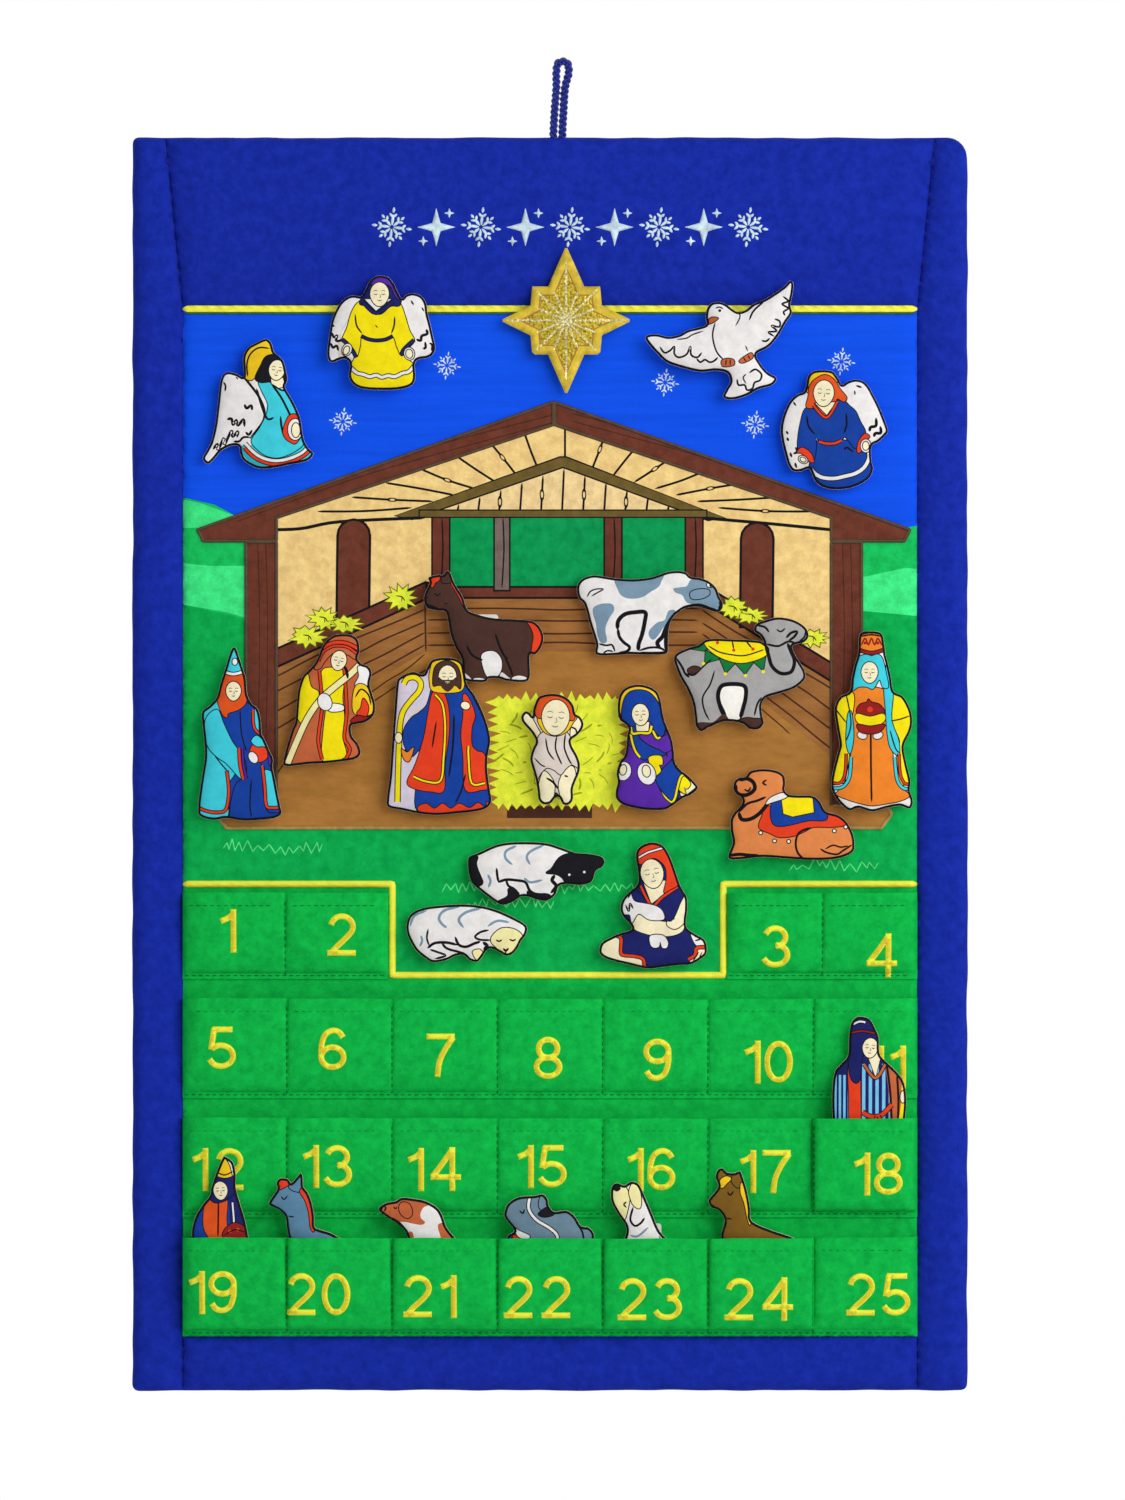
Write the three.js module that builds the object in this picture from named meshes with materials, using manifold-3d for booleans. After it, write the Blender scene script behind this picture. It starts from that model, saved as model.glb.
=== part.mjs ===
// A hanging cloth advent calendar. A padded panel carries a stitched stable scene above rows of
// numbered pockets, and twenty-five stuffed pieces hook on to the scene or stand in the pockets.
// It hangs from a cord loop, and the origin is where a nail bears inside that loop.
// Sizes are in millimetres. Pieces are modelled as seen on the wall, with x to the right, y up and
// z towards the viewer, and the last group turns them so that z is up.

import * as THREE from "three";
import { mergeVertices } from "three/addons/utils/BufferGeometryUtils.js";
import Module from "manifold-3d";

const wasm = await Module();
wasm.setup();

// The padded panel and its cloth
const panelWidth = 432;
const panelHeight = 648;
const panelThickness = 9;
const panelEdgeRounding = 7;
const panelSeamThickness = 0.6;
const panelCornerRadius = 4;
const panelTopRightRadius = 11;
const clothThickness = 0.7;
const clearance = 0.3;
const cutOverrun = 20;

// The border strips
const sideBorderWidth = 26;
const sideBorderTopWidth = 17;
const headerHeight = 89;
const bottomBorderHeight = 28;

// The hanging loop
const cordDiameter = 4;
const loopRise = 41;
const loopOffset = 4;
const loopLean = 2.5;
const loopLegSpacing = 4.6;
const loopEyeWidth = 6.4;
const loopTail = 9;

// The stiffening rod inside the top edge
const rodDiameter = 5;
const rodSleeveCloth = 0.5;
const rodDrop = 13;
const rodEndInset = 14;
const rodSleeveEndInset = 17;

// The yellow trims
const trimWidth = 3.8;
const trimHeight = 1.6;
const trimRounding = 0.6;
const pocketTrimDrop = 386;
const pocketTrimStep = 47;

// The stable, sewn on in separate cloths
const appliqueThickness = 0.6;
const stableOffset = 2;
const roofApexDrop = 137;
const roofEaveDrop = 203;
const roofHalfSpan = 184;
const roofBeamDepth = 12;
const roofEaveDepth = 6;
const postWidth = 16;
const postSpacing = 286;
const postFootDrop = 345;
const wallFootDrop = 245;
const floorFootDrop = 357;
const floorHalfWidth = 174;
const floorToeRadius = 5;

// The pockets
const pocketColumns = 7;
const leftPairWidth = 107;
const rightPairWidth = 99;
const rowPitch = 61.5;
const pocketDepth = 49;
const topPocketDepth = 42;
const bottomRowLift = 0.5;
const pocketSeamWidth = 1.6;
const pocketSeamFlange = 3;
const emptyPocketBulge = 7.5;
const filledPocketBulge = 13;

// The stuffed pieces
const tallestHeight = 92;
const stuffedThickness = 8;
const pocketPieceThickness = 6.6;
const starThickness = 4;
const stuffedRounding = 5;
const hookTabWidth = 12;
const hookTabHeight = 8;
const hookTabThickness = 1.2;
const hookTabBite = 1.5;
const pocketPieceLift = 5;
const pocketPieceGap = 0.4;
const pocketPieceTilt = THREE.MathUtils.degToRad(6);

// Places that follow
const frontZ = panelThickness / 2;
const fieldHalfWidth = panelWidth / 2 - sideBorderWidth;
const fieldHeight = panelHeight - headerHeight - bottomBorderHeight;
const sceneFootY = -(pocketTrimDrop + pocketTrimStep + trimWidth / 4);
const pocketWidth = (2 * fieldHalfWidth) / pocketColumns;
const trimZ = frontZ + clearance;
const appliqueFrontZ = frontZ + clearance + appliqueThickness;
const hangX = loopOffset + loopLean;
const hangY = loopRise - cordDiameter;

// Numbers of steps round curves
const edgeSteps = 3;
const cornerSteps = 3;
const cordSides = 8;
const cordSteps = 36;
const rodSides = 16;
const outlineSteps = 24;
const trimEdgeSteps = 1;
const mergeShare = 1e-3;

// Shares that shape the edges
const leastRadiusShare = 0.25;
const drawInShare = 0.36;
const crownShares = [
  { insetShare: 0, riseShare: 0 },
  { insetShare: 0.35, riseShare: 0.72 },
  { insetShare: 1, riseShare: 1 },
];

// Turning geometry into solids and back

function solidOf(geometry) {
  const bare = geometry.index ? geometry.toNonIndexed() : geometry.clone();
  bare.deleteAttribute("normal");
  bare.deleteAttribute("uv");
  const merged = mergeVertices(bare, mergeShare * clothThickness);
  return new wasm.Manifold(
    new wasm.Mesh({
      numProp: 3,
      vertProperties: merged.attributes.position.array,
      triVerts: new Uint32Array(merged.index.array),
    }),
  );
}

function geometryOf(solid) {
  const mesh = solid.getMesh();
  return new THREE.BufferGeometry()
    .setAttribute("position", new THREE.BufferAttribute(mesh.vertProperties, 3))
    .setIndex(new THREE.BufferAttribute(mesh.triVerts, 1));
}

// A block that spans from one corner to the other
function block(low, high) {
  const size = new THREE.Vector3().subVectors(high, low);
  const centre = new THREE.Vector3().addVectors(low, high).multiplyScalar(1 / 2);
  return new THREE.BoxGeometry(size.x, size.y, size.z).translate(centre.x, centre.y, centre.z);
}

// A flat shape from a list of [x, y] corners
function flatShape(corners) {
  return new THREE.Shape(corners.map(([x, y]) => new THREE.Vector2(x, y)));
}

// A flat shape given thickness, from a back plane towards the viewer
function plate(shape, backZ, thickness) {
  return new THREE.ExtrudeGeometry(shape, {
    depth: thickness,
    bevelEnabled: false,
    curveSegments: cornerSteps,
  }).translate(0, 0, backZ);
}

// A closed form through rings of points, each with as many points, closed by a flat face at each end
function loft(rings) {
  const count = rings[0].length;
  const faces = [];
  for (let ring = 0; ring < rings.length - 1; ring++)
    for (let i = 0; i < count; i++) {
      const here = ring * count + i;
      const beside = ring * count + ((i + 1) % count);
      faces.push(here, beside, beside + count, here, beside + count, here + count);
    }
  const capOf = (ring) => {
    const flat = ring.map((p) => new THREE.Vector2(p.x, p.y));
    return THREE.ShapeUtils.triangulateShape(flat, []);
  };
  const last = (rings.length - 1) * count;
  for (const [a, b, c] of capOf(rings[0])) faces.push(a, c, b);
  for (const [a, b, c] of capOf(rings[rings.length - 1])) faces.push(last + a, last + b, last + c);
  const positions = rings.flat().flatMap((p) => [p.x, p.y, p.z]);
  return new THREE.BufferGeometry()
    .setAttribute("position", new THREE.BufferAttribute(new Float32Array(positions), 3))
    .setIndex(faces);
}

// Materials

function cloth(color, roughness = 0.85) {
  return new THREE.MeshStandardMaterial({ color, roughness, metalness: 0 });
}

const royalBlueCloth = cloth(0x1226a8);
const skyBlueCloth = cloth(0x0a46e0);
const pocketGreenCloth = cloth(0x00a838);
const wallCreamCloth = cloth(0xf3ca86);
const timberBrownCloth = cloth(0x6f3a2c);
const floorBrownCloth = cloth(0x8a5a2c);
const yellowTrimThread = cloth(0xf2e838, 0.6);
const goldThread = new THREE.MeshStandardMaterial({ color: 0xe0b81e, roughness: 0.45, metalness: 0.3 });
const blueCord = cloth(0x10206f, 0.7);
const paleWood = new THREE.MeshStandardMaterial({ color: 0xd9b27c, roughness: 0.6, metalness: 0 });
const whiteWadding = cloth(0xf2f2ee, 1);
const backCloth = cloth(0x101f8c);
const printedCalico = cloth(0xe8e4dc);

const parts = new THREE.Group();

function addPart(name, geometry, material, parent = parts) {
  const mesh = new THREE.Mesh(geometry, material);
  mesh.name = name;
  parent.add(mesh);
  return mesh;
}

// The padded panel, as one pillow form from which the cloths and the wadding are cut

// The panel's outline at one level, drawn in by an inset, with its rounder corner at the upper right
function panelRing(inset, z) {
  const corners = [
    { x: 1, y: 0, radius: panelCornerRadius, turn: -1 },
    { x: 1, y: 1, radius: panelTopRightRadius, turn: 0 },
    { x: -1, y: 1, radius: panelCornerRadius, turn: 1 },
    { x: -1, y: 0, radius: panelCornerRadius, turn: 2 },
  ];
  const ring = [];
  for (const corner of corners) {
    const radius = Math.max(corner.radius - inset, corner.radius * leastRadiusShare);
    const x = corner.x * (panelWidth / 2 - inset - radius);
    const y = corner.y === 1 ? -inset - radius : inset + radius - panelHeight;
    for (let step = 0; step <= cornerSteps; step++) {
      const angle = ((corner.turn + step / cornerSteps) * Math.PI) / 2;
      ring.push(new THREE.Vector3(x + radius * Math.cos(angle), y + radius * Math.sin(angle), z));
    }
  }
  return ring;
}

// A pillow whose two faces curve in to a thin seam round the edge
function pillow(inset, faceInset) {
  const crown = (panelThickness - panelSeamThickness) / 2 - faceInset;
  const rings = [];
  for (let step = -edgeSteps; step <= edgeSteps; step++) {
    const angle = (Math.abs(step) / edgeSteps) * (Math.PI / 2);
    const ringInset = inset + panelEdgeRounding * (1 - Math.cos(angle));
    const height = panelSeamThickness / 2 + crown * Math.sin(angle);
    if (step <= 0) rings.push(panelRing(ringInset, -height));
    if (step >= 0) rings.push(panelRing(ringInset, height));
  }
  return solidOf(loft(rings));
}

// Everything on one side of the seam plane, past a small gap
function halfSpace(side) {
  const reach = new THREE.Vector2(panelWidth / 2 + cutOverrun, panelHeight + cutOverrun);
  const near = (side * clearance) / 2;
  const far = side * (panelThickness + cutOverrun);
  return solidOf(
    block(
      new THREE.Vector3(-reach.x, -reach.y, Math.min(near, far)),
      new THREE.Vector3(reach.x, cutOverrun, Math.max(near, far)),
    ),
  );
}

// The slot in the top seam that the loop's two legs pass through
function loopSlot() {
  const halfWidth = (loopLegSpacing + cordDiameter) / 2 + clearance;
  const halfDepth = cordDiameter / 2 + clearance;
  return solidOf(
    block(
      new THREE.Vector3(loopOffset - halfWidth, -loopTail - clearance, -halfDepth),
      new THREE.Vector3(loopOffset + halfWidth, cutOverrun, halfDepth),
    ),
  );
}

const shell = pillow(0, 0)
  .subtract(pillow(clothThickness, clothThickness))
  .subtract(loopSlot());
const frontShell = shell.intersect(halfSpace(1));

// Cuts a strip of the front cloth along an outline
function frontStrip(corners) {
  const cutter = plate(flatShape(corners), -panelThickness, 2 * panelThickness);
  return geometryOf(frontShell.intersect(solidOf(cutter)));
}

const outerX = panelWidth / 2 + cutOverrun;
const headerSeamX = panelWidth / 2 - sideBorderTopWidth;
const fieldFootY = bottomBorderHeight - panelHeight;
const farBelowY = -panelHeight - cutOverrun;

function sideStrip(side) {
  return frontStrip([
    [side * outerX, cutOverrun],
    [side * headerSeamX, cutOverrun],
    [side * headerSeamX, 0],
    [side * fieldHalfWidth, -headerHeight],
    [side * fieldHalfWidth, farBelowY],
    [side * outerX, farBelowY],
  ]);
}

addPart("left_border", sideStrip(-1), royalBlueCloth);
addPart("right_border", sideStrip(1), royalBlueCloth);
addPart(
  "header_panel",
  frontStrip([
    [clearance - headerSeamX, cutOverrun],
    [headerSeamX - clearance, cutOverrun],
    [headerSeamX - clearance, 0],
    [fieldHalfWidth - clearance, -headerHeight],
    [clearance - fieldHalfWidth, -headerHeight],
    [clearance - headerSeamX, 0],
  ]),
  royalBlueCloth,
);
addPart(
  "bottom_border",
  frontStrip([
    [clearance - fieldHalfWidth, fieldFootY],
    [fieldHalfWidth - clearance, fieldFootY],
    [fieldHalfWidth - clearance, farBelowY],
    [clearance - fieldHalfWidth, farBelowY],
  ]),
  royalBlueCloth,
);
addPart("back_panel", geometryOf(shell.intersect(halfSpace(-1))), backCloth);

// The two cloths of the field, between the border strips
function fieldCloth(topY, footY) {
  const halfWidth = fieldHalfWidth - clearance;
  return block(
    new THREE.Vector3(-halfWidth, footY, frontZ - clothThickness),
    new THREE.Vector3(halfWidth, topY, frontZ),
  );
}

addPart("scene_cloth", fieldCloth(-headerHeight - clearance, sceneFootY), skyBlueCloth);
addPart("pocket_ground", fieldCloth(sceneFootY - clearance, fieldFootY + clearance), pocketGreenCloth);

// Inside the panel: the rod in its sleeve along the top, and the wadding below it

const sleeveRadius = rodDiameter / 2 + clearance + rodSleeveCloth;

// A round bar or tube lying along x, centred on the rod's line
function lyingTube(length, outerRadius, innerRadius) {
  const profile = [
    new THREE.Vector2(innerRadius, -length / 2),
    new THREE.Vector2(outerRadius, -length / 2),
    new THREE.Vector2(outerRadius, length / 2),
    new THREE.Vector2(innerRadius, length / 2),
  ];
  if (innerRadius > 0) profile.push(profile[0].clone());
  return new THREE.LatheGeometry(profile, rodSides)
    .rotateZ(Math.PI / 2)
    .translate(0, -rodDrop, 0);
}

addPart("stiffening_rod", lyingTube(panelWidth - 2 * rodEndInset, rodDiameter / 2, 0), paleWood);
addPart(
  "rod_sleeve",
  lyingTube(panelWidth - 2 * rodSleeveEndInset, sleeveRadius, sleeveRadius - rodSleeveCloth),
  whiteWadding,
);

const waddingInset = clothThickness + clearance;
const waddingTopY = -rodDrop - sleeveRadius - clearance;
const belowSleeve = solidOf(
  block(
    new THREE.Vector3(-outerX, farBelowY, -panelThickness),
    new THREE.Vector3(outerX, waddingTopY, panelThickness),
  ),
);
addPart(
  "wadding",
  geometryOf(pillow(waddingInset, waddingInset).intersect(belowSleeve)),
  whiteWadding,
);

// The hanging loop: one cord up from the top seam, over the nail and down again

const loopTopY = hangY + cordDiameter / 2;
const loopRoute = [
  [loopOffset - loopLegSpacing / 2, -loopTail],
  [loopOffset - loopLegSpacing / 2, 0],
  [loopOffset + loopLean / 4 - loopLegSpacing / 2, loopTopY / 3],
  [loopOffset + loopLean / 1.6 - loopLegSpacing / 2, loopTopY / 1.5],
  [hangX - loopEyeWidth / 2, loopTopY - loopEyeWidth / 2 - cordDiameter / 2],
  [hangX - loopEyeWidth / 2.7, loopTopY - loopEyeWidth / 7],
  [hangX, loopTopY],
  [hangX + loopEyeWidth / 2.7, loopTopY - loopEyeWidth / 7],
  [hangX + loopEyeWidth / 2, loopTopY - loopEyeWidth / 2 - cordDiameter / 2],
  [loopOffset + loopLean / 1.6 + loopLegSpacing / 2, loopTopY / 1.5],
  [loopOffset + loopLean / 4 + loopLegSpacing / 2, loopTopY / 3],
  [loopOffset + loopLegSpacing / 2, 0],
  [loopOffset + loopLegSpacing / 2, -loopTail],
].map(([x, y]) => new THREE.Vector3(x, y, 0));

function cordSection() {
  const shape = new THREE.Shape();
  for (let i = 0; i < cordSides; i++) {
    const angle = ((i + 1 / 2) / cordSides) * 2 * Math.PI;
    const radius = cordDiameter / 2;
    const point = new THREE.Vector2(radius * Math.cos(angle), radius * Math.sin(angle));
    if (i === 0) shape.moveTo(point.x, point.y);
    else shape.lineTo(point.x, point.y);
  }
  return shape;
}

addPart(
  "hanging_loop",
  new THREE.ExtrudeGeometry(cordSection(), {
    steps: cordSteps,
    extrudePath: new THREE.CatmullRomCurve3(loopRoute, false, "centripetal"),
  }),
  blueCord,
);

// The trims: flat cords with rounded edges, sewn on over the joins

function trim(corners) {
  return new THREE.ExtrudeGeometry(flatShape(corners), {
    depth: trimHeight - 2 * trimRounding,
    bevelThickness: trimRounding,
    bevelSize: trimRounding,
    bevelOffset: -trimRounding,
    bevelSegments: trimEdgeSteps,
  }).translate(0, 0, trimZ + trimRounding);
}

const halfTrim = trimWidth / 2;
const trimEndX = fieldHalfWidth - clearance;
addPart(
  "header_trim",
  trim([
    [-trimEndX, -headerHeight - halfTrim],
    [trimEndX, -headerHeight - halfTrim],
    [trimEndX, -headerHeight + halfTrim],
    [-trimEndX, -headerHeight + halfTrim],
  ]),
  yellowTrimThread,
);

// The second trim steps down round the meadow between the top row's two pairs of pockets
const leftStepX = leftPairWidth - fieldHalfWidth + clearance + halfTrim;
const rightStepX = fieldHalfWidth - rightPairWidth - clearance - halfTrim;
const trimTopY = -pocketTrimDrop;
const trimLowY = -pocketTrimDrop - pocketTrimStep;
addPart(
  "pocket_trim",
  trim([
    [-trimEndX, trimTopY + halfTrim],
    [-trimEndX, trimTopY - halfTrim],
    [leftStepX - halfTrim, trimTopY - halfTrim],
    [leftStepX - halfTrim, trimLowY - halfTrim],
    [rightStepX + halfTrim, trimLowY - halfTrim],
    [rightStepX + halfTrim, trimTopY - halfTrim],
    [trimEndX, trimTopY - halfTrim],
    [trimEndX, trimTopY + halfTrim],
    [rightStepX - halfTrim, trimTopY + halfTrim],
    [rightStepX - halfTrim, trimLowY + halfTrim],
    [leftStepX + halfTrim, trimLowY + halfTrim],
    [leftStepX + halfTrim, trimTopY + halfTrim],
  ]),
  yellowTrimThread,
);

// The stable: two roof cloths, two posts, a wall and a floor, side by side on the scene cloth

function applique(name, corners, material) {
  const shape = corners instanceof THREE.Shape ? corners : flatShape(corners);
  addPart(name, plate(shape, frontZ + clearance, appliqueThickness), material);
}

const postInnerX = postSpacing / 2;
const wallX = postInnerX - clearance;
const apexFootY = -roofApexDrop - roofBeamDepth;
const eaveFootY = -roofEaveDrop - roofEaveDepth;
const wallShoulderY = eaveFootY + roofBeamDepth;

function roofCloth(side) {
  const ridgeX = stableOffset + (side * clearance) / 2;
  return [
    [ridgeX, -roofApexDrop],
    [stableOffset + side * roofHalfSpan, -roofEaveDrop],
    [stableOffset + side * (roofHalfSpan - roofEaveDepth / 2), eaveFootY],
    [stableOffset + side * postInnerX, eaveFootY],
    [stableOffset + side * postInnerX, wallShoulderY],
    [ridgeX, apexFootY],
  ];
}

function postCloth(side) {
  const inner = stableOffset + side * postInnerX;
  const outer = inner + side * postWidth;
  return [
    [inner, eaveFootY - clearance],
    [outer, eaveFootY - clearance],
    [outer, -postFootDrop],
    [inner, -postFootDrop],
  ];
}

applique("roof_left", roofCloth(-1), timberBrownCloth);
applique("roof_right", roofCloth(1), timberBrownCloth);
applique("post_left", postCloth(-1), timberBrownCloth);
applique("post_right", postCloth(1), timberBrownCloth);
applique(
  "stable_wall",
  [
    [stableOffset, apexFootY - 2 * clearance],
    [stableOffset - wallX, wallShoulderY - 2 * clearance],
    [stableOffset - wallX, -wallFootDrop],
    [stableOffset + wallX, -wallFootDrop],
    [stableOffset + wallX, wallShoulderY - 2 * clearance],
  ],
  wallCreamCloth,
);

// The floor runs between the posts and spreads under their feet with rounded toes
function floorShape() {
  const toeY = -postFootDrop - clearance;
  const footY = -floorFootDrop;
  const toeX = floorHalfWidth - floorToeRadius;
  const shape = new THREE.Shape();
  shape.moveTo(stableOffset - wallX, -wallFootDrop - clearance);
  shape.lineTo(stableOffset - wallX, toeY);
  shape.lineTo(stableOffset - toeX, toeY);
  shape.absarc(stableOffset - toeX, toeY - floorToeRadius, floorToeRadius, Math.PI / 2, Math.PI);
  shape.lineTo(stableOffset - floorHalfWidth + floorToeRadius, footY);
  shape.lineTo(stableOffset + floorHalfWidth - floorToeRadius, footY);
  shape.absarc(stableOffset + toeX, toeY - floorToeRadius, floorToeRadius, 0, Math.PI / 2);
  shape.lineTo(stableOffset + wallX, toeY);
  shape.lineTo(stableOffset + wallX, -wallFootDrop - clearance);
  return shape;
}

applique("stable_floor", floorShape(), floorBrownCloth);

// The pocket rows. Each is one strip of cloth, sewn flat at the seams and standing off between them.

const acrossShares = [0, 0.05, 0.18, 0.5, 0.82, 0.95, 1];
const upShares = [0, 0.14, 0.4, 0.7, 1];
const thickestShare = 1.8;

// An empty pocket and one with a piece in it: how far each stands off, and how squarely it fills out
const empty = { bulge: emptyPocketBulge, sidePower: 4, upPower: 0.5 };
const filled = { bulge: filledPocketBulge, sidePower: 8, upPower: 0.3 };

function pocketHeight(pocket, acrossShare, upShare) {
  const side = Math.abs(2 * acrossShare - 1);
  const across = Math.sqrt(1 - Math.pow(side, pocket.sidePower));
  const up = Math.pow(Math.sin((upShare * Math.PI) / 2), pocket.upPower);
  return pocket.bulge * across * up;
}

// One row's strip, with the form of each of its pockets from the left
function pocketRow(leftX, rowWidth, footY, depth, pockets) {
  const columnWidth = rowWidth / pockets.length;
  const backZ = frontZ + clearance;
  const stations = [];
  pockets.forEach((pocket, column) => {
    const start = leftX + column * columnWidth + pocketSeamWidth / 2;
    const room = columnWidth - pocketSeamWidth;
    for (const share of acrossShares) stations.push({ x: start + share * room, share, pocket });
  });
  stations.unshift({ ...stations[0], x: leftX + clearance });
  stations.push({ ...stations[stations.length - 1], x: leftX + rowWidth - clearance });
  const levels = [{ y: footY - pocketSeamFlange, share: 0 }];
  for (const share of upShares) levels.push({ y: footY + share * depth, share });

  const bulges = levels.map((level) =>
    stations.map((station) => pocketHeight(station.pocket, station.share, level.share)),
  );
  // The wall's thickness along z grows on steep stretches, so that the cloth keeps its own
  const slopeAt = (row, col) => {
    const at = bulges[row][col];
    const slopes = [0];
    if (col > 0) slopes.push((at - bulges[row][col - 1]) / (stations[col].x - stations[col - 1].x));
    if (col < stations.length - 1)
      slopes.push((bulges[row][col + 1] - at) / (stations[col + 1].x - stations[col].x));
    return Math.max(...slopes.map(Math.abs));
  };
  const points = [];
  for (const front of [false, true])
    levels.forEach((level, row) =>
      stations.forEach((station, col) => {
        const steep = Math.min(Math.hypot(1, slopeAt(row, col)), thickestShare);
        const z = backZ + bulges[row][col] + (front ? clothThickness * steep : 0);
        points.push(station.x, level.y, z);
      }),
    );

  const across = stations.length;
  const up = levels.length;
  const index = (side, row, col) => side * across * up + row * across + col;
  const faces = [];
  const quad = (a, b, c, d) => faces.push(a, b, c, a, c, d);
  for (let row = 0; row < up - 1; row++)
    for (let col = 0; col < across - 1; col++) {
      const ring = [
        index(1, row, col),
        index(1, row, col + 1),
        index(1, row + 1, col + 1),
        index(1, row + 1, col),
      ];
      quad(...ring);
      quad(...ring.map((i) => i - across * up).reverse());
    }
  for (let col = 0; col < across - 1; col++) {
    quad(index(0, 0, col), index(0, 0, col + 1), index(1, 0, col + 1), index(1, 0, col));
    const top = up - 1;
    quad(index(1, top, col), index(1, top, col + 1), index(0, top, col + 1), index(0, top, col));
  }
  for (let row = 0; row < up - 1; row++) {
    quad(index(1, row, 0), index(1, row + 1, 0), index(0, row + 1, 0), index(0, row, 0));
    const end = across - 1;
    quad(index(0, row, end), index(0, row + 1, end), index(1, row + 1, end), index(1, row, end));
  }
  return new THREE.BufferGeometry()
    .setAttribute("position", new THREE.BufferAttribute(new Float32Array(points), 3))
    .setIndex(faces);
}

const bottomRowY = fieldFootY + bottomRowLift + pocketSeamFlange;
const rowFootY = (row) => bottomRowY + (4 - row) * rowPitch;

addPart(
  "pocket_row_1_left",
  pocketRow(-fieldHalfWidth, leftPairWidth, rowFootY(1), topPocketDepth, [empty, empty]),
  pocketGreenCloth,
);
addPart(
  "pocket_row_1_right",
  pocketRow(
    fieldHalfWidth - rightPairWidth,
    rightPairWidth,
    rowFootY(1),
    topPocketDepth,
    [empty, empty],
  ),
  pocketGreenCloth,
);
const filledColumns = { 2: [], 3: [6], 4: [0, 1, 2, 3, 4, 5] };
for (const row of [2, 3, 4]) {
  const pockets = [];
  for (let column = 0; column < pocketColumns; column++)
    pockets.push(filledColumns[row].includes(column) ? filled : empty);
  addPart(
    "pocket_row_" + row,
    pocketRow(-fieldHalfWidth, 2 * fieldHalfWidth, rowFootY(row), pocketDepth, pockets),
    pocketGreenCloth,
  );
}

// Outlines of the stuffed pieces, as shares of width and height from the lower left corner

const mirrored = (halfShares) => [
  ...halfShares,
  ...halfShares
    .filter(([x]) => x !== 0.5)
    .reverse()
    .map(([x, y]) => [1 - x, y]),
];

const angelFrontShares = mirrored([
  [0.5, 1], [0.61, 0.97], [0.66, 0.87], [0.68, 0.8], [0.8, 0.85], [0.92, 0.79], [1, 0.6],
  [0.97, 0.4], [0.88, 0.26], [0.79, 0.28], [0.78, 0.12], [0.7, 0.01], [0.5, 0],
]);
const angelSideShares = [
  [0.56, 1], [0.7, 0.97], [0.75, 0.86], [0.73, 0.75], [0.82, 0.63], [0.9, 0.45], [0.96, 0.26],
  [1, 0.1], [0.86, 0.02], [0.64, 0], [0.46, 0.07], [0.32, 0.12], [0.13, 0.01], [0, 0.04],
  [0.05, 0.26], [0.1, 0.5], [0.18, 0.68], [0.3, 0.74], [0.4, 0.76], [0.42, 0.88], [0.47, 0.97],
];
const doveShares = [
  [0.39, 0.84], [0.48, 0.82], [0.56, 0.71], [0.7, 0.78], [0.85, 0.9], [0.98, 1], [1, 0.88],
  [0.97, 0.7], [0.88, 0.52], [0.76, 0.42], [0.79, 0.3], [0.9, 0.16], [0.8, 0.05], [0.67, 0],
  [0.55, 0.05], [0.55, 0.2], [0.49, 0.28], [0.34, 0.3], [0.18, 0.37], [0.06, 0.5], [0, 0.66],
  [0.08, 0.71], [0.2, 0.67], [0.3, 0.7], [0.33, 0.79],
];
const donkeyShares = [
  [0, 0.73], [0.03, 0.84], [0.11, 0.91], [0.15, 1], [0.25, 0.99], [0.3, 0.86], [0.37, 0.74],
  [0.48, 0.68], [0.66, 0.67], [0.84, 0.67], [0.96, 0.6], [1, 0.44], [0.94, 0.3], [0.93, 0.12],
  [0.92, 0.01], [0.78, 0], [0.62, 0.02], [0.48, 0], [0.34, 0.01], [0.31, 0.16], [0.28, 0.36],
  [0.21, 0.55], [0.14, 0.65], [0.05, 0.65],
];
const cowShares = [
  [0, 0.74], [0.05, 0.92], [0.18, 0.97], [0.4, 0.94], [0.58, 0.95], [0.7, 1], [0.83, 0.97],
  [0.93, 0.88], [0.98, 0.74], [1, 0.6], [0.91, 0.53], [0.79, 0.52], [0.7, 0.4], [0.66, 0.2],
  [0.65, 0.02], [0.5, 0], [0.35, 0.02], [0.19, 0], [0.16, 0.2], [0.1, 0.42], [0.04, 0.58],
];
const camelShares = [
  [0, 0.66], [0.07, 0.77], [0.2, 0.82], [0.33, 0.9], [0.47, 0.89], [0.58, 0.8], [0.67, 0.78],
  [0.66, 0.92], [0.73, 1], [0.86, 1], [0.97, 0.93], [1, 0.83], [0.93, 0.76], [0.95, 0.62],
  [0.94, 0.5], [0.84, 0.41], [0.73, 0.34], [0.72, 0.16], [0.72, 0.01], [0.56, 0], [0.4, 0.03],
  [0.24, 0], [0.13, 0.03], [0.14, 0.2], [0.1, 0.4], [0.02, 0.53],
];
const restingCamelShares = [
  [0.02, 0.82], [0.07, 0.94], [0.18, 1], [0.31, 0.98], [0.38, 0.86], [0.4, 0.74], [0.49, 0.71],
  [0.6, 0.77], [0.72, 0.75], [0.83, 0.62], [0.94, 0.44], [1, 0.24], [0.97, 0.06], [0.82, 0],
  [0.55, 0], [0.28, 0], [0.05, 0.01], [0, 0.12], [0.05, 0.28], [0.05, 0.44], [0.11, 0.58],
  [0.13, 0.69], [0.05, 0.71],
];
const pointedHatShares = mirrored([
  [0.5, 1], [0.59, 0.94], [0.67, 0.86], [0.71, 0.77], [0.75, 0.7], [0.9, 0.63], [0.95, 0.5],
  [0.88, 0.38], [0.91, 0.2], [1, 0.04], [0.86, 0], [0.5, 0],
]);
const tallHatShares = mirrored([
  [0.5, 1], [0.61, 0.99], [0.65, 0.9], [0.68, 0.8], [0.71, 0.73], [0.9, 0.66], [1, 0.53],
  [0.93, 0.4], [0.9, 0.22], [0.98, 0.05], [0.86, 0], [0.5, 0],
]);
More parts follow.
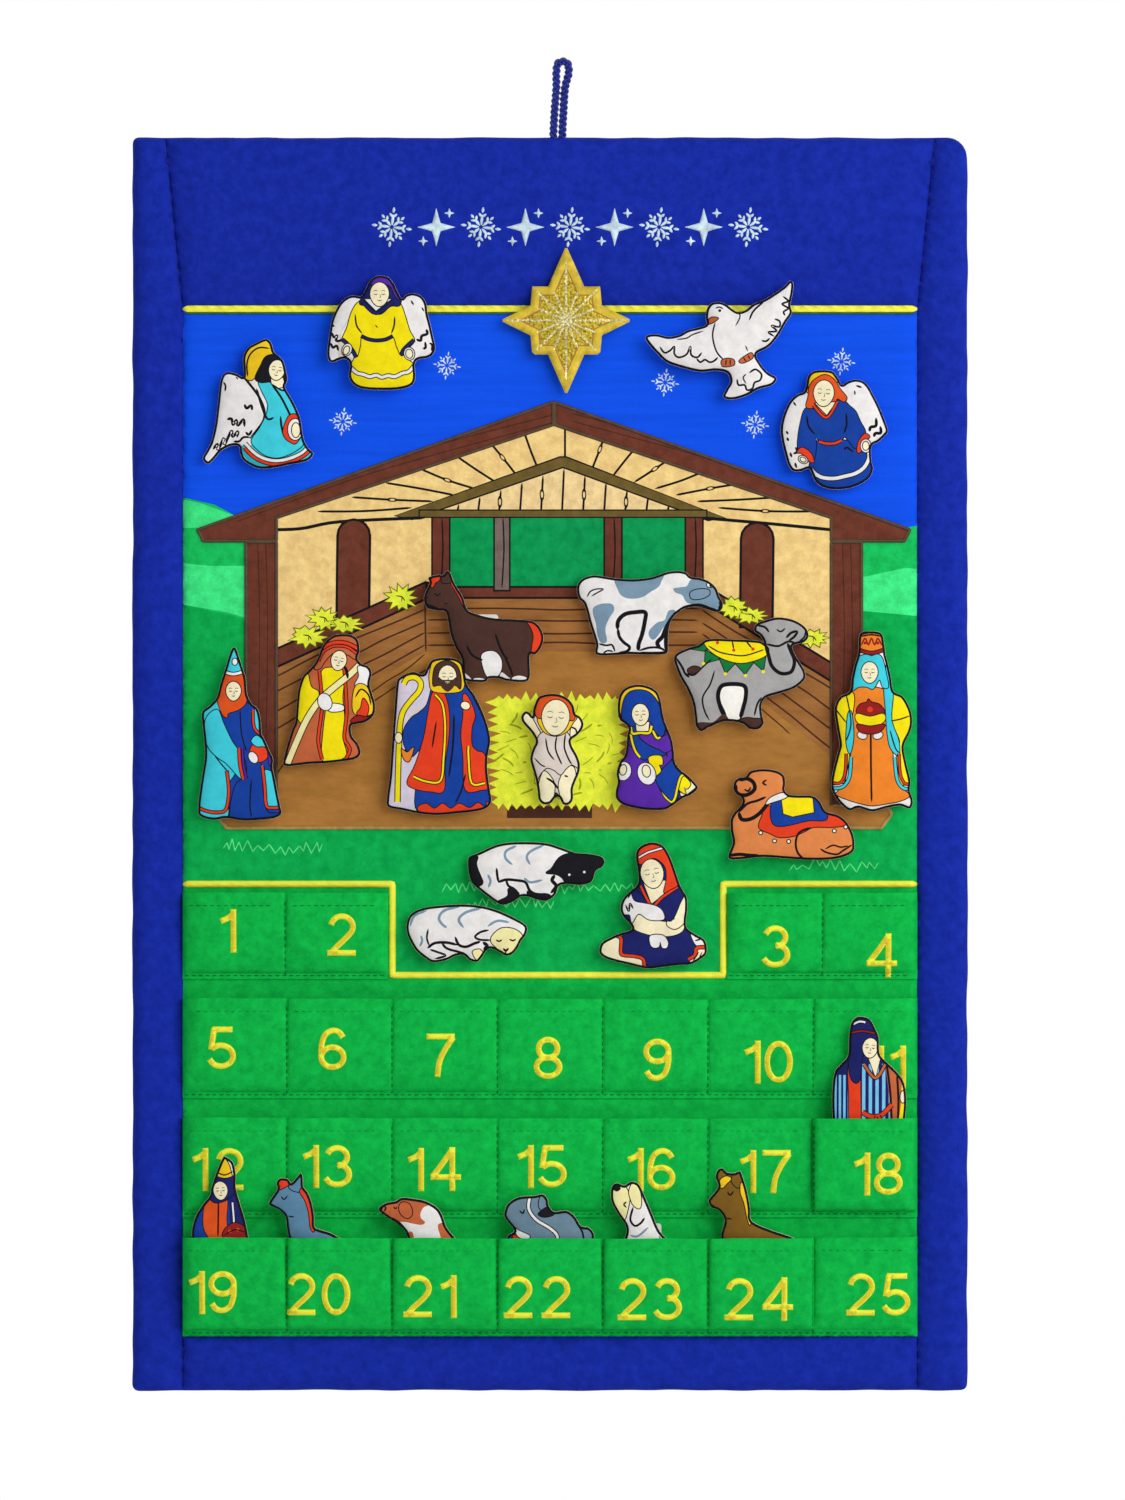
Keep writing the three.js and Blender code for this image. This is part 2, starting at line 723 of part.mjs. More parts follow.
const roundHeadShares = mirrored([
  [0.5, 1], [0.64, 0.97], [0.72, 0.88], [0.74, 0.78], [0.9, 0.71], [1, 0.58], [0.98, 0.38],
  [0.95, 0.18], [0.96, 0.02], [0.76, 0], [0.5, 0],
]);
const staffManShares = [
  [0.55, 1], [0.68, 0.96], [0.74, 0.86], [0.76, 0.76], [0.9, 0.68], [0.99, 0.54], [0.94, 0.38],
  [0.93, 0.2], [1, 0.03], [0.86, 0], [0.62, 0], [0.38, 0], [0.2, 0.02], [0.02, 0.01],
  [0, 0.14], [0.03, 0.38], [0.04, 0.62], [0.04, 0.8], [0.14, 0.88], [0.28, 0.86], [0.38, 0.86],
  [0.43, 0.96],
];
const lanternManShares = [
  [0.36, 0.96], [0.5, 1], [0.64, 0.96], [0.71, 0.85], [0.84, 0.8], [0.94, 0.69], [1, 0.53],
  [0.95, 0.38], [0.85, 0.3], [0.84, 0.16], [0.88, 0.02], [0.68, 0], [0.4, 0], [0.12, 0],
  [0, 0.06], [0.06, 0.26], [0.12, 0.48], [0.17, 0.67], [0.26, 0.76], [0.28, 0.88],
];
const babyShares = mirrored([
  [0.5, 1], [0.72, 0.96], [0.83, 0.84], [0.8, 0.72], [0.93, 0.6], [1, 0.43], [0.91, 0.2],
  [0.73, 0.04], [0.5, 0],
]);
const kneelingWomanShares = [
  [0.34, 1], [0.49, 0.98], [0.59, 0.9], [0.62, 0.77], [0.72, 0.66], [0.77, 0.5], [0.81, 0.36],
  [0.94, 0.26], [1, 0.16], [0.9, 0.07], [0.74, 0.04], [0.52, 0], [0.26, 0], [0.07, 0.03],
  [0.02, 0.16], [0.08, 0.34], [0.03, 0.48], [0.11, 0.62], [0.11, 0.78], [0.13, 0.91], [0.21, 0.98],
];
const grazingSheepShares = [
  [0, 0.62], [0.05, 0.82], [0.17, 0.96], [0.36, 1], [0.54, 0.97], [0.7, 0.88], [0.85, 0.9],
  [0.97, 0.84], [1, 0.66], [0.93, 0.46], [0.8, 0.4], [0.7, 0.28], [0.6, 0.06], [0.44, 0],
  [0.28, 0], [0.14, 0.12], [0.04, 0.36],
];
const lyingSheepShares = [
  [0, 0.56], [0.06, 0.82], [0.2, 0.97], [0.4, 1], [0.6, 0.97], [0.8, 0.9], [0.96, 0.78],
  [1, 0.56], [0.93, 0.32], [0.81, 0.22], [0.68, 0.1], [0.52, 0.01], [0.34, 0.03], [0.18, 0],
  [0.05, 0.2],
];
const kneelingBoyShares = [
  [0.38, 0.97], [0.5, 1], [0.63, 0.96], [0.7, 0.84], [0.72, 0.68], [0.79, 0.57], [0.8, 0.42],
  [0.8, 0.3], [0.95, 0.23], [1, 0.12], [0.92, 0.03], [0.7, 0], [0.4, 0], [0.14, 0.01],
  [0, 0.09], [0.04, 0.21], [0.2, 0.28], [0.18, 0.42], [0.2, 0.57], [0.31, 0.65], [0.32, 0.8],
  [0.33, 0.91],
];
const pocketDonkeyShares = [
  [0, 0.8], [0.03, 0.87], [0.14, 0.91], [0.2, 1], [0.33, 1], [0.4, 0.9], [0.46, 0.76],
  [0.56, 0.64], [0.72, 0.56], [0.9, 0.5], [1, 0.38], [1, 0.18], [0.94, 0.02], [0.62, 0],
  [0.38, 0], [0.28, 0.03], [0.25, 0.2], [0.25, 0.42], [0.28, 0.56], [0.24, 0.68], [0.1, 0.71],
  [0.02, 0.74],
];
const restingDonkeyShares = [
  [0, 0.8], [0.04, 0.87], [0.1, 0.9], [0.16, 1], [0.34, 1], [0.42, 0.9], [0.44, 0.78],
  [0.52, 0.68], [0.7, 0.6], [0.88, 0.54], [0.98, 0.46], [1, 0.28], [0.95, 0.04], [0.7, 0],
  [0.36, 0], [0.2, 0.02], [0.14, 0.18], [0.15, 0.4], [0.2, 0.58], [0.18, 0.68], [0.08, 0.72],
  [0.01, 0.75],
];
const pocketCalfShares = [
  [0, 0.9], [0.06, 0.96], [0.2, 1], [0.42, 1], [0.6, 0.97], [0.74, 0.88], [0.86, 0.76],
  [0.95, 0.66], [1, 0.5], [1, 0.24], [0.94, 0.02], [0.66, 0], [0.44, 0], [0.34, 0.04],
  [0.31, 0.24], [0.32, 0.46], [0.36, 0.66], [0.3, 0.78], [0.16, 0.83], [0.03, 0.85],
];
const pocketCamelShares = [
  [0, 0.82], [0.05, 0.93], [0.18, 1], [0.36, 0.99], [0.45, 0.9], [0.5, 0.8], [0.62, 0.79],
  [0.76, 0.76], [0.9, 0.66], [1, 0.52], [1, 0.3], [0.95, 0.1], [0.86, 0], [0.6, 0], [0.32, 0],
  [0.1, 0.02], [0.05, 0.22], [0.07, 0.44], [0.12, 0.6], [0.12, 0.7], [0.03, 0.73],
];
const pocketSheepShares = [
  [0.02, 0.9], [0.12, 0.98], [0.3, 1], [0.44, 0.95], [0.54, 0.84], [0.62, 0.7], [0.78, 0.58],
  [0.95, 0.48], [1, 0.3], [0.94, 0.1], [0.84, 0], [0.6, 0], [0.34, 0], [0.12, 0.02],
  [0.04, 0.2], [0.05, 0.42], [0.16, 0.56], [0.2, 0.68], [0.08, 0.78],
];

// An eight-pointed star: four long rays over a square
const starTallShares = [
  [0.5, 1], [0.637, 0.727], [0.757, 0.727], [0.77, 0.6], [1, 0.5], [0.77, 0.4], [0.757, 0.273],
  [0.637, 0.273], [0.5, 0],
];
const starShares = mirrored(starTallShares);

// A smooth closed outline through the shares, or the plain corners of a star
function outlinePoints(shares, width, height, sharp) {
  const corners = shares.map(([x, y]) => new THREE.Vector3((x - 1 / 2) * width, (y - 1 / 2) * height, 0));
  const curve = new THREE.CatmullRomCurve3(corners, true, "centripetal");
  const points = sharp ? corners : curve.getSpacedPoints(outlineSteps).slice(0, -1);
  const flat = points.map((p) => new THREE.Vector2(p.x, p.y));
  return THREE.ShapeUtils.area(flat) < 0 ? flat.reverse() : flat;
}

// How far each point of an outline can draw in before it nears the far side
function drawInLimits(points, inward) {
  const count = points.length;
  const rooms = points.map((point, i) => {
    let room = Infinity;
    for (let j = 0; j < count; j++) {
      const a = points[j];
      const b = points[(j + 1) % count];
      if (j === i || (j + 1) % count === i) continue;
      const along = new THREE.Vector2().subVectors(b, a);
      const offset = new THREE.Vector2().subVectors(a, point);
      const turn = inward[i].cross(along);
      const distance = offset.cross(along) / turn;
      const place = offset.cross(inward[i]) / turn;
      if (distance > 0 && place >= 0 && place <= 1) room = Math.min(room, distance);
    }
    return Math.min(stuffedRounding, room * drawInShare);
  });
  return rooms.map((own, i) => {
    const before = rooms[(i + count - 1) % count];
    const after = rooms[(i + 1) % count];
    return Math.min(own, (before + 2 * own + after) / 4);
  });
}

// A flat stuffed form: two faces that swell from one seam round the outline, less where it is narrow
function stuffedForm(points, thickness) {
  const count = points.length;
  const inward = points.map((point, i) => {
    const before = points[(i + count - 1) % count];
    const after = points[(i + 1) % count];
    const along = new THREE.Vector2().subVectors(after, before).normalize();
    return new THREE.Vector2(-along.y, along.x);
  });
  const limits = drawInLimits(points, inward);
  const ringAt = ({ insetShare, riseShare }, face) =>
    points.map((point, i) => {
      const fullness = Math.sqrt(limits[i] / stuffedRounding);
      const place = point.clone().addScaledVector(inward[i], insetShare * limits[i]);
      return new THREE.Vector3(place.x, place.y, (face * riseShare * fullness * thickness) / 2);
    });
  const back = [...crownShares].reverse().map((share) => ringAt(share, -1));
  const front = crownShares.slice(1).map((share) => ringAt(share, 1));
  return loft([...back, ...front]);
}

// A stuffed piece with a hook tab sewn to its back, centred on its outline
function stuffedPiece(piece) {
  const { shares, sizeShares, thickness, tabShares = [0.5, 0.5], raise = 0, sharp = false } = piece;
  const width = sizeShares[0] * tallestHeight;
  const height = sizeShares[1] * tallestHeight;
  const body = solidOf(stuffedForm(outlinePoints(shares, width, height, sharp), thickness));
  const backZ = -thickness / 2;
  const tabX = (tabShares[0] - 1 / 2) * width;
  const tabY = (tabShares[1] - 1 / 2) * height;
  const tab = block(
    new THREE.Vector3(tabX - hookTabWidth / 2, tabY - hookTabHeight / 2, backZ - hookTabThickness - raise),
    new THREE.Vector3(tabX + hookTabWidth / 2, tabY + hookTabHeight / 2, backZ + hookTabBite),
  );
  return geometryOf(body.add(solidOf(tab)));
}

// The pieces on the scene. Places are shares of the field, from its upper left corner.

const onCloth = frontZ;
const onStable = appliqueFrontZ;
const overTrim = trimHeight + clearance;
const scenePieces = [
  {
    name: "angel_yellow", shares: angelFrontShares, sizeShares: [0.61, 0.64],
    placeShares: [0.272, 0.024], seat: onCloth, raise: overTrim,
  },
  {
    name: "angel_turquoise", shares: angelSideShares, sizeShares: [0.62, 0.74],
    placeShares: [0.102, 0.094], seat: onCloth, roll: 2,
  },
  {
    name: "dove", shares: doveShares, sizeShares: [0.87, 0.68],
    placeShares: [0.731, 0.032], seat: onCloth, raise: overTrim,
  },
  {
    name: "angel_blue", shares: angelFrontShares, sizeShares: [0.6, 0.66],
    placeShares: [0.884, 0.117], seat: onCloth, roll: -8,
  },
  {
    name: "star", shares: starShares, sizeShares: [0.74, 0.84],
    placeShares: [0.522, 0.012], seat: onCloth, raise: overTrim, thickness: starThickness,
    sharp: true, material: goldThread,
  },
  {
    name: "donkey_brown", shares: donkeyShares, sizeShares: [0.71, 0.65],
    placeShares: [0.415, 0.304], seat: onStable,
  },
  {
    name: "cow", shares: cowShares, sizeShares: [0.83, 0.49],
    placeShares: [0.637, 0.295], seat: onStable,
  },
  {
    name: "camel_grey", shares: camelShares, sizeShares: [0.85, 0.64],
    placeShares: [0.768, 0.355], seat: onStable,
  },
  {
    name: "camel_resting", shares: restingCamelShares, sizeShares: [0.73, 0.53],
    placeShares: [0.822, 0.489], seat: onStable,
  },
  {
    name: "king_turquoise", shares: pointedHatShares, sizeShares: [0.48, 0.97],
    placeShares: [0.08, 0.413], seat: onStable,
  },
  {
    name: "shepherd_lantern", shares: lanternManShares, sizeShares: [0.52, 0.74],
    placeShares: [0.201, 0.38], seat: onStable,
  },
  {
    name: "father_figure", shares: staffManShares, sizeShares: [0.59, 0.92],
    placeShares: [0.35, 0.42], seat: onStable,
  },
  {
    name: "infant_figure", shares: babyShares, sizeShares: [0.35, 0.62],
    placeShares: [0.511, 0.428], seat: onStable,
  },
  {
    name: "mother_figure", shares: kneelingWomanShares, sizeShares: [0.48, 0.7],
    placeShares: [0.643, 0.426], seat: onStable,
  },
  {
    name: "king_orange", shares: tallHatShares, sizeShares: [0.45, 1],
    placeShares: [0.938, 0.402], seat: onStable,
  },
  {
    name: "sheep_black_face", shares: grazingSheepShares, sizeShares: [0.77, 0.36],
    placeShares: [0.481, 0.548], seat: onCloth,
  },
  {
    name: "sheep_white", shares: lyingSheepShares, sizeShares: [0.68, 0.34],
    placeShares: [0.387, 0.607], seat: onCloth,
  },
  {
    name: "shepherd_boy", shares: kneelingBoyShares, sizeShares: [0.61, 0.71],
    placeShares: [0.637, 0.58], seat: onCloth,
  },
];

for (const piece of scenePieces) {
  const thickness = piece.thickness ?? stuffedThickness;
  const mesh = addPart(piece.name, stuffedPiece({ ...piece, thickness }), piece.material ?? printedCalico);
  mesh.position.set(
    (2 * piece.placeShares[0] - 1) * fieldHalfWidth,
    -headerHeight - piece.placeShares[1] * fieldHeight,
    piece.seat + clearance + hookTabThickness + (piece.raise ?? 0) + thickness / 2,
  );
  mesh.rotation.z = THREE.MathUtils.degToRad(piece.roll ?? 0);
}

// The pieces in the pockets lean out a little, so that they clear the pockets above them.
// shiftShare moves one off its pocket's middle, as a share of the pocket's width.

const pocketPieces = [
  {
    name: "shepherd_striped", shares: roundHeadShares, sizeShares: [0.41, 1.04],
    row: 3, column: 6, shiftShare: 0.03,
  },
  {
    name: "king_crowned", shares: pointedHatShares, sizeShares: [0.38, 0.95],
    row: 4, column: 0, shiftShare: -0.11,
  },
  {
    name: "donkey_blue", shares: pocketDonkeyShares, sizeShares: [0.56, 0.87],
    row: 4, column: 1, shiftShare: -0.17, tabShares: [0.5, 0.42],
  },
  {
    name: "calf_patched", shares: pocketCalfShares, sizeShares: [0.49, 0.74],
    row: 4, column: 2, shiftShare: -0.2,
  },
  {
    name: "camel_saddled", shares: pocketCamelShares, sizeShares: [0.49, 0.77],
    row: 4, column: 3, shiftShare: 0,
  },
  {
    name: "sheep_cream_face", shares: pocketSheepShares, sizeShares: [0.43, 0.83],
    row: 4, column: 4, shiftShare: -0.06,
  },
  {
    name: "donkey_dark", shares: restingDonkeyShares, sizeShares: [0.53, 0.9],
    row: 4, column: 5, shiftShare: -0.04, tabShares: [0.5, 0.42],
  },
];

for (const piece of pocketPieces) {
  const pivot = new THREE.Group();
  pivot.position.set(
    -fieldHalfWidth + (piece.column + 1 / 2 + piece.shiftShare) * pocketWidth,
    rowFootY(piece.row) + pocketPieceLift,
    frontZ + pocketPieceGap,
  );
  pivot.rotation.x = pocketPieceTilt;
  parts.add(pivot);
  const tabShares = piece.tabShares ?? [0.5, 0.62];
  const geometry = stuffedPiece({ ...piece, thickness: pocketPieceThickness, tabShares });
  const mesh = addPart(piece.name, geometry, piece.material ?? printedCalico, pivot);
  mesh.position.set(0, (piece.sizeShares[1] * tallestHeight) / 2, pocketPieceThickness / 2);
}

// The whole calendar, turned upright and hung at the origin

parts.position.set(-hangX, -hangY, 0);
const calendar = new THREE.Group();
calendar.add(parts);
calendar.rotation.x = Math.PI / 2;

export default calendar;
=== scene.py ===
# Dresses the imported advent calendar: cloth, embroidery, stuffed figures and the braided loop.
# Work is done in millimetres, with x to the right, z up and out as the distance towards the viewer.
import math

import bpy
import numpy as np
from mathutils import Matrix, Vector, geometry, kdtree, noise


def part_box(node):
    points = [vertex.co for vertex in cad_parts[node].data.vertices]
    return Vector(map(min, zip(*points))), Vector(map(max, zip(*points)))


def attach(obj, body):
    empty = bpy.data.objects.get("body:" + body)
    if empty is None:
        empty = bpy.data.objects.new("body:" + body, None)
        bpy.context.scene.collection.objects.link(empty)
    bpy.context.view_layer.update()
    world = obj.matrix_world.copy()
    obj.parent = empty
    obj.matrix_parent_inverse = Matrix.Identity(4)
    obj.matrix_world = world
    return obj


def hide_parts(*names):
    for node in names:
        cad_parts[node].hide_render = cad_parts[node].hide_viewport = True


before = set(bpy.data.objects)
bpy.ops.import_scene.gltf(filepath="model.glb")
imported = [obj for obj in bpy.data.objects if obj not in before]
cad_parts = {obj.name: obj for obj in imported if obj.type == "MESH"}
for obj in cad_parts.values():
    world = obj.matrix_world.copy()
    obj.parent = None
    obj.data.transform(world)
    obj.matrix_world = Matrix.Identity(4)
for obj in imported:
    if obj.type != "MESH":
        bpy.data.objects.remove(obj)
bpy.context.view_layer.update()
bpy.ops.object.select_all(action="DESELECT")
mm = 0.001


def span(node):  # a CAD node's box in millimetres, out counted from the panel's middle plane
    low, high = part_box(node)
    return {
        "left": low.x / mm, "right": high.x / mm,
        "foot": low.z / mm, "top": high.z / mm,
        "out": -low.y / mm, "inn": -high.y / mm,
    }


panel = span("back_panel")
header = span("header_panel")
field = {**span("scene_cloth"), "foot": span("pocket_ground")["foot"]}
meadow = span("scene_cloth")
front = meadow["out"]  # the front cloth's face
centreX = (panel["left"] + panel["right"]) / 2
centreZ = (panel["top"] + panel["foot"]) / 2

bpy.context.scene.view_settings.view_transform = "Standard"

print("stage: camera, light and floor")

camera = {"distance": 4.0, "sensor": 36.0, "imageWidth": 1125, "imageHeight": 1500}
photo = {"panelWidth": 836, "panelCentreX": 550, "panelCentreY": 764}  # pixels of the photograph


def addCamera():
    perPixel = (panel["right"] - panel["left"]) * mm / photo["panelWidth"]
    aimX = centreX * mm + (camera["imageWidth"] / 2 - photo["panelCentreX"]) * perPixel
    aimZ = centreZ * mm + (photo["panelCentreY"] - camera["imageHeight"] / 2) * perPixel
    bpy.ops.object.camera_add(
        location=(aimX, -camera["distance"], aimZ), rotation=(math.pi / 2, 0, 0)
    )
    cam = bpy.context.object
    cam.data.sensor_fit = "VERTICAL"
    cam.data.sensor_height = camera["sensor"]
    cam.data.lens = camera["sensor"] * camera["distance"] / (camera["imageHeight"] * perPixel)
    bpy.context.scene.camera = cam


light = {
    "world": 0.45, "size": 1.9,
    "lamps": {  # where each stands in metres, and its power in watts
        "keyLamp": ((1.5, -1.75, 0.45), 43.0),
        "fillLamp": ((-1.6, -1.6, -0.4), 3.0),
        "backLamp": ((-0.8, 2.2, 0.6), 25.8),
    },
}
floorLook = {"size": 8, "height": -1.9, "colour": (0.86, 0.86, 0.85, 1), "roughness": 0.8}


def addLamps():
    aim = Vector((centreX * mm, 0, centreZ * mm))
    for name, (stand, power) in light["lamps"].items():
        bpy.ops.object.light_add(type="AREA", location=stand)
        lamp = bpy.context.object
        lamp.name = name
        lamp.data.energy = power
        lamp.data.size = light["size"]
        lamp.rotation_euler = (aim - Vector(stand)).to_track_quat("-Z", "Y").to_euler()


def mathNode(tree, kind, a, b):
    node = tree.nodes.new("ShaderNodeMath")
    node.operation = kind
    for socket, value in zip(node.inputs, (a, b)):
        if isinstance(value, (int, float)):
            socket.default_value = value
        else:
            tree.links.new(value, socket)
    return node.outputs[0]


def addWorld():
    world = bpy.data.worlds.new("studio")
    world.use_nodes = True
    bpy.context.scene.world = world
    nodes, links = world.node_tree.nodes, world.node_tree.links
    nodes.clear()
    seen = nodes.new("ShaderNodeBackground")
    seen.inputs["Color"].default_value = (1, 1, 1, 1)
    seen.inputs["Strength"].default_value = 1
    lit = nodes.new("ShaderNodeBackground")
    lit.inputs["Color"].default_value = (1, 1, 1, 1)
    lit.inputs["Strength"].default_value = light["world"]
    path = nodes.new("ShaderNodeLightPath")
    mix = nodes.new("ShaderNodeMixShader")
    out = nodes.new("ShaderNodeOutputWorld")
    seenRays = path.outputs["Is Camera Ray"]
    for ray in ("Is Glossy Ray", "Is Transmission Ray"):
        seenRays = mathNode(world.node_tree, "MAXIMUM", seenRays, path.outputs[ray])
    links.new(seenRays, mix.inputs["Fac"])
    links.new(lit.outputs[0], mix.inputs[1])
    links.new(seen.outputs[0], mix.inputs[2])
    links.new(mix.outputs[0], out.inputs["Surface"])


def addFloor():
    bpy.ops.mesh.primitive_plane_add(size=floorLook["size"], location=(0, 0, floorLook["height"]))
    floor = bpy.context.object
    floor.name = "floor"
    paint = bpy.data.materials.new("paleFloor")
    paint.use_nodes = True
    shader = paint.node_tree.nodes["Principled BSDF"]
    shader.inputs["Base Color"].default_value = floorLook["colour"]
    shader.inputs["Roughness"].default_value = floorLook["roughness"]
    floor.data.materials.append(paint)


addCamera()
addWorld()
addLamps()
addFloor()
bpy.ops.object.select_all(action="DESELECT")

print("stage: materials")


def linear(hexColour):  # a colour written as six hex digits, as the shader takes it
    values = [int(hexColour[i:i + 2], 16) / 255 for i in (0, 2, 4)]
    return [v / 12.92 if v <= 0.04045 else ((v + 0.055) / 1.055) ** 2.4 for v in values] + [1]


def textureAt(tree, coords, kind, scale, stretch=(1, 1, 1), turn=(0, 0, 0), **settings):
    mapping = tree.nodes.new("ShaderNodeMapping")
    mapping.inputs["Scale"].default_value = stretch
    mapping.inputs["Rotation"].default_value = turn
    tree.links.new(coords, mapping.inputs["Vector"])
    texture = tree.nodes.new(kind)
    texture.inputs["Scale"].default_value = scale
    for key, value in settings.items():
        setattr(texture, key, value)
    tree.links.new(mapping.outputs[0], texture.inputs["Vector"])
    return texture


threadPitch = 0.42  # millimetres from thread to thread of the plain weave
waveUnit = 0.314 / mm  # a wave texture's scale for a wavelength of one millimetre
mottleLook = {
    "detail": 7, "roughness": 0.7, "darkEnd": 0.36, "paleEnd": 0.64, "paleShare": 0.6, "paleLift": 0.015,
}
weaveLook = {  # the noise is stretched along the threads
    "warp": (2600, 500, 240), "weft": (240, 500, 2600), "creases": 330, "creaseShare": 2.2, "depth": 0.16,
}


def newMaterial(name, colour, roughness, variation, sheen=0.0, metallic=0.0, grain=170, stretch=(1, 1, 1)):
    material = bpy.data.materials.new(name)
    material.use_nodes = True
    tree = material.node_tree
    shader = tree.nodes["Principled BSDF"]
    shader.inputs["Roughness"].default_value = roughness
    shader.inputs["Metallic"].default_value = metallic
    shader.inputs["Sheen Weight"].default_value = sheen
    shader.inputs["Specular IOR Level"].default_value = 0.1 if roughness > 0.6 else 0.3  # cloth, thread
    coords = tree.nodes.new("ShaderNodeTexCoord").outputs["Object"]
    mottle = textureAt(tree, coords, "ShaderNodeTexNoise", grain, stretch)
    mottle.inputs["Detail"].default_value = mottleLook["detail"]
    mottle.inputs["Roughness"].default_value = mottleLook["roughness"]
    ramp = tree.nodes.new("ShaderNodeValToRGB")
    base = linear(colour)
    dark = [c * (1 - variation) for c in base[:3]] + [1]
    pale = [min(1, c * (1 + variation * mottleLook["paleShare"]) + variation * mottleLook["paleLift"])
            for c in base[:3]] + [1]
    for element, end, shade in zip(ramp.color_ramp.elements, ("darkEnd", "paleEnd"), (dark, pale)):
        element.position = mottleLook[end]
        element.color = shade
    tree.links.new(mottle.outputs["Fac"], ramp.inputs["Fac"])
    tree.links.new(ramp.outputs["Color"], shader.inputs["Base Color"])
    return material, tree, shader, coords


def addBump(tree, shader, height, strength, distance):
    bump = tree.nodes.new("ShaderNodeBump")
    bump.inputs["Strength"].default_value = strength
    bump.inputs["Distance"].default_value = distance * mm
    tree.links.new(height, bump.inputs["Height"])
    tree.links.new(bump.outputs[0], shader.inputs["Normal"])


def wovenCloth(name, colour, variation=0.2, strength=0.5, pitch=threadPitch, roughness=0.88, **grains):
    material, tree, shader, coords = newMaterial(name, colour, roughness, variation, **grains)
    waves = [textureAt(tree, coords, "ShaderNodeTexWave", waveUnit / pitch, bands_direction=way)
             for way in ("X", "Z")]
    slubs = [textureAt(tree, coords, "ShaderNodeTexNoise", 1, stretch=weaveLook[run])
             for run in ("warp", "weft")]
    creases = textureAt(tree, coords, "ShaderNodeTexNoise", weaveLook["creases"])
    crossed = mathNode(tree, "MULTIPLY", *(node.outputs["Fac"] for node in waves))
    thick = mathNode(tree, "ADD", *(node.outputs["Fac"] for node in slubs))
    relief = mathNode(tree, "MULTIPLY", creases.outputs["Fac"], weaveLook["creaseShare"])
    height = mathNode(tree, "ADD", mathNode(tree, "ADD", crossed, thick), relief)
    addBump(tree, shader, height, strength, weaveLook["depth"])
    return material


def satinThread(name, colour, turn=0.6, variation=0.3, pitch=0.55, roughness=0.42):
    material, tree, shader, coords = newMaterial(name, colour, roughness, variation, sheen=0.03)
    wave = textureAt(
        tree, coords, "ShaderNodeTexWave", waveUnit / pitch, turn=(0, turn, 0), bands_direction="X"
    )
    addBump(tree, shader, wave.outputs["Fac"], strength=0.6, distance=0.15)
    return material


def glitterCloth(name, colour):
    material, tree, shader, coords = newMaterial(
        name, colour, roughness=0.36, variation=0.8, metallic=0.45, grain=800
    )
    grains = textureAt(tree, coords, "ShaderNodeTexVoronoi", 900)
    addBump(tree, shader, grains.outputs["Distance"], strength=0.7, distance=0.3)
    return material


cloths = {
    "royal": wovenCloth("royalBlueCotton", "112AA6"),
    "backing": wovenCloth("backingCotton", "101F8C"),
    # the mottle here is stretched into long level streaks, which paint sheen lines into the sateen's colour
    "sky": wovenCloth(
        "skyBlueSateen", "0452F0", variation=0.1, roughness=0.7, grain=75, stretch=(0.15, 1, 3)
    ),
    "hill": wovenCloth("hillGreenPrint", "40F088"),
    "hillMid": wovenCloth("midGreenPrint", "14C45E"),
    "meadow": wovenCloth("meadowGreenCotton", "02B050"),
    "pocket": wovenCloth("pocketGreenCotton", "04BA48"),
    "timber": wovenCloth("timberBrownPrint", "6E3829"),
    "timberDark": wovenCloth("darkBrownPrint", "4A2A1E"),
    "fence": wovenCloth("fenceBrownPrint", "A26C38", variation=0.2, grain=90, stretch=(0.5, 1, 2.2)),
    "postGrey": wovenCloth("greyBrownPrint", "7A6760"),
    "floor": wovenCloth("floorBrownPrint", "AE7838", variation=0.16, grain=90, stretch=(0.6, 1, 1.6)),
    "wall": wovenCloth("wallCreamPrint", "FFD48A"),
    "wallPale": wovenCloth("paleCreamPrint", "FBD698"),
    "window": wovenCloth("windowGreenPrint", "029A52"),
    "hay": wovenCloth("hayYellowPrint", "EEFF40"),
    "hayDark": wovenCloth("hayShadePrint", "A3AE22"),
    "beam": wovenCloth("oliveBrownPrint", "6F5C2C"),
    "hayInk": wovenCloth("darkHayPrint", "5E6A12"),
    "ink": wovenCloth("inkBlackPrint", "15141A", variation=0.05),
    "wadding": wovenCloth("whiteWadding", "ECECE6"),
    "lame": glitterCloth("goldLame", "B9A022"),
    "rayGlitter": glitterCloth("silverRayGlitter", "CFC48E"),
}
threads = {
    "trim": satinThread("yellowTrimThread", "FBF640", variation=0.1),
    "edging": satinThread("brownEdgingThread", "4C3419", turn=0.2),
    "number": satinThread("yellowNumberThread", "FBF636", turn=0.9, variation=0.1),
    "ice": satinThread("paleBlueThread", "CFE6F8"),
    "grass": satinThread("paleGreenThread", "54F088"),
    "blueSeam": satinThread("blueSeamThread", "0C1878"),
    "greenSeam": satinThread("greenSeamThread", "026B2A"),
    # a darker copy of the yellow number thread: painted shade on the numerals' upright strokes
    "gold": satinThread("numberThreadPaintedShade", "E6D01E", turn=0.9, variation=0.15),
    "floorHem": satinThread("paleBrownHemThread", "A98A4A", turn=0.2),
    "goldSatin": satinThread("goldSatinStitch", "DDBE2A", turn=0.8, variation=0.3),
    "starGroove": satinThread("orangeSeamThread", "A8741A", turn=0.3),
    "greenPiping": satinThread("darkGreenPiping", "0A5A2C", turn=0.3),
    "braid": satinThread("navyBraidThread", "1A2A8C", turn=0.5),
}
hookTape = wovenCloth("whiteHookTape", "E9E9E4", strength=1.0, pitch=0.9)


def woodGrain(name, colour):
    material, tree, shader, coords = newMaterial(name, colour, roughness=0.55, variation=0.12)
    rings = textureAt(tree, coords, "ShaderNodeTexNoise", 60, stretch=(0.08, 1, 1))
    addBump(tree, shader, rings.outputs["Fac"], strength=0.4, distance=0.2)
    return material


print("stage: shared cloth tools")

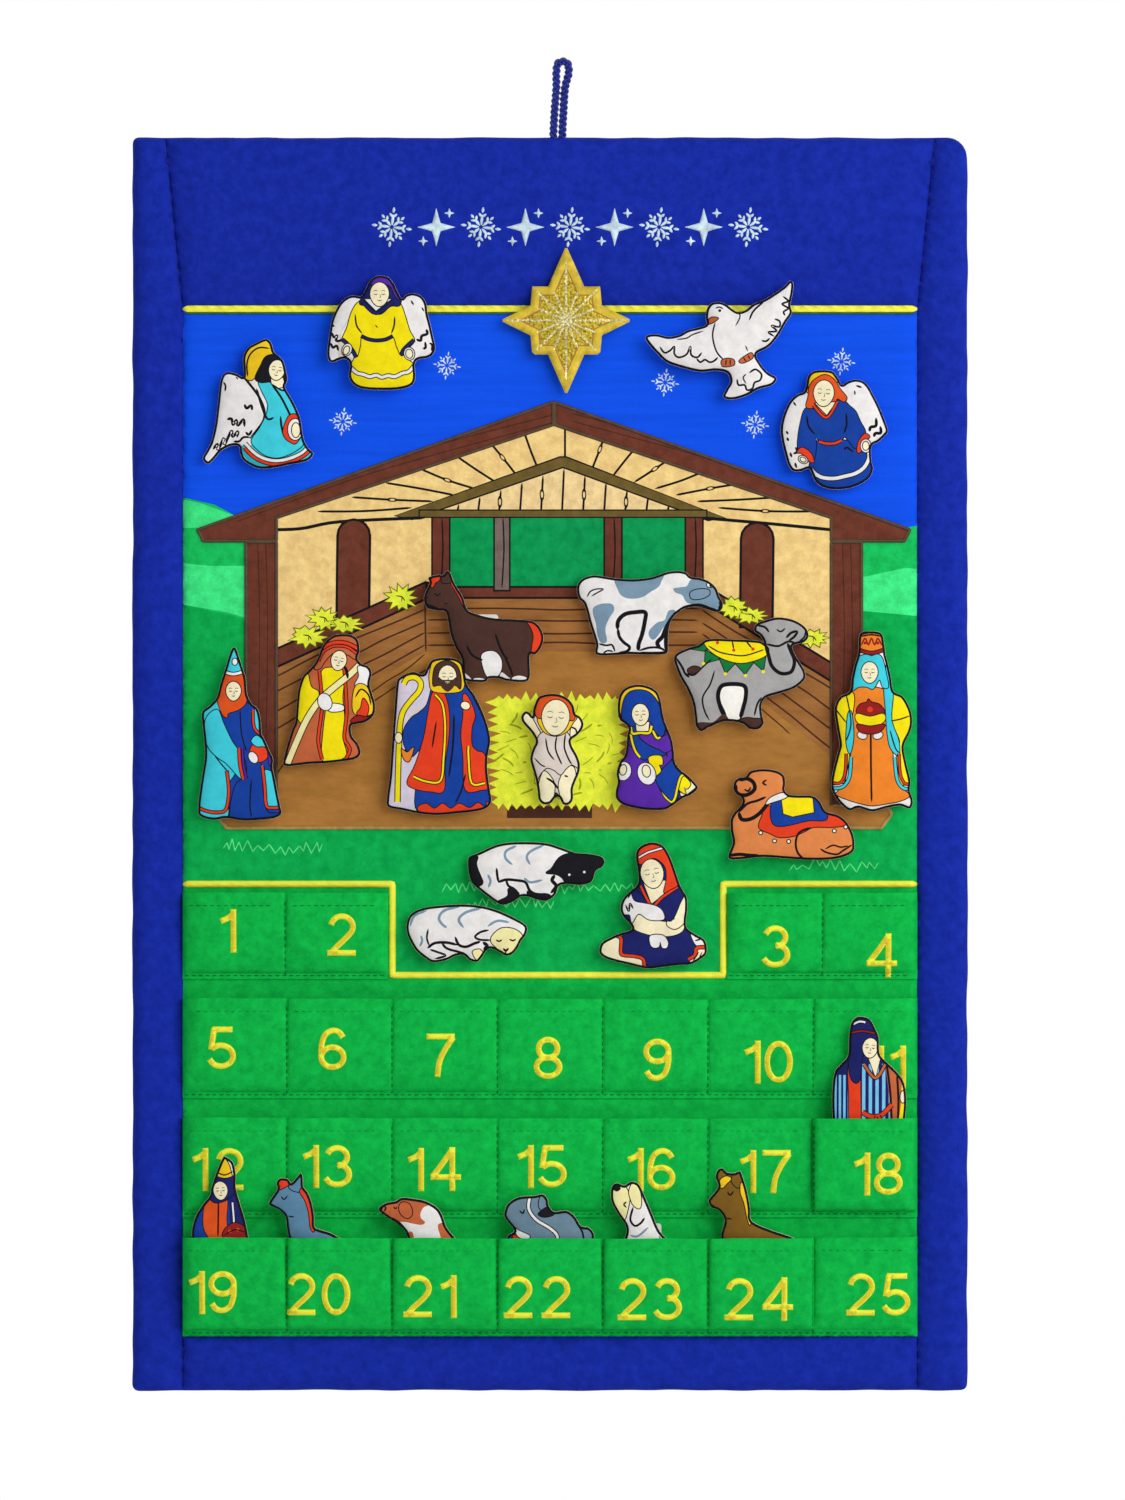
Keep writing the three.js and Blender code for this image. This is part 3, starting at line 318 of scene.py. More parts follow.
seedStride = 7.3  # keeps the noise of one seed clear of the next
mitreLimit = 0.7  # stops a sharp corner from running far out
gridLook = {"rowShare": 0.87, "clear": 0.45, "shift": 0.25}  # the points inside a cloth, in pitches
leastFloor = 0.12  # how near a cloth's inner face comes to the panel's middle plane
cordLook = {"sides": 7, "tip": 0.35, "slant": 0.8, "ridge": 0.1}
stitchLook = {"step": 0.4, "height": 0.34, "proud": 0.04, "edge": 0.02, "sunk": 0.15}


def place(x, z, out):
    return np.stack([x, -out, z], axis=1) * mm


def placeOn(points, lift=None):  # points given across, up and out, from the lift's surface if there is one
    x, z, out = np.array(points).T
    return place(x, z, lift(x, z) + out if lift else out)


def ovalRing(wide, high, count):
    return [(wide * math.cos(t), high * math.sin(t)) for t in np.linspace(0, 2 * math.pi, count, False)]


def turned(points, cx, cz, angle):
    return [(cx + x * math.cos(angle) - z * math.sin(angle), cz + x * math.sin(angle) + z * math.cos(angle))
            for x, z in points]


def evenNoise(x, z, size, seed):  # smooth noise from -1 to 1, with features of about that size
    return np.array([noise.noise((a / size, seed * seedStride, b / size)) for a, b in zip(x, z)])


def resample(loop, step, closed=True):  # the same line with points no further apart than step
    points = []
    ends = loop[1:] + loop[:1] if closed else loop[1:]
    for (ax, az), (bx, bz) in zip(loop, ends):
        count = max(1, math.ceil(math.hypot(bx - ax, bz - az) / step))
        points += [(ax + (bx - ax) * i / count, az + (bz - az) * i / count) for i in range(count)]
    return points if closed else points + [loop[-1]]


def smoothLine(points, closed=True, steps=5):  # a Catmull-Rom curve through given points
    count = len(points)
    curve = []
    for i in range(count if closed else count - 1):
        near = [(i + k) % count if closed else min(max(i + k, 0), count - 1) for k in (-1, 0, 1, 2)]
        for s in range(steps):
            t = s / steps
            curve.append(tuple(
                0.5 * (2 * b + (c - a) * t + (2 * a - 5 * b + 4 * c - d) * t * t
                       + (3 * b - a - 3 * c + d) * t ** 3)
                for a, b, c, d in zip(*(points[j] for j in near))
            ))
    return curve if closed else curve + [tuple(points[-1])]


def offsetLoop(loop, distance):  # a closed loop moved outwards, or inwards where distance is negative
    points = np.array(upright(loop))
    ahead, behind = np.roll(points, -1, 0), np.roll(points, 1, 0)
    sides = []
    for along in (ahead - points, points - behind):
        length = np.maximum(np.hypot(*along.T), 1e-6)
        sides.append(np.stack([along[:, 1], -along[:, 0]], 1) / length[:, None])
    side = sides[0] + sides[1]
    side /= np.maximum(np.sum(side * side, 1), mitreLimit)[:, None] / 2
    return [tuple(p) for p in points + side * distance]


def signedArea(loop):
    data = np.array(loop)
    ahead = np.roll(data, -1, 0)
    return np.sum(data[:, 0] * ahead[:, 1] - ahead[:, 0] * data[:, 1]) / 2


def upright(loop):  # the same loop, running anticlockwise
    return list(loop) if signedArea(loop) > 0 else list(loop)[::-1]


def joined(loops):  # the corners of all loops in one list, and each loop as places in it
    corners, faces = [], []
    for loop in loops:
        faces.append(list(range(len(corners), len(corners) + len(loop))))
        corners += [Vector(p) for p in loop]
    return corners, faces


def nearTree(points):
    tree = kdtree.KDTree(len(points))
    for i, (a, b) in enumerate(points):
        tree.insert((a, b, 0), i)
    tree.balance()
    return tree


def usedMesh(points, triangles):  # only the points in use, and every triangle anticlockwise
    used = sorted({i for tri in triangles for i in tri})
    fresh = {old: new for new, old in enumerate(used)}
    flat = np.array([points[i] for i in used])
    turning = []
    for tri in triangles:
        order = [fresh[i] for i in tri]
        a, b, c = flat[order]
        area = (b[0] - a[0]) * (c[1] - a[1]) - (c[0] - a[0]) * (b[1] - a[1])
        turning.append(order if area > 0 else order[::-1])
    return flat, turning


def triangulate(outline, prints, pitch, choose=max):  # choose names a triangle's print from those it is in
    loops = [upright(resample(loop, pitch)) for loop in [outline] + [loop for _, loop in prints]]
    corners, faces = joined(loops)
    near = nearTree(corners)
    (left, foot), (right, top) = np.min(corners, axis=0), np.max(corners, axis=0)
    for row in range(int((top - foot) / (pitch * gridLook["rowShare"])) + 1):
        z = foot + (row + 0.5) * pitch * gridLook["rowShare"]
        for col in range(int((right - left) / pitch) + 1):
            x = left + (col + gridLook["shift"] + 0.5 * (row % 2)) * pitch
            if near.find((x, z, 0))[2] > gridLook["clear"] * pitch:
                corners.append(Vector((x, z)))
    points, _, triangles, _, _, inside = geometry.delaunay_2d_cdt(corners, [], faces, 0, 1e-4, True)
    kept = [(tri, choose(ids)) for tri, ids in zip(triangles, inside) if 0 in ids]
    flat, solid = usedMesh(points, [tri for tri, _ in kept])
    return flat, solid, [region for _, region in kept]


def rimEdges(faces):  # the edges that only one face has, in that face's direction
    edges = {(face[k], face[(k + 1) % len(face)]): None for face in faces for k in range(len(face))}
    return [edge for edge in edges if edge[::-1] not in edges]


def bothSides(faces, count):  # a sheet's faces, those of its other side, and those round its rim
    behind = [tuple(i + count for i in face[::-1]) for face in faces]
    return faces + behind + [(b, a, a + count, b + count) for a, b in rimEdges(faces)]


def tubeFaces(start, rings, sides, closed=False):  # round a line of rings, with ends where it is open
    faces = []
    for i in range(rings if closed else rings - 1):
        a, b = start + i * sides, start + (i + 1) % rings * sides
        faces += [(a + s, b + s, b + (s + 1) % sides, a + (s + 1) % sides) for s in range(sides)]
    if not closed:
        faces.append(tuple(start + s for s in range(sides)))
        faces.append(tuple(start + (rings - 1) * sides + s for s in reversed(range(sides))))
    return faces


def makeObject(name, points, faces, materials, slots=None, sharp=50):
    mesh = bpy.data.meshes.new(name)
    mesh.from_pydata([tuple(p) for p in points], [], faces)
    for material in materials:
        mesh.materials.append(material)
    if slots:
        mesh.polygons.foreach_set("material_index", slots)
    mesh.update()
    thing = bpy.data.objects.new(name, mesh)
    bpy.context.collection.objects.link(thing)
    bpy.context.view_layer.objects.active = thing
    thing.select_set(True)
    bpy.ops.object.shade_smooth_by_angle(angle=math.radians(sharp))
    thing.select_set(False)
    return thing


def clothPiece(name, outline, prints, pitch, lift, thickness, material, facing=1, slide=None):
    flat, triangles, regions = triangulate(outline, prints, pitch)
    x, z = flat.T
    outer = lift(x, z)
    inner = np.maximum(outer - thickness, leastFloor)
    x, z = slide(x, z) if slide else (x, z)
    points = np.concatenate([place(x, z, outer * facing), place(x, z, inner * facing)])
    faces = bothSides(triangles, len(flat))
    slots = list(regions) + [0] * (len(faces) - len(regions))
    if facing < 0:
        faces = [tuple(face[::-1]) for face in faces]
    return makeObject(name, points, faces, [material] + [m for m, _ in prints], slots)


def onPanel(thing, *nodes):
    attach(thing, "panel")
    if nodes:
        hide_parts(*nodes)
    return thing


def sheetOn(outline):
    data = np.array(outline)
    area = abs(signedArea(outline)) * mm * mm


def satinCord(name, paths, width, height, lift, material, pitch=1.1, step=0.9, closed=False):
    points, faces, sides = [], [], cordLook["sides"]
    for path in paths:
        line = resample(list(path), step, closed)
        count, travelled = len(line), 0
        faces += tubeFaces(len(points), count, sides, closed)
        for i, (x, z) in enumerate(line):
            ax, az = line[(i - 1) % count] if closed else line[max(i - 1, 0)]
            bx, bz = line[(i + 1) % count] if closed else line[min(i + 1, count - 1)]
            length = math.hypot(bx - ax, bz - az) or 1
            nx, nz = -(bz - az) / length, (bx - ax) / length
            toEnd = min(i, count - 1 - i) / max(3, min(8, count))
            taper = 1 if closed else min(1, cordLook["tip"] + 2 * toEnd)
            for s in range(sides):
                angle = math.pi * s / (sides - 1)
                across = -math.cos(angle) * width / 2 * taper
                turn = 2 * math.pi * (travelled + across * cordLook["slant"]) / pitch
                up = math.sin(angle) * height * taper * (1 + cordLook["ridge"] * math.sin(turn))
                points.append((x + nx * across, z + nz * across, up))
            travelled += length / 2
    return makeObject(name, placeOn(points, lift), [f[::-1] for f in faces], [material], sharp=70)


def stitches(name, paths, lift, material, length=2.4, gap=1.2, width=0.5):
    points, faces = [], []
    step, high, edge = stitchLook["step"], stitchLook["height"], stitchLook["edge"]
    for path in paths:
        line = resample(list(path), step, False)
        every = max(1, round((length + gap) / step))
        for i in range(0, len(line) - every, every):
            (ax, az), (bx, bz) = line[i], line[min(i + round(length / step), len(line) - 1)]
            run = math.hypot(bx - ax, bz - az) or 1
            nx, nz = -(bz - az) / run * width / 2, (bx - ax) / run * width / 2
            faces += tubeFaces(len(points), 4, 4)
            for t, swell in ((0, 0.25), (0.25, 1), (0.75, 1), (1, 0.25)):
                x, z = ax + (bx - ax) * t, az + (bz - az) * t
                points += [(x + nx * swell, z + nz * swell, edge),
                           (x, z, high * swell + stitchLook["proud"]),
                           (x - nx * swell, z - nz * swell, edge), (x, z, -stitchLook["sunk"])]
    return makeObject(name, placeOn(points, lift), [f[::-1] for f in faces], [material], sharp=70)


print("stage: hanging loop")

loopLook = {
    "strands": 3, "sway": 1.2, "depth": 0.55, "strandRadius": 1.02, "braidLength": 8.5, "diameter": 4.0,
    "sides": 8, "step": 0.34,
}
loopRoute = [  # across and up in millimetres, from inside the header, round, and back into it
    (-4.8, -46), (-4.8, -37), (-4.175, -24), (-3.2375, -11), (-3.2, -3.2), (-2.37, 1.09), (0, 2),
    (2.37, 1.09), (3.2, -3.2), (1.3625, -11), (0.425, -24), (-0.2, -37), (-0.2, -46),
]


def cordCurve(points):  # a centripetal Catmull-Rom curve, in steps of a third of a millimetre
    ends = [np.array(p, float) for p in points]
    ends = [2 * ends[0] - ends[1]] + ends + [2 * ends[-1] - ends[-2]]
    curve = []
    for a, b, c, d in zip(ends, ends[1:], ends[2:], ends[3:]):
        before, here, after = (np.linalg.norm(q - p) ** 0.5 for p, q in ((a, b), (b, c), (c, d)))
        leave = ((b - a) / before - (c - a) / (before + here) + (c - b) / here) * here
        arrive = ((c - b) / here - (d - b) / (here + after) + (d - c) / after) * here
        for t in np.linspace(0, 1, 12, endpoint=False):
            curve.append(b * (1 - 3 * t * t + 2 * t ** 3) + leave * (t - 2 * t * t + t ** 3)
                         + c * (3 * t * t - 2 * t ** 3) + arrive * (t ** 3 - t * t))
    curve = np.array(curve + [ends[-2]])
    travelled = np.concatenate([[0], np.cumsum(np.hypot(*np.diff(curve, axis=0).T))])
    even = np.linspace(0, travelled[-1], int(travelled[-1] / loopLook["step"]))
    return np.stack([np.interp(even, travelled, curve[:, k]) for k in (0, 1)], 1), even


def hangingLoop():
    line, travelled = cordCurve(loopRoute)
    along = np.gradient(line, travelled, axis=0)
    across = np.stack([-along[:, 1], along[:, 0]], 1) / np.hypot(*along.T)[:, None]
    points, faces, sides = [], [], loopLook["sides"]
    for strand in range(loopLook["strands"]):
        turn = 2 * math.pi * (travelled / loopLook["braidLength"] + strand / loopLook["strands"])
        sway, depth = loopLook["sway"] * np.sin(turn), loopLook["depth"] * np.sin(2 * turn)
        faces += tubeFaces(len(points), len(line), sides)
        for i in range(len(line)):
            for s in range(sides):
                angle = 2 * math.pi * s / sides
                side = sway[i] + loopLook["strandRadius"] * math.cos(angle)
                x, z = line[i] + across[i] * side
                points.append((x, z, depth[i] + loopLook["strandRadius"] * math.sin(angle)))
    loop = makeObject("hanging_loop_braid", placeOn(points), faces, [threads["braid"]], sharp=70)
    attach(loop, "panel")
    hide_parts("hanging_loop")
    path = [tuple(p) for p in place(line[::4, 0], line[::4, 1], 0 * line[::4, 0])]


hangingLoop()

print("stage: panel cloths")

borderLook = {
    "edgeReach": 8.5, "rim": 0.3, "seamDip": 1.5, "seamReach": 5.0, "seamCut": 1.3, "cutReach": 1.1,
    "crown": 2.08, "crownReach": 9.0, "puckerDepth": 0.6, "puckerLength": 7.0, "puckerReach": 9.0,
    "wave": 0.8, "edgeWave": 0.36, "clothThickness": 0.6, "pitch": 2.2,
}
fieldLook = {"sink": 0.25, "dipShare": 0.6, "wave": 0.14, "puckerShare": 0.3}
backLook = {
    "sink": 0.3, "wave": 0.35, "pucker": 0.3, "puckerReach": 7.0, "channels": (8, 20), "channelDip": 0.5,
    "channelReach": 2.0,
}
seamLook = {"aside": 0.5, "toEdge": 3, "toCorner": 1, "frameInset": 6}
seamTopInset = 9.0  # the side seams lean outwards by this much at the top edge
cornerRadius = {"left": 4.0, "right": 11.0}


def seamX(side, z):  # where a side seam runs at a height
    edge = field["left"] if side < 0 else field["right"]
    rise = np.clip((z - header["foot"]) / (header["top"] - header["foot"]), 0, 1)
    return edge + side * seamTopInset * rise


def edgeDistance(x, z):  # from the panel's outer edge, with the upper right corner rounded
    right, top = panel["right"] - x, panel["top"] - z
    inner = np.minimum.reduce([x - panel["left"], right, top, z - panel["foot"]])
    radius = cornerRadius["right"]
    corner = (right < radius) & (top < radius)
    return np.where(corner, np.minimum(inner, radius - np.hypot(radius - right, radius - top)), inner)


def seamDistance(x, z):
    left, right = np.abs(x - seamX(-1, z)), np.abs(x - seamX(1, z))
    within = (x > field["left"]) & (x < field["right"])
    across = np.where(within, np.minimum(np.abs(z - header["foot"]), np.abs(z - field["foot"])), 99)
    return np.minimum.reduce([left, right, across])


def roundedEdge(x, z):  # how far in from the edge, from 0 to 1, and half the panel's thickness there
    edge = np.clip(edgeDistance(x, z) / borderLook["edgeReach"], 0, 1)
    return edge, borderLook["rim"] + (front - borderLook["rim"]) * np.sqrt(1 - (1 - edge) ** 2)


def panelLift(x, z):  # the front cloth's face
    x, z = np.asarray(x, float), np.asarray(z, float)
    edge, rounded = roundedEdge(x, z)
    seam = seamDistance(x, z)
    border = (x < seamX(-1, z)) | (x > seamX(1, z)) | (z > header["foot"]) | (z < field["foot"])
    dip = borderLook["seamDip"] * np.exp(-((seam / borderLook["seamReach"]) ** 2))
    cut = borderLook["seamCut"] * np.exp(-((seam / borderLook["cutReach"]) ** 2))
    crown = borderLook["crown"] * (1 - np.exp(-seam / borderLook["crownReach"])) * edge**0.5
    pucker = np.sin(2 * math.pi * (x + z + 3 * evenNoise(x, z, 22, 1)) / borderLook["puckerLength"])
    near = np.exp(-np.minimum(seam, edgeDistance(x, z)) / borderLook["puckerReach"])
    wave = evenNoise(x, z, 46, 2) + 0.6 * evenNoise(x, z, 17, 3) + 0.25 * evenNoise(x, z, 7, 4)
    inField = rounded - fieldLook["sink"] - fieldLook["dipShare"] * dip - cut + fieldLook["wave"] * wave
    onBorder = rounded - dip - cut + crown + borderLook["wave"] * wave * (0.35 + 0.65 * edge)
    share = borderLook["puckerDepth"] * pucker * near * edge
    lift = np.where(border, onBorder + share, inField + fieldLook["puckerShare"] * share)
    return np.maximum(lift, borderLook["rim"])


def backLift(x, z):
    x, z = np.asarray(x, float), np.asarray(z, float)
    edge, rounded = roundedEdge(x, z)
    pucker = np.sin(2 * math.pi * (x - z) / borderLook["puckerLength"] + 2 * evenNoise(x, z, 30, 5))
    wave = evenNoise(x, z, 60, 6) + 0.5 * evenNoise(x, z, 20, 7)
    near = np.exp(-edgeDistance(x, z) / backLook["puckerReach"])
    down = [(panel["top"] - z - drop) / backLook["channelReach"] for drop in backLook["channels"]]
    dips = backLook["channelDip"] * sum(np.exp(-(gap**2)) for gap in down) * edge
    soft = backLook["wave"] * wave * edge + backLook["pucker"] * pucker * near * edge
    return np.maximum(rounded - backLook["sink"] + soft - dips, borderLook["rim"])


def turnCorner(x, z, radius, start):  # a quarter circle's points, start in quarter turns
    turns = [math.pi / 2 * (start + i / 5) for i in range(6)]
    return [(x + radius * math.cos(a), z + radius * math.sin(a)) for a in turns]


def panelOutline():
    left, right, top, foot = panel["left"], panel["right"], panel["top"], panel["foot"]
    far, near = cornerRadius["right"], cornerRadius["left"]
    topRight = turnCorner(right - far, top - far, far, 0)
    topLeft = turnCorner(left + near, top - near, near, 1)
    footLeft = turnCorner(left + near, foot + near, near, 2)
    footRight = turnCorner(right - near, foot + near, near, 3)
    return topRight, topLeft, footLeft, footRight


def waveEdge(x, z):  # the sewn outer edge is never quite straight, and both cloths follow it
    inward = borderLook["edgeWave"] * (1 + np.clip(1.6 * evenNoise(x, z, 16, 21), -1, 1))
    left, right, foot, top = (
        np.clip(1 - distance / borderLook["edgeReach"], 0, 1)
        for distance in (x - panel["left"], panel["right"] - x, z - panel["foot"], panel["top"] - z)
    )
    return x + inward * (left - right), z + inward * (foot - top)


def panelCloths():
    topRight, topLeft, footLeft, footRight = panelOutline()
    foot, top = panel["foot"], panel["top"]
    seams = {side: [(float(seamX(side, z)), z) for z in (foot, header["foot"], top)] for side in (-1, 1)}
    outlines = {
        "left_border": footLeft + [seams[-1][0], seams[-1][1], seams[-1][2]] + topLeft,
        "right_border": [seams[1][0]] + footRight + topRight + [seams[1][2], seams[1][1]],
        "header_panel": [seams[-1][1], seams[1][1], seams[1][2], seams[-1][2]],
        "bottom_border": [seams[-1][0], seams[1][0], (field["right"], field["foot"]),
                          (field["left"], field["foot"])],
    }
    for node, outline in outlines.items():
        piece = clothPiece(
            node + "_cloth", outline, [], borderLook["pitch"], panelLift, borderLook["clothThickness"],
            cloths["royal"], slide=waveEdge,
        )
        onPanel(piece, node)
        sheetOn(outline)
    whole = topRight + topLeft + footLeft + footRight
    back = clothPiece(
        "back_cloth", whole, [], borderLook["pitch"], backLift, borderLook["clothThickness"],
        cloths["backing"], facing=-1, slide=waveEdge,
    )
    onPanel(back, "back_panel")
    sheetOn(whole)
    runs = ((top - seamLook["toEdge"], header["foot"] + seamLook["toCorner"]),
            (field["foot"], foot + seamLook["toEdge"]))
    paths = [[(float(seamX(side, z)) + side * seamLook["aside"], z) for z in ends]
             for side in (-1, 1) for ends in runs]
    thread = stitches(
        "border_seam_thread", paths, panelLift, threads["blueSeam"], length=2.6, gap=1.0, width=0.6
    )
    onPanel(thread)
    inset = seamLook["frameInset"]
    left, right = panel["left"] + inset, panel["right"] - inset
    channels = [[(left, top - drop), (right, top - drop)] for drop in backLook["channels"]]
    frameRun = [(left, top - inset), (left, foot + inset), (right, foot + inset), (right, top - inset)]
    sewn = stitches("back_stitching", channels + [frameRun], backLift, threads["blueSeam"])
    for vertex in sewn.data.vertices:
        vertex.co.y = -vertex.co.y
    sewn.data.flip_normals()
    onPanel(sewn)


wadding = {
    "inset": 1.6, "corner": 4.0, "pitch": 4.0, "frontGap": 1.7, "backGap": 1.1, "seamGap": 1.3,
    "seamReach": 5.0, "least": 0.1,
}


def waddingPad():  # its lower corners are cut off, clear of the cloths' seam
    box, corner, inset = span("wadding"), wadding["corner"], wadding["inset"]
    left, right, foot, top = box["left"] + inset, box["right"] - inset, box["foot"] + inset, box["top"]
    outline = [(left + corner, foot), (right - corner, foot), (right, foot + corner), (right, top),
               (left, top), (left, foot + corner)]
    flat, triangles, _ = triangulate(outline, [], wadding["pitch"])
    x, z = flat.T
    seamGap = wadding["seamGap"] * np.exp(-((seamDistance(x, z) / wadding["seamReach"]) ** 2))
    outer = np.maximum(panelLift(x, z) - wadding["frontGap"] - seamGap, wadding["least"])
    inner = np.minimum(wadding["backGap"] - backLift(x, z), -wadding["least"])
    points = np.concatenate([place(x, z, outer), place(x, z, inner)])
    pad = makeObject("wadding_pad", points, bothSides(triangles, len(flat)), [cloths["wadding"]])
    onPanel(pad, "wadding")


sleeveLook = {"stations": 140, "sides": 28, "clearance": 0.12, "skin": 0.06, "fold": 0.05}


def rodAndSleeve():
    rod, sleeve = span("stiffening_rod"), span("rod_sleeve")
    paint = woodGrain("paleRodWood", "D8B98A")
    for slot in bpy.data.objects["stiffening_rod"].material_slots:
        slot.material = paint
    radius = (sleeve["top"] - sleeve["foot"]) / 2
    middle = (sleeve["top"] + sleeve["foot"]) / 2
    rodRadius = (rod["top"] - rod["foot"]) / 2
    points, sides = [], sleeveLook["sides"]
    stations = np.linspace(sleeve["left"], sleeve["right"], sleeveLook["stations"])
    for wall in (radius, rodRadius + sleeveLook["clearance"]):
        for x in stations:
            for s in range(sides):
                angle = 2 * math.pi * s / sides
                fold = sleeveLook["fold"] * math.sin(x / 3 + 5 * angle) if wall == radius else 0
                reach = wall - sleeveLook["skin"] + fold
                points.append((x, middle + reach * math.cos(angle), reach * math.sin(angle)))
    quads = []
    for i in range(len(stations) - 1):
        for s in range(sides):
            a, b = i * sides + s, i * sides + (s + 1) % sides
            quads.append((a, b, b + sides, a + sides))
    faces = bothSides(quads, len(stations) * sides)
    tube = makeObject("rod_sleeve_cloth", placeOn(points), faces, [cloths["backing"]])
    tube.select_set(True)
    bpy.ops.object.mode_set(mode="EDIT")
    bpy.ops.mesh.select_all(action="SELECT")
    bpy.ops.mesh.normals_make_consistent(inside=False)
    bpy.ops.object.mode_set(mode="OBJECT")
    tube.select_set(False)
    onPanel(tube, "rod_sleeve")


panelCloths()
waddingPad()
rodAndSleeve()

print("stage: sky, hills and meadow")


def spot(px, py):  # a point of the photograph on the panel
    scale = (panel["right"] - panel["left"]) / photo["panelWidth"]
    x = centreX + (px - photo["panelCentreX"]) * scale
    return (x, centreZ - (py - photo["panelCentreY"]) * scale)


def spots(*pairs):
    return [spot(px, py) for px, py in pairs]


meadowGap = 0.2
stepGap = 0.3  # between the meadow and the pocket ground below it
meadowSteps = spots((188, 882), (391, 882), (391, 973), (721, 973), (721, 882), (915, 882))
groundLook = {"scenePitch": 2.6, "pocketPitch": 3.4}


def sceneCloth():
    left, right = meadow["left"] + meadowGap, meadow["right"] - meadowGap
    top = meadow["top"] - meadowGap
    outline = [(left, top), (left, meadowSteps[0][1]), *meadowSteps[1:5], (right, meadowSteps[5][1]),
               (right, top)]
    hills = [
        ("hillMid", spots((150, 490), (215, 505), (262, 530), (300, 545), (300, 700), (150, 700))),
        ("hill", spots((150, 560), (210, 566), (262, 566), (262, 622), (225, 612), (190, 606), (150, 598))),
        ("meadow", spots((150, 598), (190, 606), (232, 616), (262, 622), (330, 700), (150, 720))),
        ("hill", spots((150, 493), (200, 503), (238, 517), (205, 528), (185, 528), (150, 532))),
        ("hillMid", spots((840, 540), (975, 515), (975, 700), (840, 700))),
        ("hill", spots((850, 580), (905, 568), (975, 574), (975, 622), (905, 615), (850, 610))),
        ("meadow", spots((850, 610), (905, 615), (975, 622), (975, 720), (820, 720))),
        ("meadow", spots((140, 690), (980, 690), (980, 1000), (140, 1000))),
    ]
    prints = [(cloths[name], loop) for name, loop in hills]
    piece = clothPiece("sky_and_meadow_cloth", outline, prints, groundLook["scenePitch"], panelLift,
                       borderLook["clothThickness"], cloths["sky"])
    onPanel(piece, "scene_cloth")
    sheetOn(outline)


def pocketGround():
    ground = span("pocket_ground")
    left, right = ground["left"] + meadowGap, ground["right"] - meadowGap
    foot = ground["foot"] + meadowGap
    inner = [(x + aside * stepGap, z - stepGap)
             for (x, z), aside in zip(meadowSteps[4:0:-1], (1, 1, -1, -1))]
    outline = [(left, foot), (right, foot), (right, meadowSteps[5][1] - stepGap), *inner,
               (left, meadowSteps[0][1] - stepGap)]
    piece = clothPiece("pocket_ground_cloth", outline, [], groundLook["pocketPitch"], panelLift,
                       borderLook["clothThickness"], cloths["pocket"])
    onPanel(piece, "pocket_ground")
    sheetOn(outline)


sceneCloth()
pocketGround()

print("stage: stable")

stable = {
    "patchThickness": 0.45, "patchLift": 0.55, "pitch": 2.4, "edgingWidth": 1.8, "edgingHeight": 0.75,
    "edgingLift": 0.45, "edgingInset": 0.2, "inkWidth": 1.1, "grainWave": 1.6,
}
strokeLook = {"step": 1.2, "tip": 0.3, "tipPoints": 3}
roof = {"middle": 565, "head": 318, "footShare": 0.62}  # pixels of the photograph


def patchLift(x, z):
    return panelLift(x, z) + stable["patchLift"]


def edgingLift(x, z):
    return panelLift(x, z) + stable["edgingLift"]


def outlineOf(node):  # the outline of a flat CAD patch, from its front face
    mesh = bpy.data.objects[node].data
    out = max(-v.co.y for v in mesh.vertices)
    numbers, triangles = {}, []
    for polygon in mesh.polygons:
        corners = [mesh.vertices[i].co for i in polygon.vertices]
        if all(-c.y > out - 1e-5 for c in corners):
            keys = [(round(c.x / mm, 2), round(c.z / mm, 2)) for c in corners]
            triangles.append([numbers.setdefault(k, len(numbers)) for k in keys])
    points = list(numbers)
    after = dict(rimEdges(triangles))
    start = next(iter(after))
    loop, at = [], start
    while True:
        loop.append(points[at])
        at = after[at]
        if at == start:
            return loop


def strokeLoop(points, width, blunt=False):  # a thin printed line as a closed band
    data = np.array(resample(smoothLine(points, closed=False), strokeLook["step"], False))
    along = np.gradient(data, axis=0)
    side = np.stack([-along[:, 1], along[:, 0]], 1) / np.maximum(np.hypot(*along.T), 1e-6)[:, None]
    rank = np.arange(len(data))
    toEnd = np.minimum(rank, rank[::-1]) / strokeLook["tipPoints"]
    taper = np.minimum(1, strokeLook["tip"] + blunt + toEnd)[:, None]
    left, right = data + side * width / 2 * taper, data - side * width / 2 * taper
    return [tuple(p) for p in left] + [tuple(p) for p in right[::-1]]


def inked(colour, loop, width=None):
    return [("ink", offsetLoop(loop, width or stable["inkWidth"])), (colour, loop)]


def drawn(*pairs, width=stable["inkWidth"], colour="ink"):
    return [(colour, strokeLoop(spots(*pairs), width))]


def knot(px, py, wide, high, turn=0.0, ground="wall"):  # a printed eye in a board
    rings = [turned(ovalRing(wide * share, high * share, 10), px, py, turn) for share in (1, 0.5)]
    return [("ink", spots(*rings[0])), (ground, spots(*rings[1]))]


def boardLine(ax, ay, bx, by, width, seed):  # one wandering line of a plank
    pairs = []
    for t in np.linspace(0, 1, 9):
        sway = stable["grainWave"] * noise.noise((seed * 3.7, t * 3, 2)) * 2
        pairs.append((ax + (bx - ax) * t, ay + (by - ay) * t + sway))
    return [("timberDark", strokeLoop(spots(*pairs), width))]


def archedDoor(px, footY, topY, half):
    arch = [(px + half * math.cos(a), topY + half - half * math.sin(a))
            for a in np.linspace(math.pi, 0, 9)]
    return spots((px - half - 1, footY), *arch, (px + half - 1, footY))


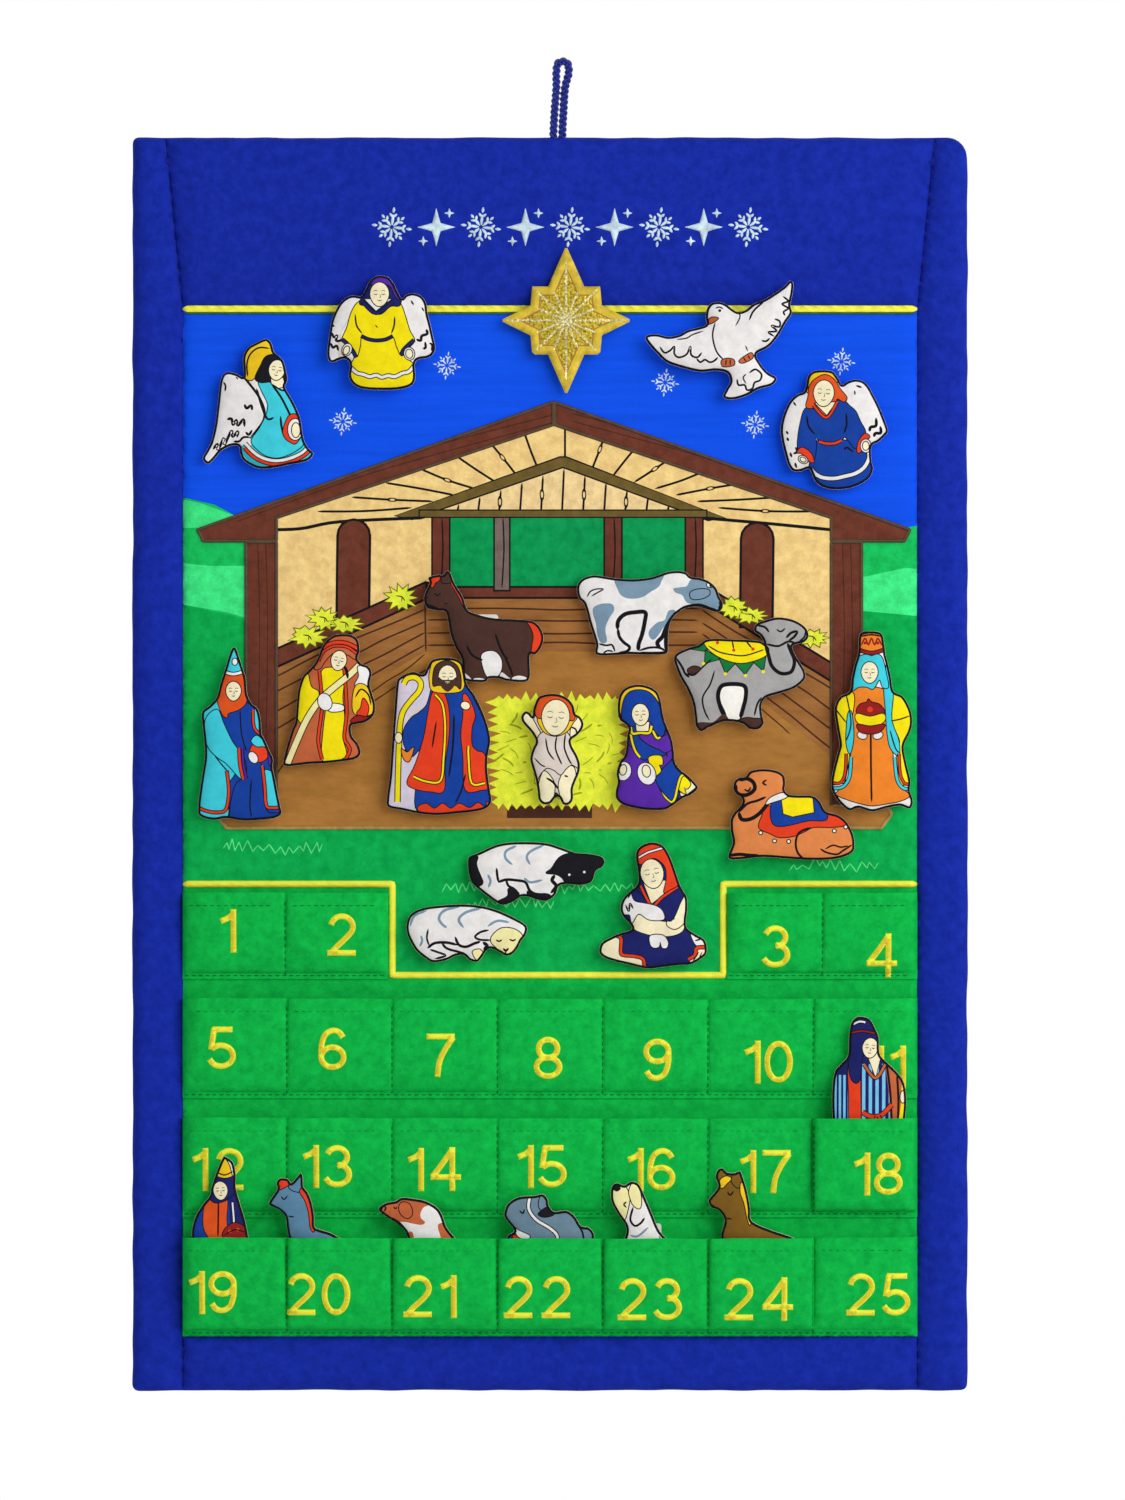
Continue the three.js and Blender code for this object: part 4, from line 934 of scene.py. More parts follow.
def stablePrints():  # everything printed inside the stable, back to front
    prints = [("wall", spots((255, 380), (860, 380), (860, 700), (255, 700)))]
    for k, x in enumerate((318, 352, 386, 420, 454, 488, 522)):  # roof boards fan out from the middle
        for side in (-1, 1):
            reach = roof["middle"] - x
            topX, topY = roof["middle"] + side * reach, 0.42 * reach + 408
            footX = roof["middle"] + side * reach * roof["footShare"]
            footY = 508 - 0.186 * (x - roof["head"])
            bend = ((topX + footX) / 2, (topY + footY) / 2 + 1.5 - k % 3)
            prints += drawn((topX, topY), bend, (footX, footY), width=1.15)
            if (k + (side > 0)) % 2:
                prints += knot(*bend, wide=5.5, high=2.2, turn=math.atan2(footY - topY, footX - topX))
    prints += drawn((565, 412), (565, 470), width=1.1)
    prints.append(("wallPale", spots((404, 513), (560, 460), (720, 515))))
    for k, x in enumerate(range(436, 700, 21)):
        top = 522 - 0.34 * (156 - abs(x - 562))
        prints += drawn((x, 514), (x + 2, top), width=1.1)
        if k % 2 and top < 500:
            prints += knot(x + 1, (514 + top) / 2, wide=2.4, high=6.5, ground="wallPale")
    gable = spots((396, 516), (560, 458), (566, 458), (724, 518), (708, 520), (563, 467), (412, 519))
    prints += inked("beam", gable, width=0.8)
    prints += drawn((262, 530), (300, 529), (340, 522), (425, 518), width=1.7)
    prints += drawn((700, 518), (770, 524), (850, 532), width=1.7)
    prints += inked("fence", spots((255, 672), (425, 594), (700, 594), (850, 690), (850, 772), (700, 652),
                                   (425, 652), (255, 752)))
    prints.append(("floor", spots((255, 752), (425, 652), (700, 652), (850, 772), (880, 840), (230, 840))))
    for k in range(1, 5):
        rise = k / 4.6
        prints += boardLine(262, 664 + 84 * rise, 425, 596 + 56 * rise, width=0.9, seed=k)
        prints += boardLine(427, 596 + 56 * rise, 698, 596 + 56 * rise, width=0.9, seed=k + 5)
        prints += boardLine(702, 598 + 56 * rise, 846, 680 + 92 * rise, width=0.9, seed=k + 9)
    planks = ((300, 742, 430, 668), (425, 655, 360, 700), (700, 655, 790, 735), (260, 800, 300, 742))
    for k, ends in enumerate(planks):
        prints += boardLine(*ends, width=0.7, seed=k + 20)
    prints += drawn((425, 596), (426, 652), width=0.9, colour="timberDark")
    prints += inked("timber", spots((255, 660), (425, 584), (700, 584), (850, 676), (850, 692), (697, 597),
                                    (428, 597), (255, 676)))
    prints += inked("window", spots((436, 518), (692, 518), (692, 586), (436, 586)))
    mullions = ((441, 8, "timber"), (502, 7, "postGrey"), (613, 8, "timber"), (694, 8, "timber"))
    for x, half, cloth in mullions:
        left, right = x - half, x + half
        prints += inked(cloth, spots((left, 516), (right, 516), (right, 590), (left, 590)), width=0.9)
        prints += drawn((x + 1, 518), (x + 2, 550), (x, 588), width=0.8)
    prints += inked("beam", spots((420, 511), (706, 511), (706, 517), (420, 517)), width=0.7)
    prints += inked("timber", archedDoor(354, 622, 521, 15), width=1.3)
    prints += inked("timber", archedDoor(757, 626, 524, 15), width=1.3)
    prints += inked("timber", spots((255, 660), (425, 584), (428, 597), (255, 676)), width=1.2)
    prints += inked("timber", spots((700, 584), (850, 676), (850, 692), (697, 597)), width=1.2)
    prints += [("timberDark", spots((507, 806), (592, 806), (592, 818), (507, 818)))]
    return [(cloths[name], loop) for name, loop in prints]


def roofPrints(side):
    prints = []
    for share in (0.36, 0.68):
        row = [(roof["middle"] - side * reach, py + drop * share)
               for reach, py, drop in ((6, 405, 24), (190, 452, 30), (330, 505, 26))]
        prints.append((cloths["timberDark"], strokeLoop(spots(*row), 0.6)))
    return prints


def stableCloths():
    shared = stablePrints()
    grain = [(cloths["timberDark"], strokeLoop(spots((x, 540), (x + 2, 640), (x - 1, 800)), 0.5))
             for x in (258, 266, 842, 850)]
    work = {
        "stable_wall": (cloths["wall"], shared), "stable_floor": (cloths["floor"], shared),
        "roof_left": (cloths["timber"], roofPrints(1)), "roof_right": (cloths["timber"], roofPrints(-1)),
        "post_left": (cloths["timber"], grain), "post_right": (cloths["timber"], grain),
    }
    outlines = {node: outlineOf(node) for node in work}
    sill = (min(z for _, z in outlines["stable_wall"]) + max(z for _, z in outlines["stable_floor"])) / 2
    for node in ("stable_wall", "stable_floor"):  # the two meet in one line
        outlines[node] = [(x, sill if abs(z - sill) < 1 else z) for x, z in outlines[node]]
    for node, (base, prints) in work.items():
        outline = outlines[node]
        piece = clothPiece(
            node + "_patch", outline, prints, stable["pitch"], patchLift, stable["patchThickness"], base
        )
        onPanel(piece, node)
        sheetOn(outline)
    return outlines


def stableEdging(outlines):
    edged = ("roof_left", "roof_right", "post_left", "post_right")
    loops = [offsetLoop(outlines[node], -stable["edgingInset"]) for node in edged]
    floor = outlines["stable_floor"]
    first = max(range(len(floor)), key=lambda i: floor[i][1])
    toes = span("post_left")["foot"] + 0.05
    low = [p for p in floor[first:] + floor[:first] if p[1] < toes]
    for name, paths, thread in (("stable_edging", loops, "edging"), ("floor_edging", [low], "floorHem")):
        onPanel(satinCord(name, paths, stable["edgingWidth"], stable["edgingHeight"], edgingLift,
                          threads[thread], closed=paths is loops))


stableEdging(stableCloths())

print("stage: yellow trims")

trim = {
    "width": 3.5, "height": 1.35, "threadPitch": 1.0, "lift": 0.05, "pipingWidth": 1.1, "pipingHeight": 0.6,
    "pipingInset": 1, "pipingDrop": 0.5,
}


def trimLift(x, z):
    return panelLift(x, z) + trim["lift"]


def trims():
    head, foot = span("header_trim"), span("pocket_trim")
    headZ = (head["top"] + head["foot"]) / 2
    trimCord("header_trim_thread", [(head["left"], headZ), (head["right"], headZ)], "header_trim")
    pipingZ = head["foot"] - trim["pipingDrop"]
    line = [(head["left"] + trim["pipingInset"], pipingZ), (head["right"] - trim["pipingInset"], pipingZ)]
    onPanel(satinCord("header_piping", [line], trim["pipingWidth"], trim["pipingHeight"], trimLift,
                      threads["greenPiping"]))
    half = (head["top"] - head["foot"]) / 2
    low, high = foot["foot"] + half, foot["top"] - half
    leftX, rightX = span("pocket_row_1_left")["right"], span("pocket_row_1_right")["left"]
    path = [(foot["left"], high), (leftX + half, high), (leftX + half, low), (rightX - half, low),
            (rightX - half, high), (foot["right"], high)]
    trimCord("pocket_trim_thread", path, "pocket_trim")


def trimCord(name, path, *nodes):
    cord = satinCord(name, [path], trim["width"], trim["height"], trimLift, threads["trim"],
                     trim["threadPitch"])
    onPanel(cord, *nodes)


trims()

print("stage: pockets")

pockets = {
    "seamWidth": 0.9, "gap": 0.35, "thickness": 0.6, "hemDrop": 7.0, "hemInset": 4.0, "hemDip": 0.25,
    "hemReach": 0.7, "valley": 0.7, "pucker": 0.45, "puckerLength": 8.5, "puckerReach": 5.0, "fold": 0.9,
    "topWave": 0.5, "topReach": 6.0, "overlap": 0.3, "slopeLimit": 1.8, "stations": 33, "levels": 25,
    "closingDrop": 1.2,
    "empty": {"bulge": 7.5, "side": 8, "end": 4, "up": 0.5, "soft": 1},
    "filled": {"bulge": 13, "side": 16, "end": 8, "up": 0.3, "soft": 0.6},
    "rows": {
        "pocket_row_1_left": {"count": 2, "filled": []}, "pocket_row_1_right": {"count": 2, "filled": []},
        "pocket_row_2": {"count": 7, "filled": []}, "pocket_row_3": {"count": 7, "filled": [6]},
        "pocket_row_4": {"count": 7, "filled": [0, 1, 2, 3, 4, 5]},
    },
}
seamFlange = 3.0  # below the seam that closes the pockets


def pocketForm(node):
    row, box = pockets["rows"][node], span(node)
    over = pockets["overlap"]
    return {"left": box["left"] - over, "width": box["right"] - box["left"] + 2 * over, **row,
            "foot": box["foot"] + seamFlange, "top": box["top"]}


def pocketLift(form):
    def lift(x, z):
        x, z = np.asarray(x, float), np.asarray(z, float)
        column = form["width"] / form["count"]
        number = np.clip(((x - form["left"]) / column).astype(int), 0, form["count"] - 1)
        inColumn = x - form["left"] - number * column - pockets["seamWidth"] / 2
        across = np.clip(inColumn / (column - pockets["seamWidth"]), 0, 1)
        up = np.clip((z - form["foot"]) / (form["top"] - form["foot"]), 0, 1)
        full = np.isin(number, form["filled"])
        ends = ((number == 0) & (across < 0.5)) | ((number == form["count"] - 1) & (across > 0.5))
        bulge, side, end, power, softer = (
            np.where(full, pockets["filled"][key], pockets["empty"][key])
            for key in ("bulge", "side", "end", "up", "soft")
        )
        valley = np.where(ends, 0, pockets["valley"])
        swell = valley + (1 - valley) * np.sqrt(1 - np.abs(2 * across - 1) ** np.where(ends, end, side))
        swell = swell * np.sin(up * math.pi / 2) ** power
        toSeam = np.minimum(across, 1 - across) * column
        beat = 2 * math.pi * (z + 0.4 * x) / pockets["puckerLength"] + 3 * evenNoise(x, z, 20, 13)
        pucker = np.sin(beat) * np.exp(-toSeam / pockets["puckerReach"]) * np.clip(toSeam, 0, 1) * up
        fold = evenNoise(x * 1.6, z * 0.6, 9, 11) * 0.5 + 0.5 * evenNoise(x, z, 15, 12)
        soft = pockets["fold"] * fold * np.sqrt(np.maximum(swell, 0)) * (0.4 + 0.6 * up) * softer
        toHem = (form["top"] - pockets["hemDrop"] - z) / pockets["hemReach"]
        hem = pockets["hemDip"] * np.exp(-(toHem**2)) * swell
        flat = panelLift(x, z) + pockets["gap"] + pockets["thickness"]
        return flat + bulge * swell + soft + pockets["pucker"] * pucker - hem
    return lift


def pocketStations(form):  # across a row, closer together beside each seam
    column, many = form["width"] / form["count"], pockets["stations"]
    eased = 0.5 - 0.5 * np.cos(np.linspace(0, math.pi, many))
    shares = 0.25 * np.linspace(0, 1, many) + 0.75 * eased
    starts = [form["left"] + c * column + pockets["seamWidth"] / 2 for c in range(form["count"])]
    return [start + (column - pockets["seamWidth"]) * s for start in starts for s in shares]


def pocketRows():
    for node in pockets["rows"]:
        form, box = pocketForm(node), span(node)
        lift = pocketLift(form)
        column, many = form["width"] / form["count"], pockets["levels"]
        stations = [box["left"]] + pocketStations(form) + [box["right"]]
        rising = 0.5 * np.linspace(0, 1, many) + 0.5 * (1 - np.cos(np.linspace(0, math.pi / 2, many)))
        levels = [box["foot"], box["foot"] + seamFlange / 2,
                  *(form["foot"] + (form["top"] - form["foot"]) * rising)]
        x, z = [a.ravel() for a in np.meshgrid(stations, levels)]
        outer = lift(x, z)
        slope = np.abs(np.gradient(outer.reshape(len(levels), -1), stations, axis=1)).ravel()
        inner = outer - pockets["thickness"] * np.minimum(np.hypot(1, slope), pockets["slopeLimit"])
        brim = pockets["topWave"] * (1 + np.clip(1.5 * evenNoise(x, z * 0, 24, 31), -1, 1))
        z = z - brim * np.clip((z - form["top"] + pockets["topReach"]) / pockets["topReach"], 0, 1)
        points = np.concatenate([place(x, z, outer), place(x, z, inner)])
        wide = len(stations)
        quads = [(r * wide + c, r * wide + c + 1, (r + 1) * wide + c + 1, (r + 1) * wide + c)
                 for r in range(len(levels) - 1) for c in range(wide - 1)]
        piece = makeObject(node + "_cloth", points, bothSides(quads, len(x)), [cloths["pocket"]])
        onPanel(piece, node)
        brimLine = [float(lift([a], [form["top"]])[0]) for a in stations]
        sides = [form["left"] + c * column for c in range(form["count"] + 1)]
        seams = [[(x, form["foot"] - 1), (x, form["top"] - 1)] for x in sides[1:-1]]
        closing = form["foot"] - pockets["closingDrop"]
        across = [[(box["left"] + 1, closing), (box["right"] - 1, closing)]]
        hemZ, inset = form["top"] - pockets["hemDrop"], pockets["hemInset"]
        hems = [[(a + inset, hemZ), (b - inset, hemZ)] for a, b in zip(sides, sides[1:])]
        onPanel(stitches(node + "_stitching", seams + across + hems, lift, threads["greenSeam"]))


pocketRows()

print("stage: numerals")

numerals = {
    "height": 22.8, "stroke": 13.0, "gap": 8.0, "widen": 1.15, "strokeHeight": 0.75, "halfWidth": 1.5,
    "brightEdge": 0.55, "steep": 0.62,
}
satin = {
    "pitch": 0.8, "grid": 0.75, "clear": 0.55, "proud": 0.05, "sunk": 0.3, "ridge": 0.12, "slant": 0.35,
    "thread": 1.1,
}
numeralPlaces = {
    1: (228, 930), 2: (342, 934), 3: (775, 946), 4: (881, 955), 5: (222, 1047), 6: (333, 1048),
    7: (441, 1054), 8: (548, 1057), 9: (657, 1059), 10: (767, 1061), 11: (885, 1066), 12: (219, 1168),
    13: (327, 1165), 14: (435, 1168), 15: (541, 1165), 16: (650, 1168), 17: (765, 1170), 18: (876, 1172),
    19: (213, 1290), 20: (318, 1292), 21: (429, 1294), 22: (537, 1295), 23: (648, 1297), 24: (758, 1297),
    25: (876, 1293),
}


def arc(cx, cz, wide, high, start, end):  # part of an oval, in degrees anticlockwise from the right
    return [(cx + wide * math.cos(math.radians(a)), cz + high * math.sin(math.radians(a)))
            for a in np.linspace(start, end, 9)]


digitStrokes = {  # the middle of each stroke, in hundredths of the numeral's height
    "0": [arc(31, 50, 22.5, 41.5, 85, 275), arc(31, 50, 22.5, 41.5, -95, 95)],
    "1": [[(38, 0), (38, 50), (38, 98)], [(38, 88), (27, 78), (13, 71)]],
    "2": [arc(31, 68, 21.5, 23.5, 170, -35) + [(38, 41), (22, 24), (11, 10)],
          [(2, 8.3), (30, 8.3), (58, 8.3)]],
    "3": [arc(29, 71, 20, 20.5, 160, -88), arc(29, 31, 24, 22.7, 88, -160)],
    "4": [[(43, 0), (43, 50), (43, 100)], [(41, 92), (22, 60), (4, 33)], [(0, 32), (30, 32), (60, 32)]],
    "5": [[(53, 91.7), (33, 91.7), (13, 91.7)], [(17, 94), (14, 70), (11, 46)],
          arc(30, 32, 24, 23.7, 138, -160)],
    "6": [arc(31, 31, 22, 22.7, 85, 275), arc(31, 31, 22, 22.7, -95, 95),
          [(52, 76), (44, 88), (31, 91.5), (17, 82), (10, 60), (9, 34)]],
    "7": [[(3, 91.7), (30, 91.7), (58, 91.7)], [(55, 89), (40, 64), (28, 34), (24, 0)]],
    "8": [arc(31, 71, 18.5, 20.5, 85, 275), arc(31, 71, 18.5, 20.5, -95, 95),
          arc(31, 29.5, 22.7, 21.2, 85, 275), arc(31, 29.5, 22.7, 21.2, -95, 95)],
}
digitStrokes["9"] = [[(62 - x, 100 - z) for x, z in line] for line in digitStrokes["6"]]


def digitLoops(text):  # the closed outlines of a numeral's strokes, centred
    loops, at, share = [], 0, numerals["height"] / 100
    for digit in text:
        lines = [[(x * numerals["widen"], z) for x, z in line] for line in digitStrokes[digit]]
        low = min(x for line in lines for x, _ in line)
        high = max(x for line in lines for x, _ in line)
        for line in lines:
            points = [((x - low + at) * share, (z - 50) * share) for x, z in line]
            loops.append(strokeLoop(points, numerals["stroke"] * share, blunt=True))
        at += high - low + numerals["stroke"] + numerals["gap"]
    middle = (at - numerals["stroke"] - numerals["gap"]) / 2 * share
    return [[(x - middle, z) for x, z in loop] for loop in loops]


def insideLoop(point, loop):
    data = np.array(loop)
    after = np.roll(data, -1, 0)
    spans = (data[:, 1] > point[1]) != (after[:, 1] > point[1])
    rise = np.where(spans, after[:, 1] - data[:, 1], 1)
    crossing = data[:, 0] + (point[1] - data[:, 1]) * (after[:, 0] - data[:, 0]) / rise
    return bool(np.sum(spans & (crossing > point[0])) % 2)


def filled(loops):  # loops filled as one shape, with each point's distance from the rim
    rings = [upright(resample(loop, satin["pitch"])) for loop in loops]
    corners, faces = joined(rings)
    rim = [p for ring in rings for p in ring if not any(
        other is not ring and insideLoop(p, other) for other in rings)]
    near, grid = nearTree(rim), satin["grid"]
    low, high = np.min(corners, axis=0), np.max(corners, axis=0)
    for z in np.arange(low[1], high[1], grid):
        for x in np.arange(low[0], high[0], grid):
            if near.find((x, z, 0))[2] > grid * satin["clear"]:
                corners.append(Vector((x, z)))
    points, _, triangles, _, _, inside = geometry.delaunay_2d_cdt(corners, [], faces, 0, 1e-4, True)
    flat, triangles = usedMesh(points, [tri for tri, ids in zip(triangles, inside) if ids])
    return flat, triangles, np.array([near.find((a, b, 0))[2] for a, b in flat])


def raisedThread(name, shapes, height, halfWidth, slotOf, materials):
    allPoints, allFaces, allSlots = [], [], []
    for loops, (cx, cz), lift in shapes:
        flat, triangles, depth = filled(loops)
        x, z = flat[:, 0] + cx, flat[:, 1] + cz
        base = lift(x, z)
        crown = height * np.sqrt(np.clip(1 - (1 - np.clip(depth / halfWidth, 0, 1)) ** 2, 0, 1))
        turn = 2 * math.pi * (z + satin["slant"] * x) / satin["thread"]
        crown = crown * (1 + satin["ridge"] * np.sin(turn))
        start, count = len(allPoints), len(flat)
        allPoints += [*place(x, z, base + satin["proud"] + crown), *place(x, z, base - satin["sunk"])]
        for tri in triangles:
            allFaces.append(tuple(start + i for i in tri))
            allFaces.append(tuple(start + count + i for i in tri[::-1]))
            slot = slotOf(flat[list(tri)], depth[list(tri)], loops)
            allSlots += [slot, slot]
        for a, b in rimEdges(triangles):
            allFaces.append((start + b, start + a, start + count + a, start + count + b))
            allSlots.append(0)
    return makeObject(name, allPoints, allFaces, materials, allSlots, sharp=75)


def goldWithin(corners, depth, loops):  # upright strokes take the darker copy of the number thread, as painted shade on the satin, while their edges keep the bright yellow
    if depth.mean() < numerals["brightEdge"]:
        return 0
    middle = corners.mean(0)
    best, steep = math.inf, 0
    for loop in loops:
        data = np.array(loop)
        ends = np.roll(data, -1, 0)
        along = ends - data
        t = np.clip(np.sum((middle - data) * along, 1) / np.maximum(np.sum(along**2, 1), 1e-9), 0, 1)
        gaps = np.hypot(*(data + along * t[:, None] - middle).T)
        k = int(gaps.argmin())
        if gaps[k] < best:
            best, steep = gaps[k], abs(along[k][1]) / max(math.hypot(*along[k]), 1e-9)
    return 1 if steep > numerals["steep"] else 0


def numeralRows():
    for node in pockets["rows"]:
        box, form = span(node), pocketForm(node)
        shapes = []
        for number, (px, py) in numeralPlaces.items():
            x, z = spot(px, py)
            if box["left"] < x < box["right"] and box["foot"] < z < box["top"]:
                shapes.append((digitLoops(str(number)), (x, z), pocketLift(form)))
        words = raisedThread(node + "_numerals", shapes, numerals["strokeHeight"], numerals["halfWidth"],
                             goldWithin, [threads["number"], threads["gold"]])
        onPanel(words)


numeralRows()

print("stage: snowflakes, grass and header ornament")

snowPlaces = [(447, 366), (343, 422), (665, 383), (755, 425), (841, 362)]
grassPlaces = [(275, 850, 52), (462, 889, 20), (510, 905, 46), (600, 890, 44), (835, 868, 46)]
fineThreads = {  # width, height and step of the lines sewn on the cloths
    "snowflake_thread": (0.95, 0.35, 0.7), "grass_thread": (0.7, 0.3, 0.6),
    "header_flake_thread": (1.5, 0.55, 0.7),
}


def fineThread(name, lines, colour):
    width, height, step = fineThreads[name]
    onPanel(satinCord(name, lines, width, height, panelLift, threads[colour], step=step))


def flakeLines(px, py, size, arms=8):
    lines = []
    for k in range(arms):
        angle = 2 * math.pi * k / arms + 0.12
        dx, dy = math.cos(angle), math.sin(angle)
        reach = size * (1 if k % 2 == 0 else 0.8)
        for start, end in ((2, reach * 0.62), (reach * 0.72, reach)):
            lines.append(spots((px + dx * start, py + dy * start), (px + dx * end, py + dy * end)))
        for side in (-1, 1):
            bx, by = px + dx * reach * 0.5, py + dy * reach * 0.5
            ex = bx + size * 0.26 * math.cos(angle + side * 0.8)
            ey = by + size * 0.26 * math.sin(angle + side * 0.8)
            lines.append(spots((bx, by), (ex, ey)))
    return lines


def grassLine(px, py, width, seed):
    pairs, x, up = [], px - width, 0
    while x < px + width:
        swing = 4 + 13 * abs(noise.noise((x * 0.45, seed, 0)))
        rise = -swing if up % 2 else 2 + 4 * noise.noise((x, seed, 2))
        pairs.append((x, py + rise + 7 * noise.noise((x / 30, seed, 4))))
        x += 4.4 + 5 * noise.noise((x, seed, 9))
        up += 1
    return spots(*pairs)


def smallEmbroidery():
    flakes = [line for px, py in snowPlaces for line in flakeLines(px, py, 14)]
    fineThread("snowflake_thread", flakes, "ice")
    tufts = [grassLine(px, py, width, k) for k, (px, py, width) in enumerate(grassPlaces)]
    fineThread("grass_thread", tufts, "grass")


def starLoop(px, py, points, reach, waist):
    pairs = []
    for k in range(points * 2):
        angle = math.pi * k / points - math.pi / 2
        radius = reach if k % 2 == 0 else waist
        pairs.append((px + radius * math.cos(angle), py + radius * math.sin(angle)))
    return spots(*pairs)


def headerOrnament():  # a plain embroidered row of stars and snowflakes
    shapes, lines = [], []
    for k in range(9):
        px, py = 392 + 44.5 * k, 228
        if k % 2 == 0:
            lines += flakeLines(px, py, 20)
        else:
            stars = ((0, 0, 19, 6), (13, -14, 5, 2), (-13, 14, 5, 2))
            shapes += [([starLoop(px + a, py + b, 4, reach, waist)], (0, 0), panelLift)
                       for a, b, reach, waist in stars]
    onPanel(raisedThread("header_star_thread", shapes, height=0.8, halfWidth=1.6, slotOf=lambda *_: 0,
                         materials=[threads["ice"]]))
    fineThread("header_flake_thread", lines, "ice")


smallEmbroidery()
headerOrnament()

print("stage: hay")

hayLook = {"lift": 0.1, "pitch": 2, "thickness": 0.35, "rim": 0.5, "straws": 56}
hayTufts = [(345, 624, 19, 10), (324, 619, 16, 12), (308, 637, 20, 12), (401, 598, 17, 14),
            (733, 608, 15, 12), (751, 616, 17, 9), (812, 638, 17, 10)]


def spikyLoop(px, py, wide, high, seed, spikes=11):
    pairs = []
    for k in range(spikes * 2):
        angle = math.pi * (k + 0.5 * noise.noise((k * 2.9, seed, 7))) / spikes
        radius = (1.08 if k % 2 == 0 else 0.68) * (1 + 0.4 * noise.noise((k * 1.7, seed, 0)))
        pairs.append((px + wide * radius * math.cos(angle), py + high * radius * math.sin(angle)))
    return spots(*pairs)


def jaggedBed(left, top, right, foot, seed):
    corners = [(left, foot), (left, top), (right, top), (right, foot)]
    pairs = []
    for k in range(4):
        (ax, ay), (bx, by) = corners[k], corners[(k + 1) % 4]
        steps = int(math.hypot(bx - ax, by - ay) / 4.5)
        for i in range(steps):
            t = (i + 0.6 * noise.noise((i * 1.3, k, seed))) / steps
            reach = 2 + 15 * abs(noise.noise((i * 1.31 + 0.5, k * 5.3, seed + 3.4)))
            reach += 9 * abs(noise.noise((i * 0.9, k, 8.2)))
            wild = (reach if i % 2 else -0.5 * reach) * (1 if k % 2 == 0 else 0.55)
            nx, ny = (by - ay), -(bx - ax)
            length = math.hypot(nx, ny)
            pairs.append((ax + (bx - ax) * t + nx / length * wild, ay + (by - ay) * t + ny / length * wild))
    return spots(*pairs)


def hay():
    def lift(x, z):
        return patchLift(x, z) + hayLook["lift"]

    def piece(name, loop, prints, cloth):
        sewn = clothPiece(name, loop, prints, hayLook["pitch"], lift, hayLook["thickness"], cloths[cloth])
        onPanel(sewn)
    for k, (px, py, wide, high) in enumerate(hayTufts):
        loop = spikyLoop(px, py, wide, high, k)
        prints = [(cloths["hay"], offsetLoop(loop, -hayLook["rim"]))]
        straws = (((-5, -2), (1, -1), (4, 3)), 0.6), (((1, -1), (1, 4)), 0.5)
        prints += [(cloths["ink"], strokeLoop(spots(*((px + a, py + b) for a, b in straw)), width))
                   for straw, width in straws]
        piece(f"hay_tuft_{k + 1}", loop, prints, "hayInk")
    bed = jaggedBed(494, 698, 621, 806, 3)
    prints = []
    for k in range(hayLook["straws"]):  # loose straws, printed round the middle
        angle, far = 2.4 * k, (k / hayLook["straws"]) ** 0.3
        px, py = 556 + 60 * math.cos(angle) * far, 752 + 48 * math.sin(angle) * far
        run, rise = 6.5 * math.cos(k * 1.9 + 0.5 * noise.noise((k, 0, 0))), 3 + 3 * math.sin(k * 1.9)
        straw = spots((px - run, py - rise), (px + 1.5, py - 0.5), (px + run, py + rise))
        prints.append((cloths["hayDark"], strokeLoop(straw, 0.5 + 0.5 * (k % 3 == 0))))
    piece("hay_bed_patch", bed, prints, "hay")


hay()

print("stage: printed and stuffed figures")

figureLook = {
    "thickness": 8.0, "pocketThickness": 6.6, "pocketLean": math.radians(6), "margin": 0.08, "seamInk": 1.3,
    "ink": 0.52, "lineShare": 1.45, "pitch": 1.5, "seamStep": 0.8, "pucker": 0.2, "puckerLength": 4.6,
    "puckerReach": 2.4, "dimple": 0.35, "backShare": 0.96, "fill": 0.75,
}
hookLook = {"halfWidth": 4.4, "halfHeight": 2.4, "corner": 1.6, "pitch": 1.6, "sunk": 0.7}
tabHeights = {"donkey_blue": 0.42, "donkey_dark": 0.42}  # shares of a figure's height, where not the usual
inks = {
    "skin": "F6EBC4", "white": "EDEAE8", "yellow": "F7E30E", "gold": "F3C81E", "navy": "1C2266",
    "royal": "14409E", "turquoise": "40CFDF", "teal": "2FB6C6", "orange": "F0862A", "red": "E6401F",
    "purple": "5A2AA6", "rust": "C4653C", "brown": "4B3029", "bark": "7E5C1E", "camel": "E3884B",
    "grey": "A8A6A5", "slate": "5C87A6", "cream": "F5ECAA", "lilac": "D9CFE0", "sky": "7CC8EE",
    "maroon": "96211F", "leaf": "157A3C", "shade": "9FB4C4", "hair": "E2551F", "coal": "17161C",
    "smoke": "6B8698", "linen": "DDD0C6", "blueGrey": "7C97AC", "pale": "FBF7EE", "calico": "EFE9DA",
    "outline": "121116",
}
printed = {}
pocketed = ["shepherd_striped", "king_crowned", "donkey_blue", "calf_patched", "camel_saddled",
            "sheep_cream_face", "donkey_dark"]

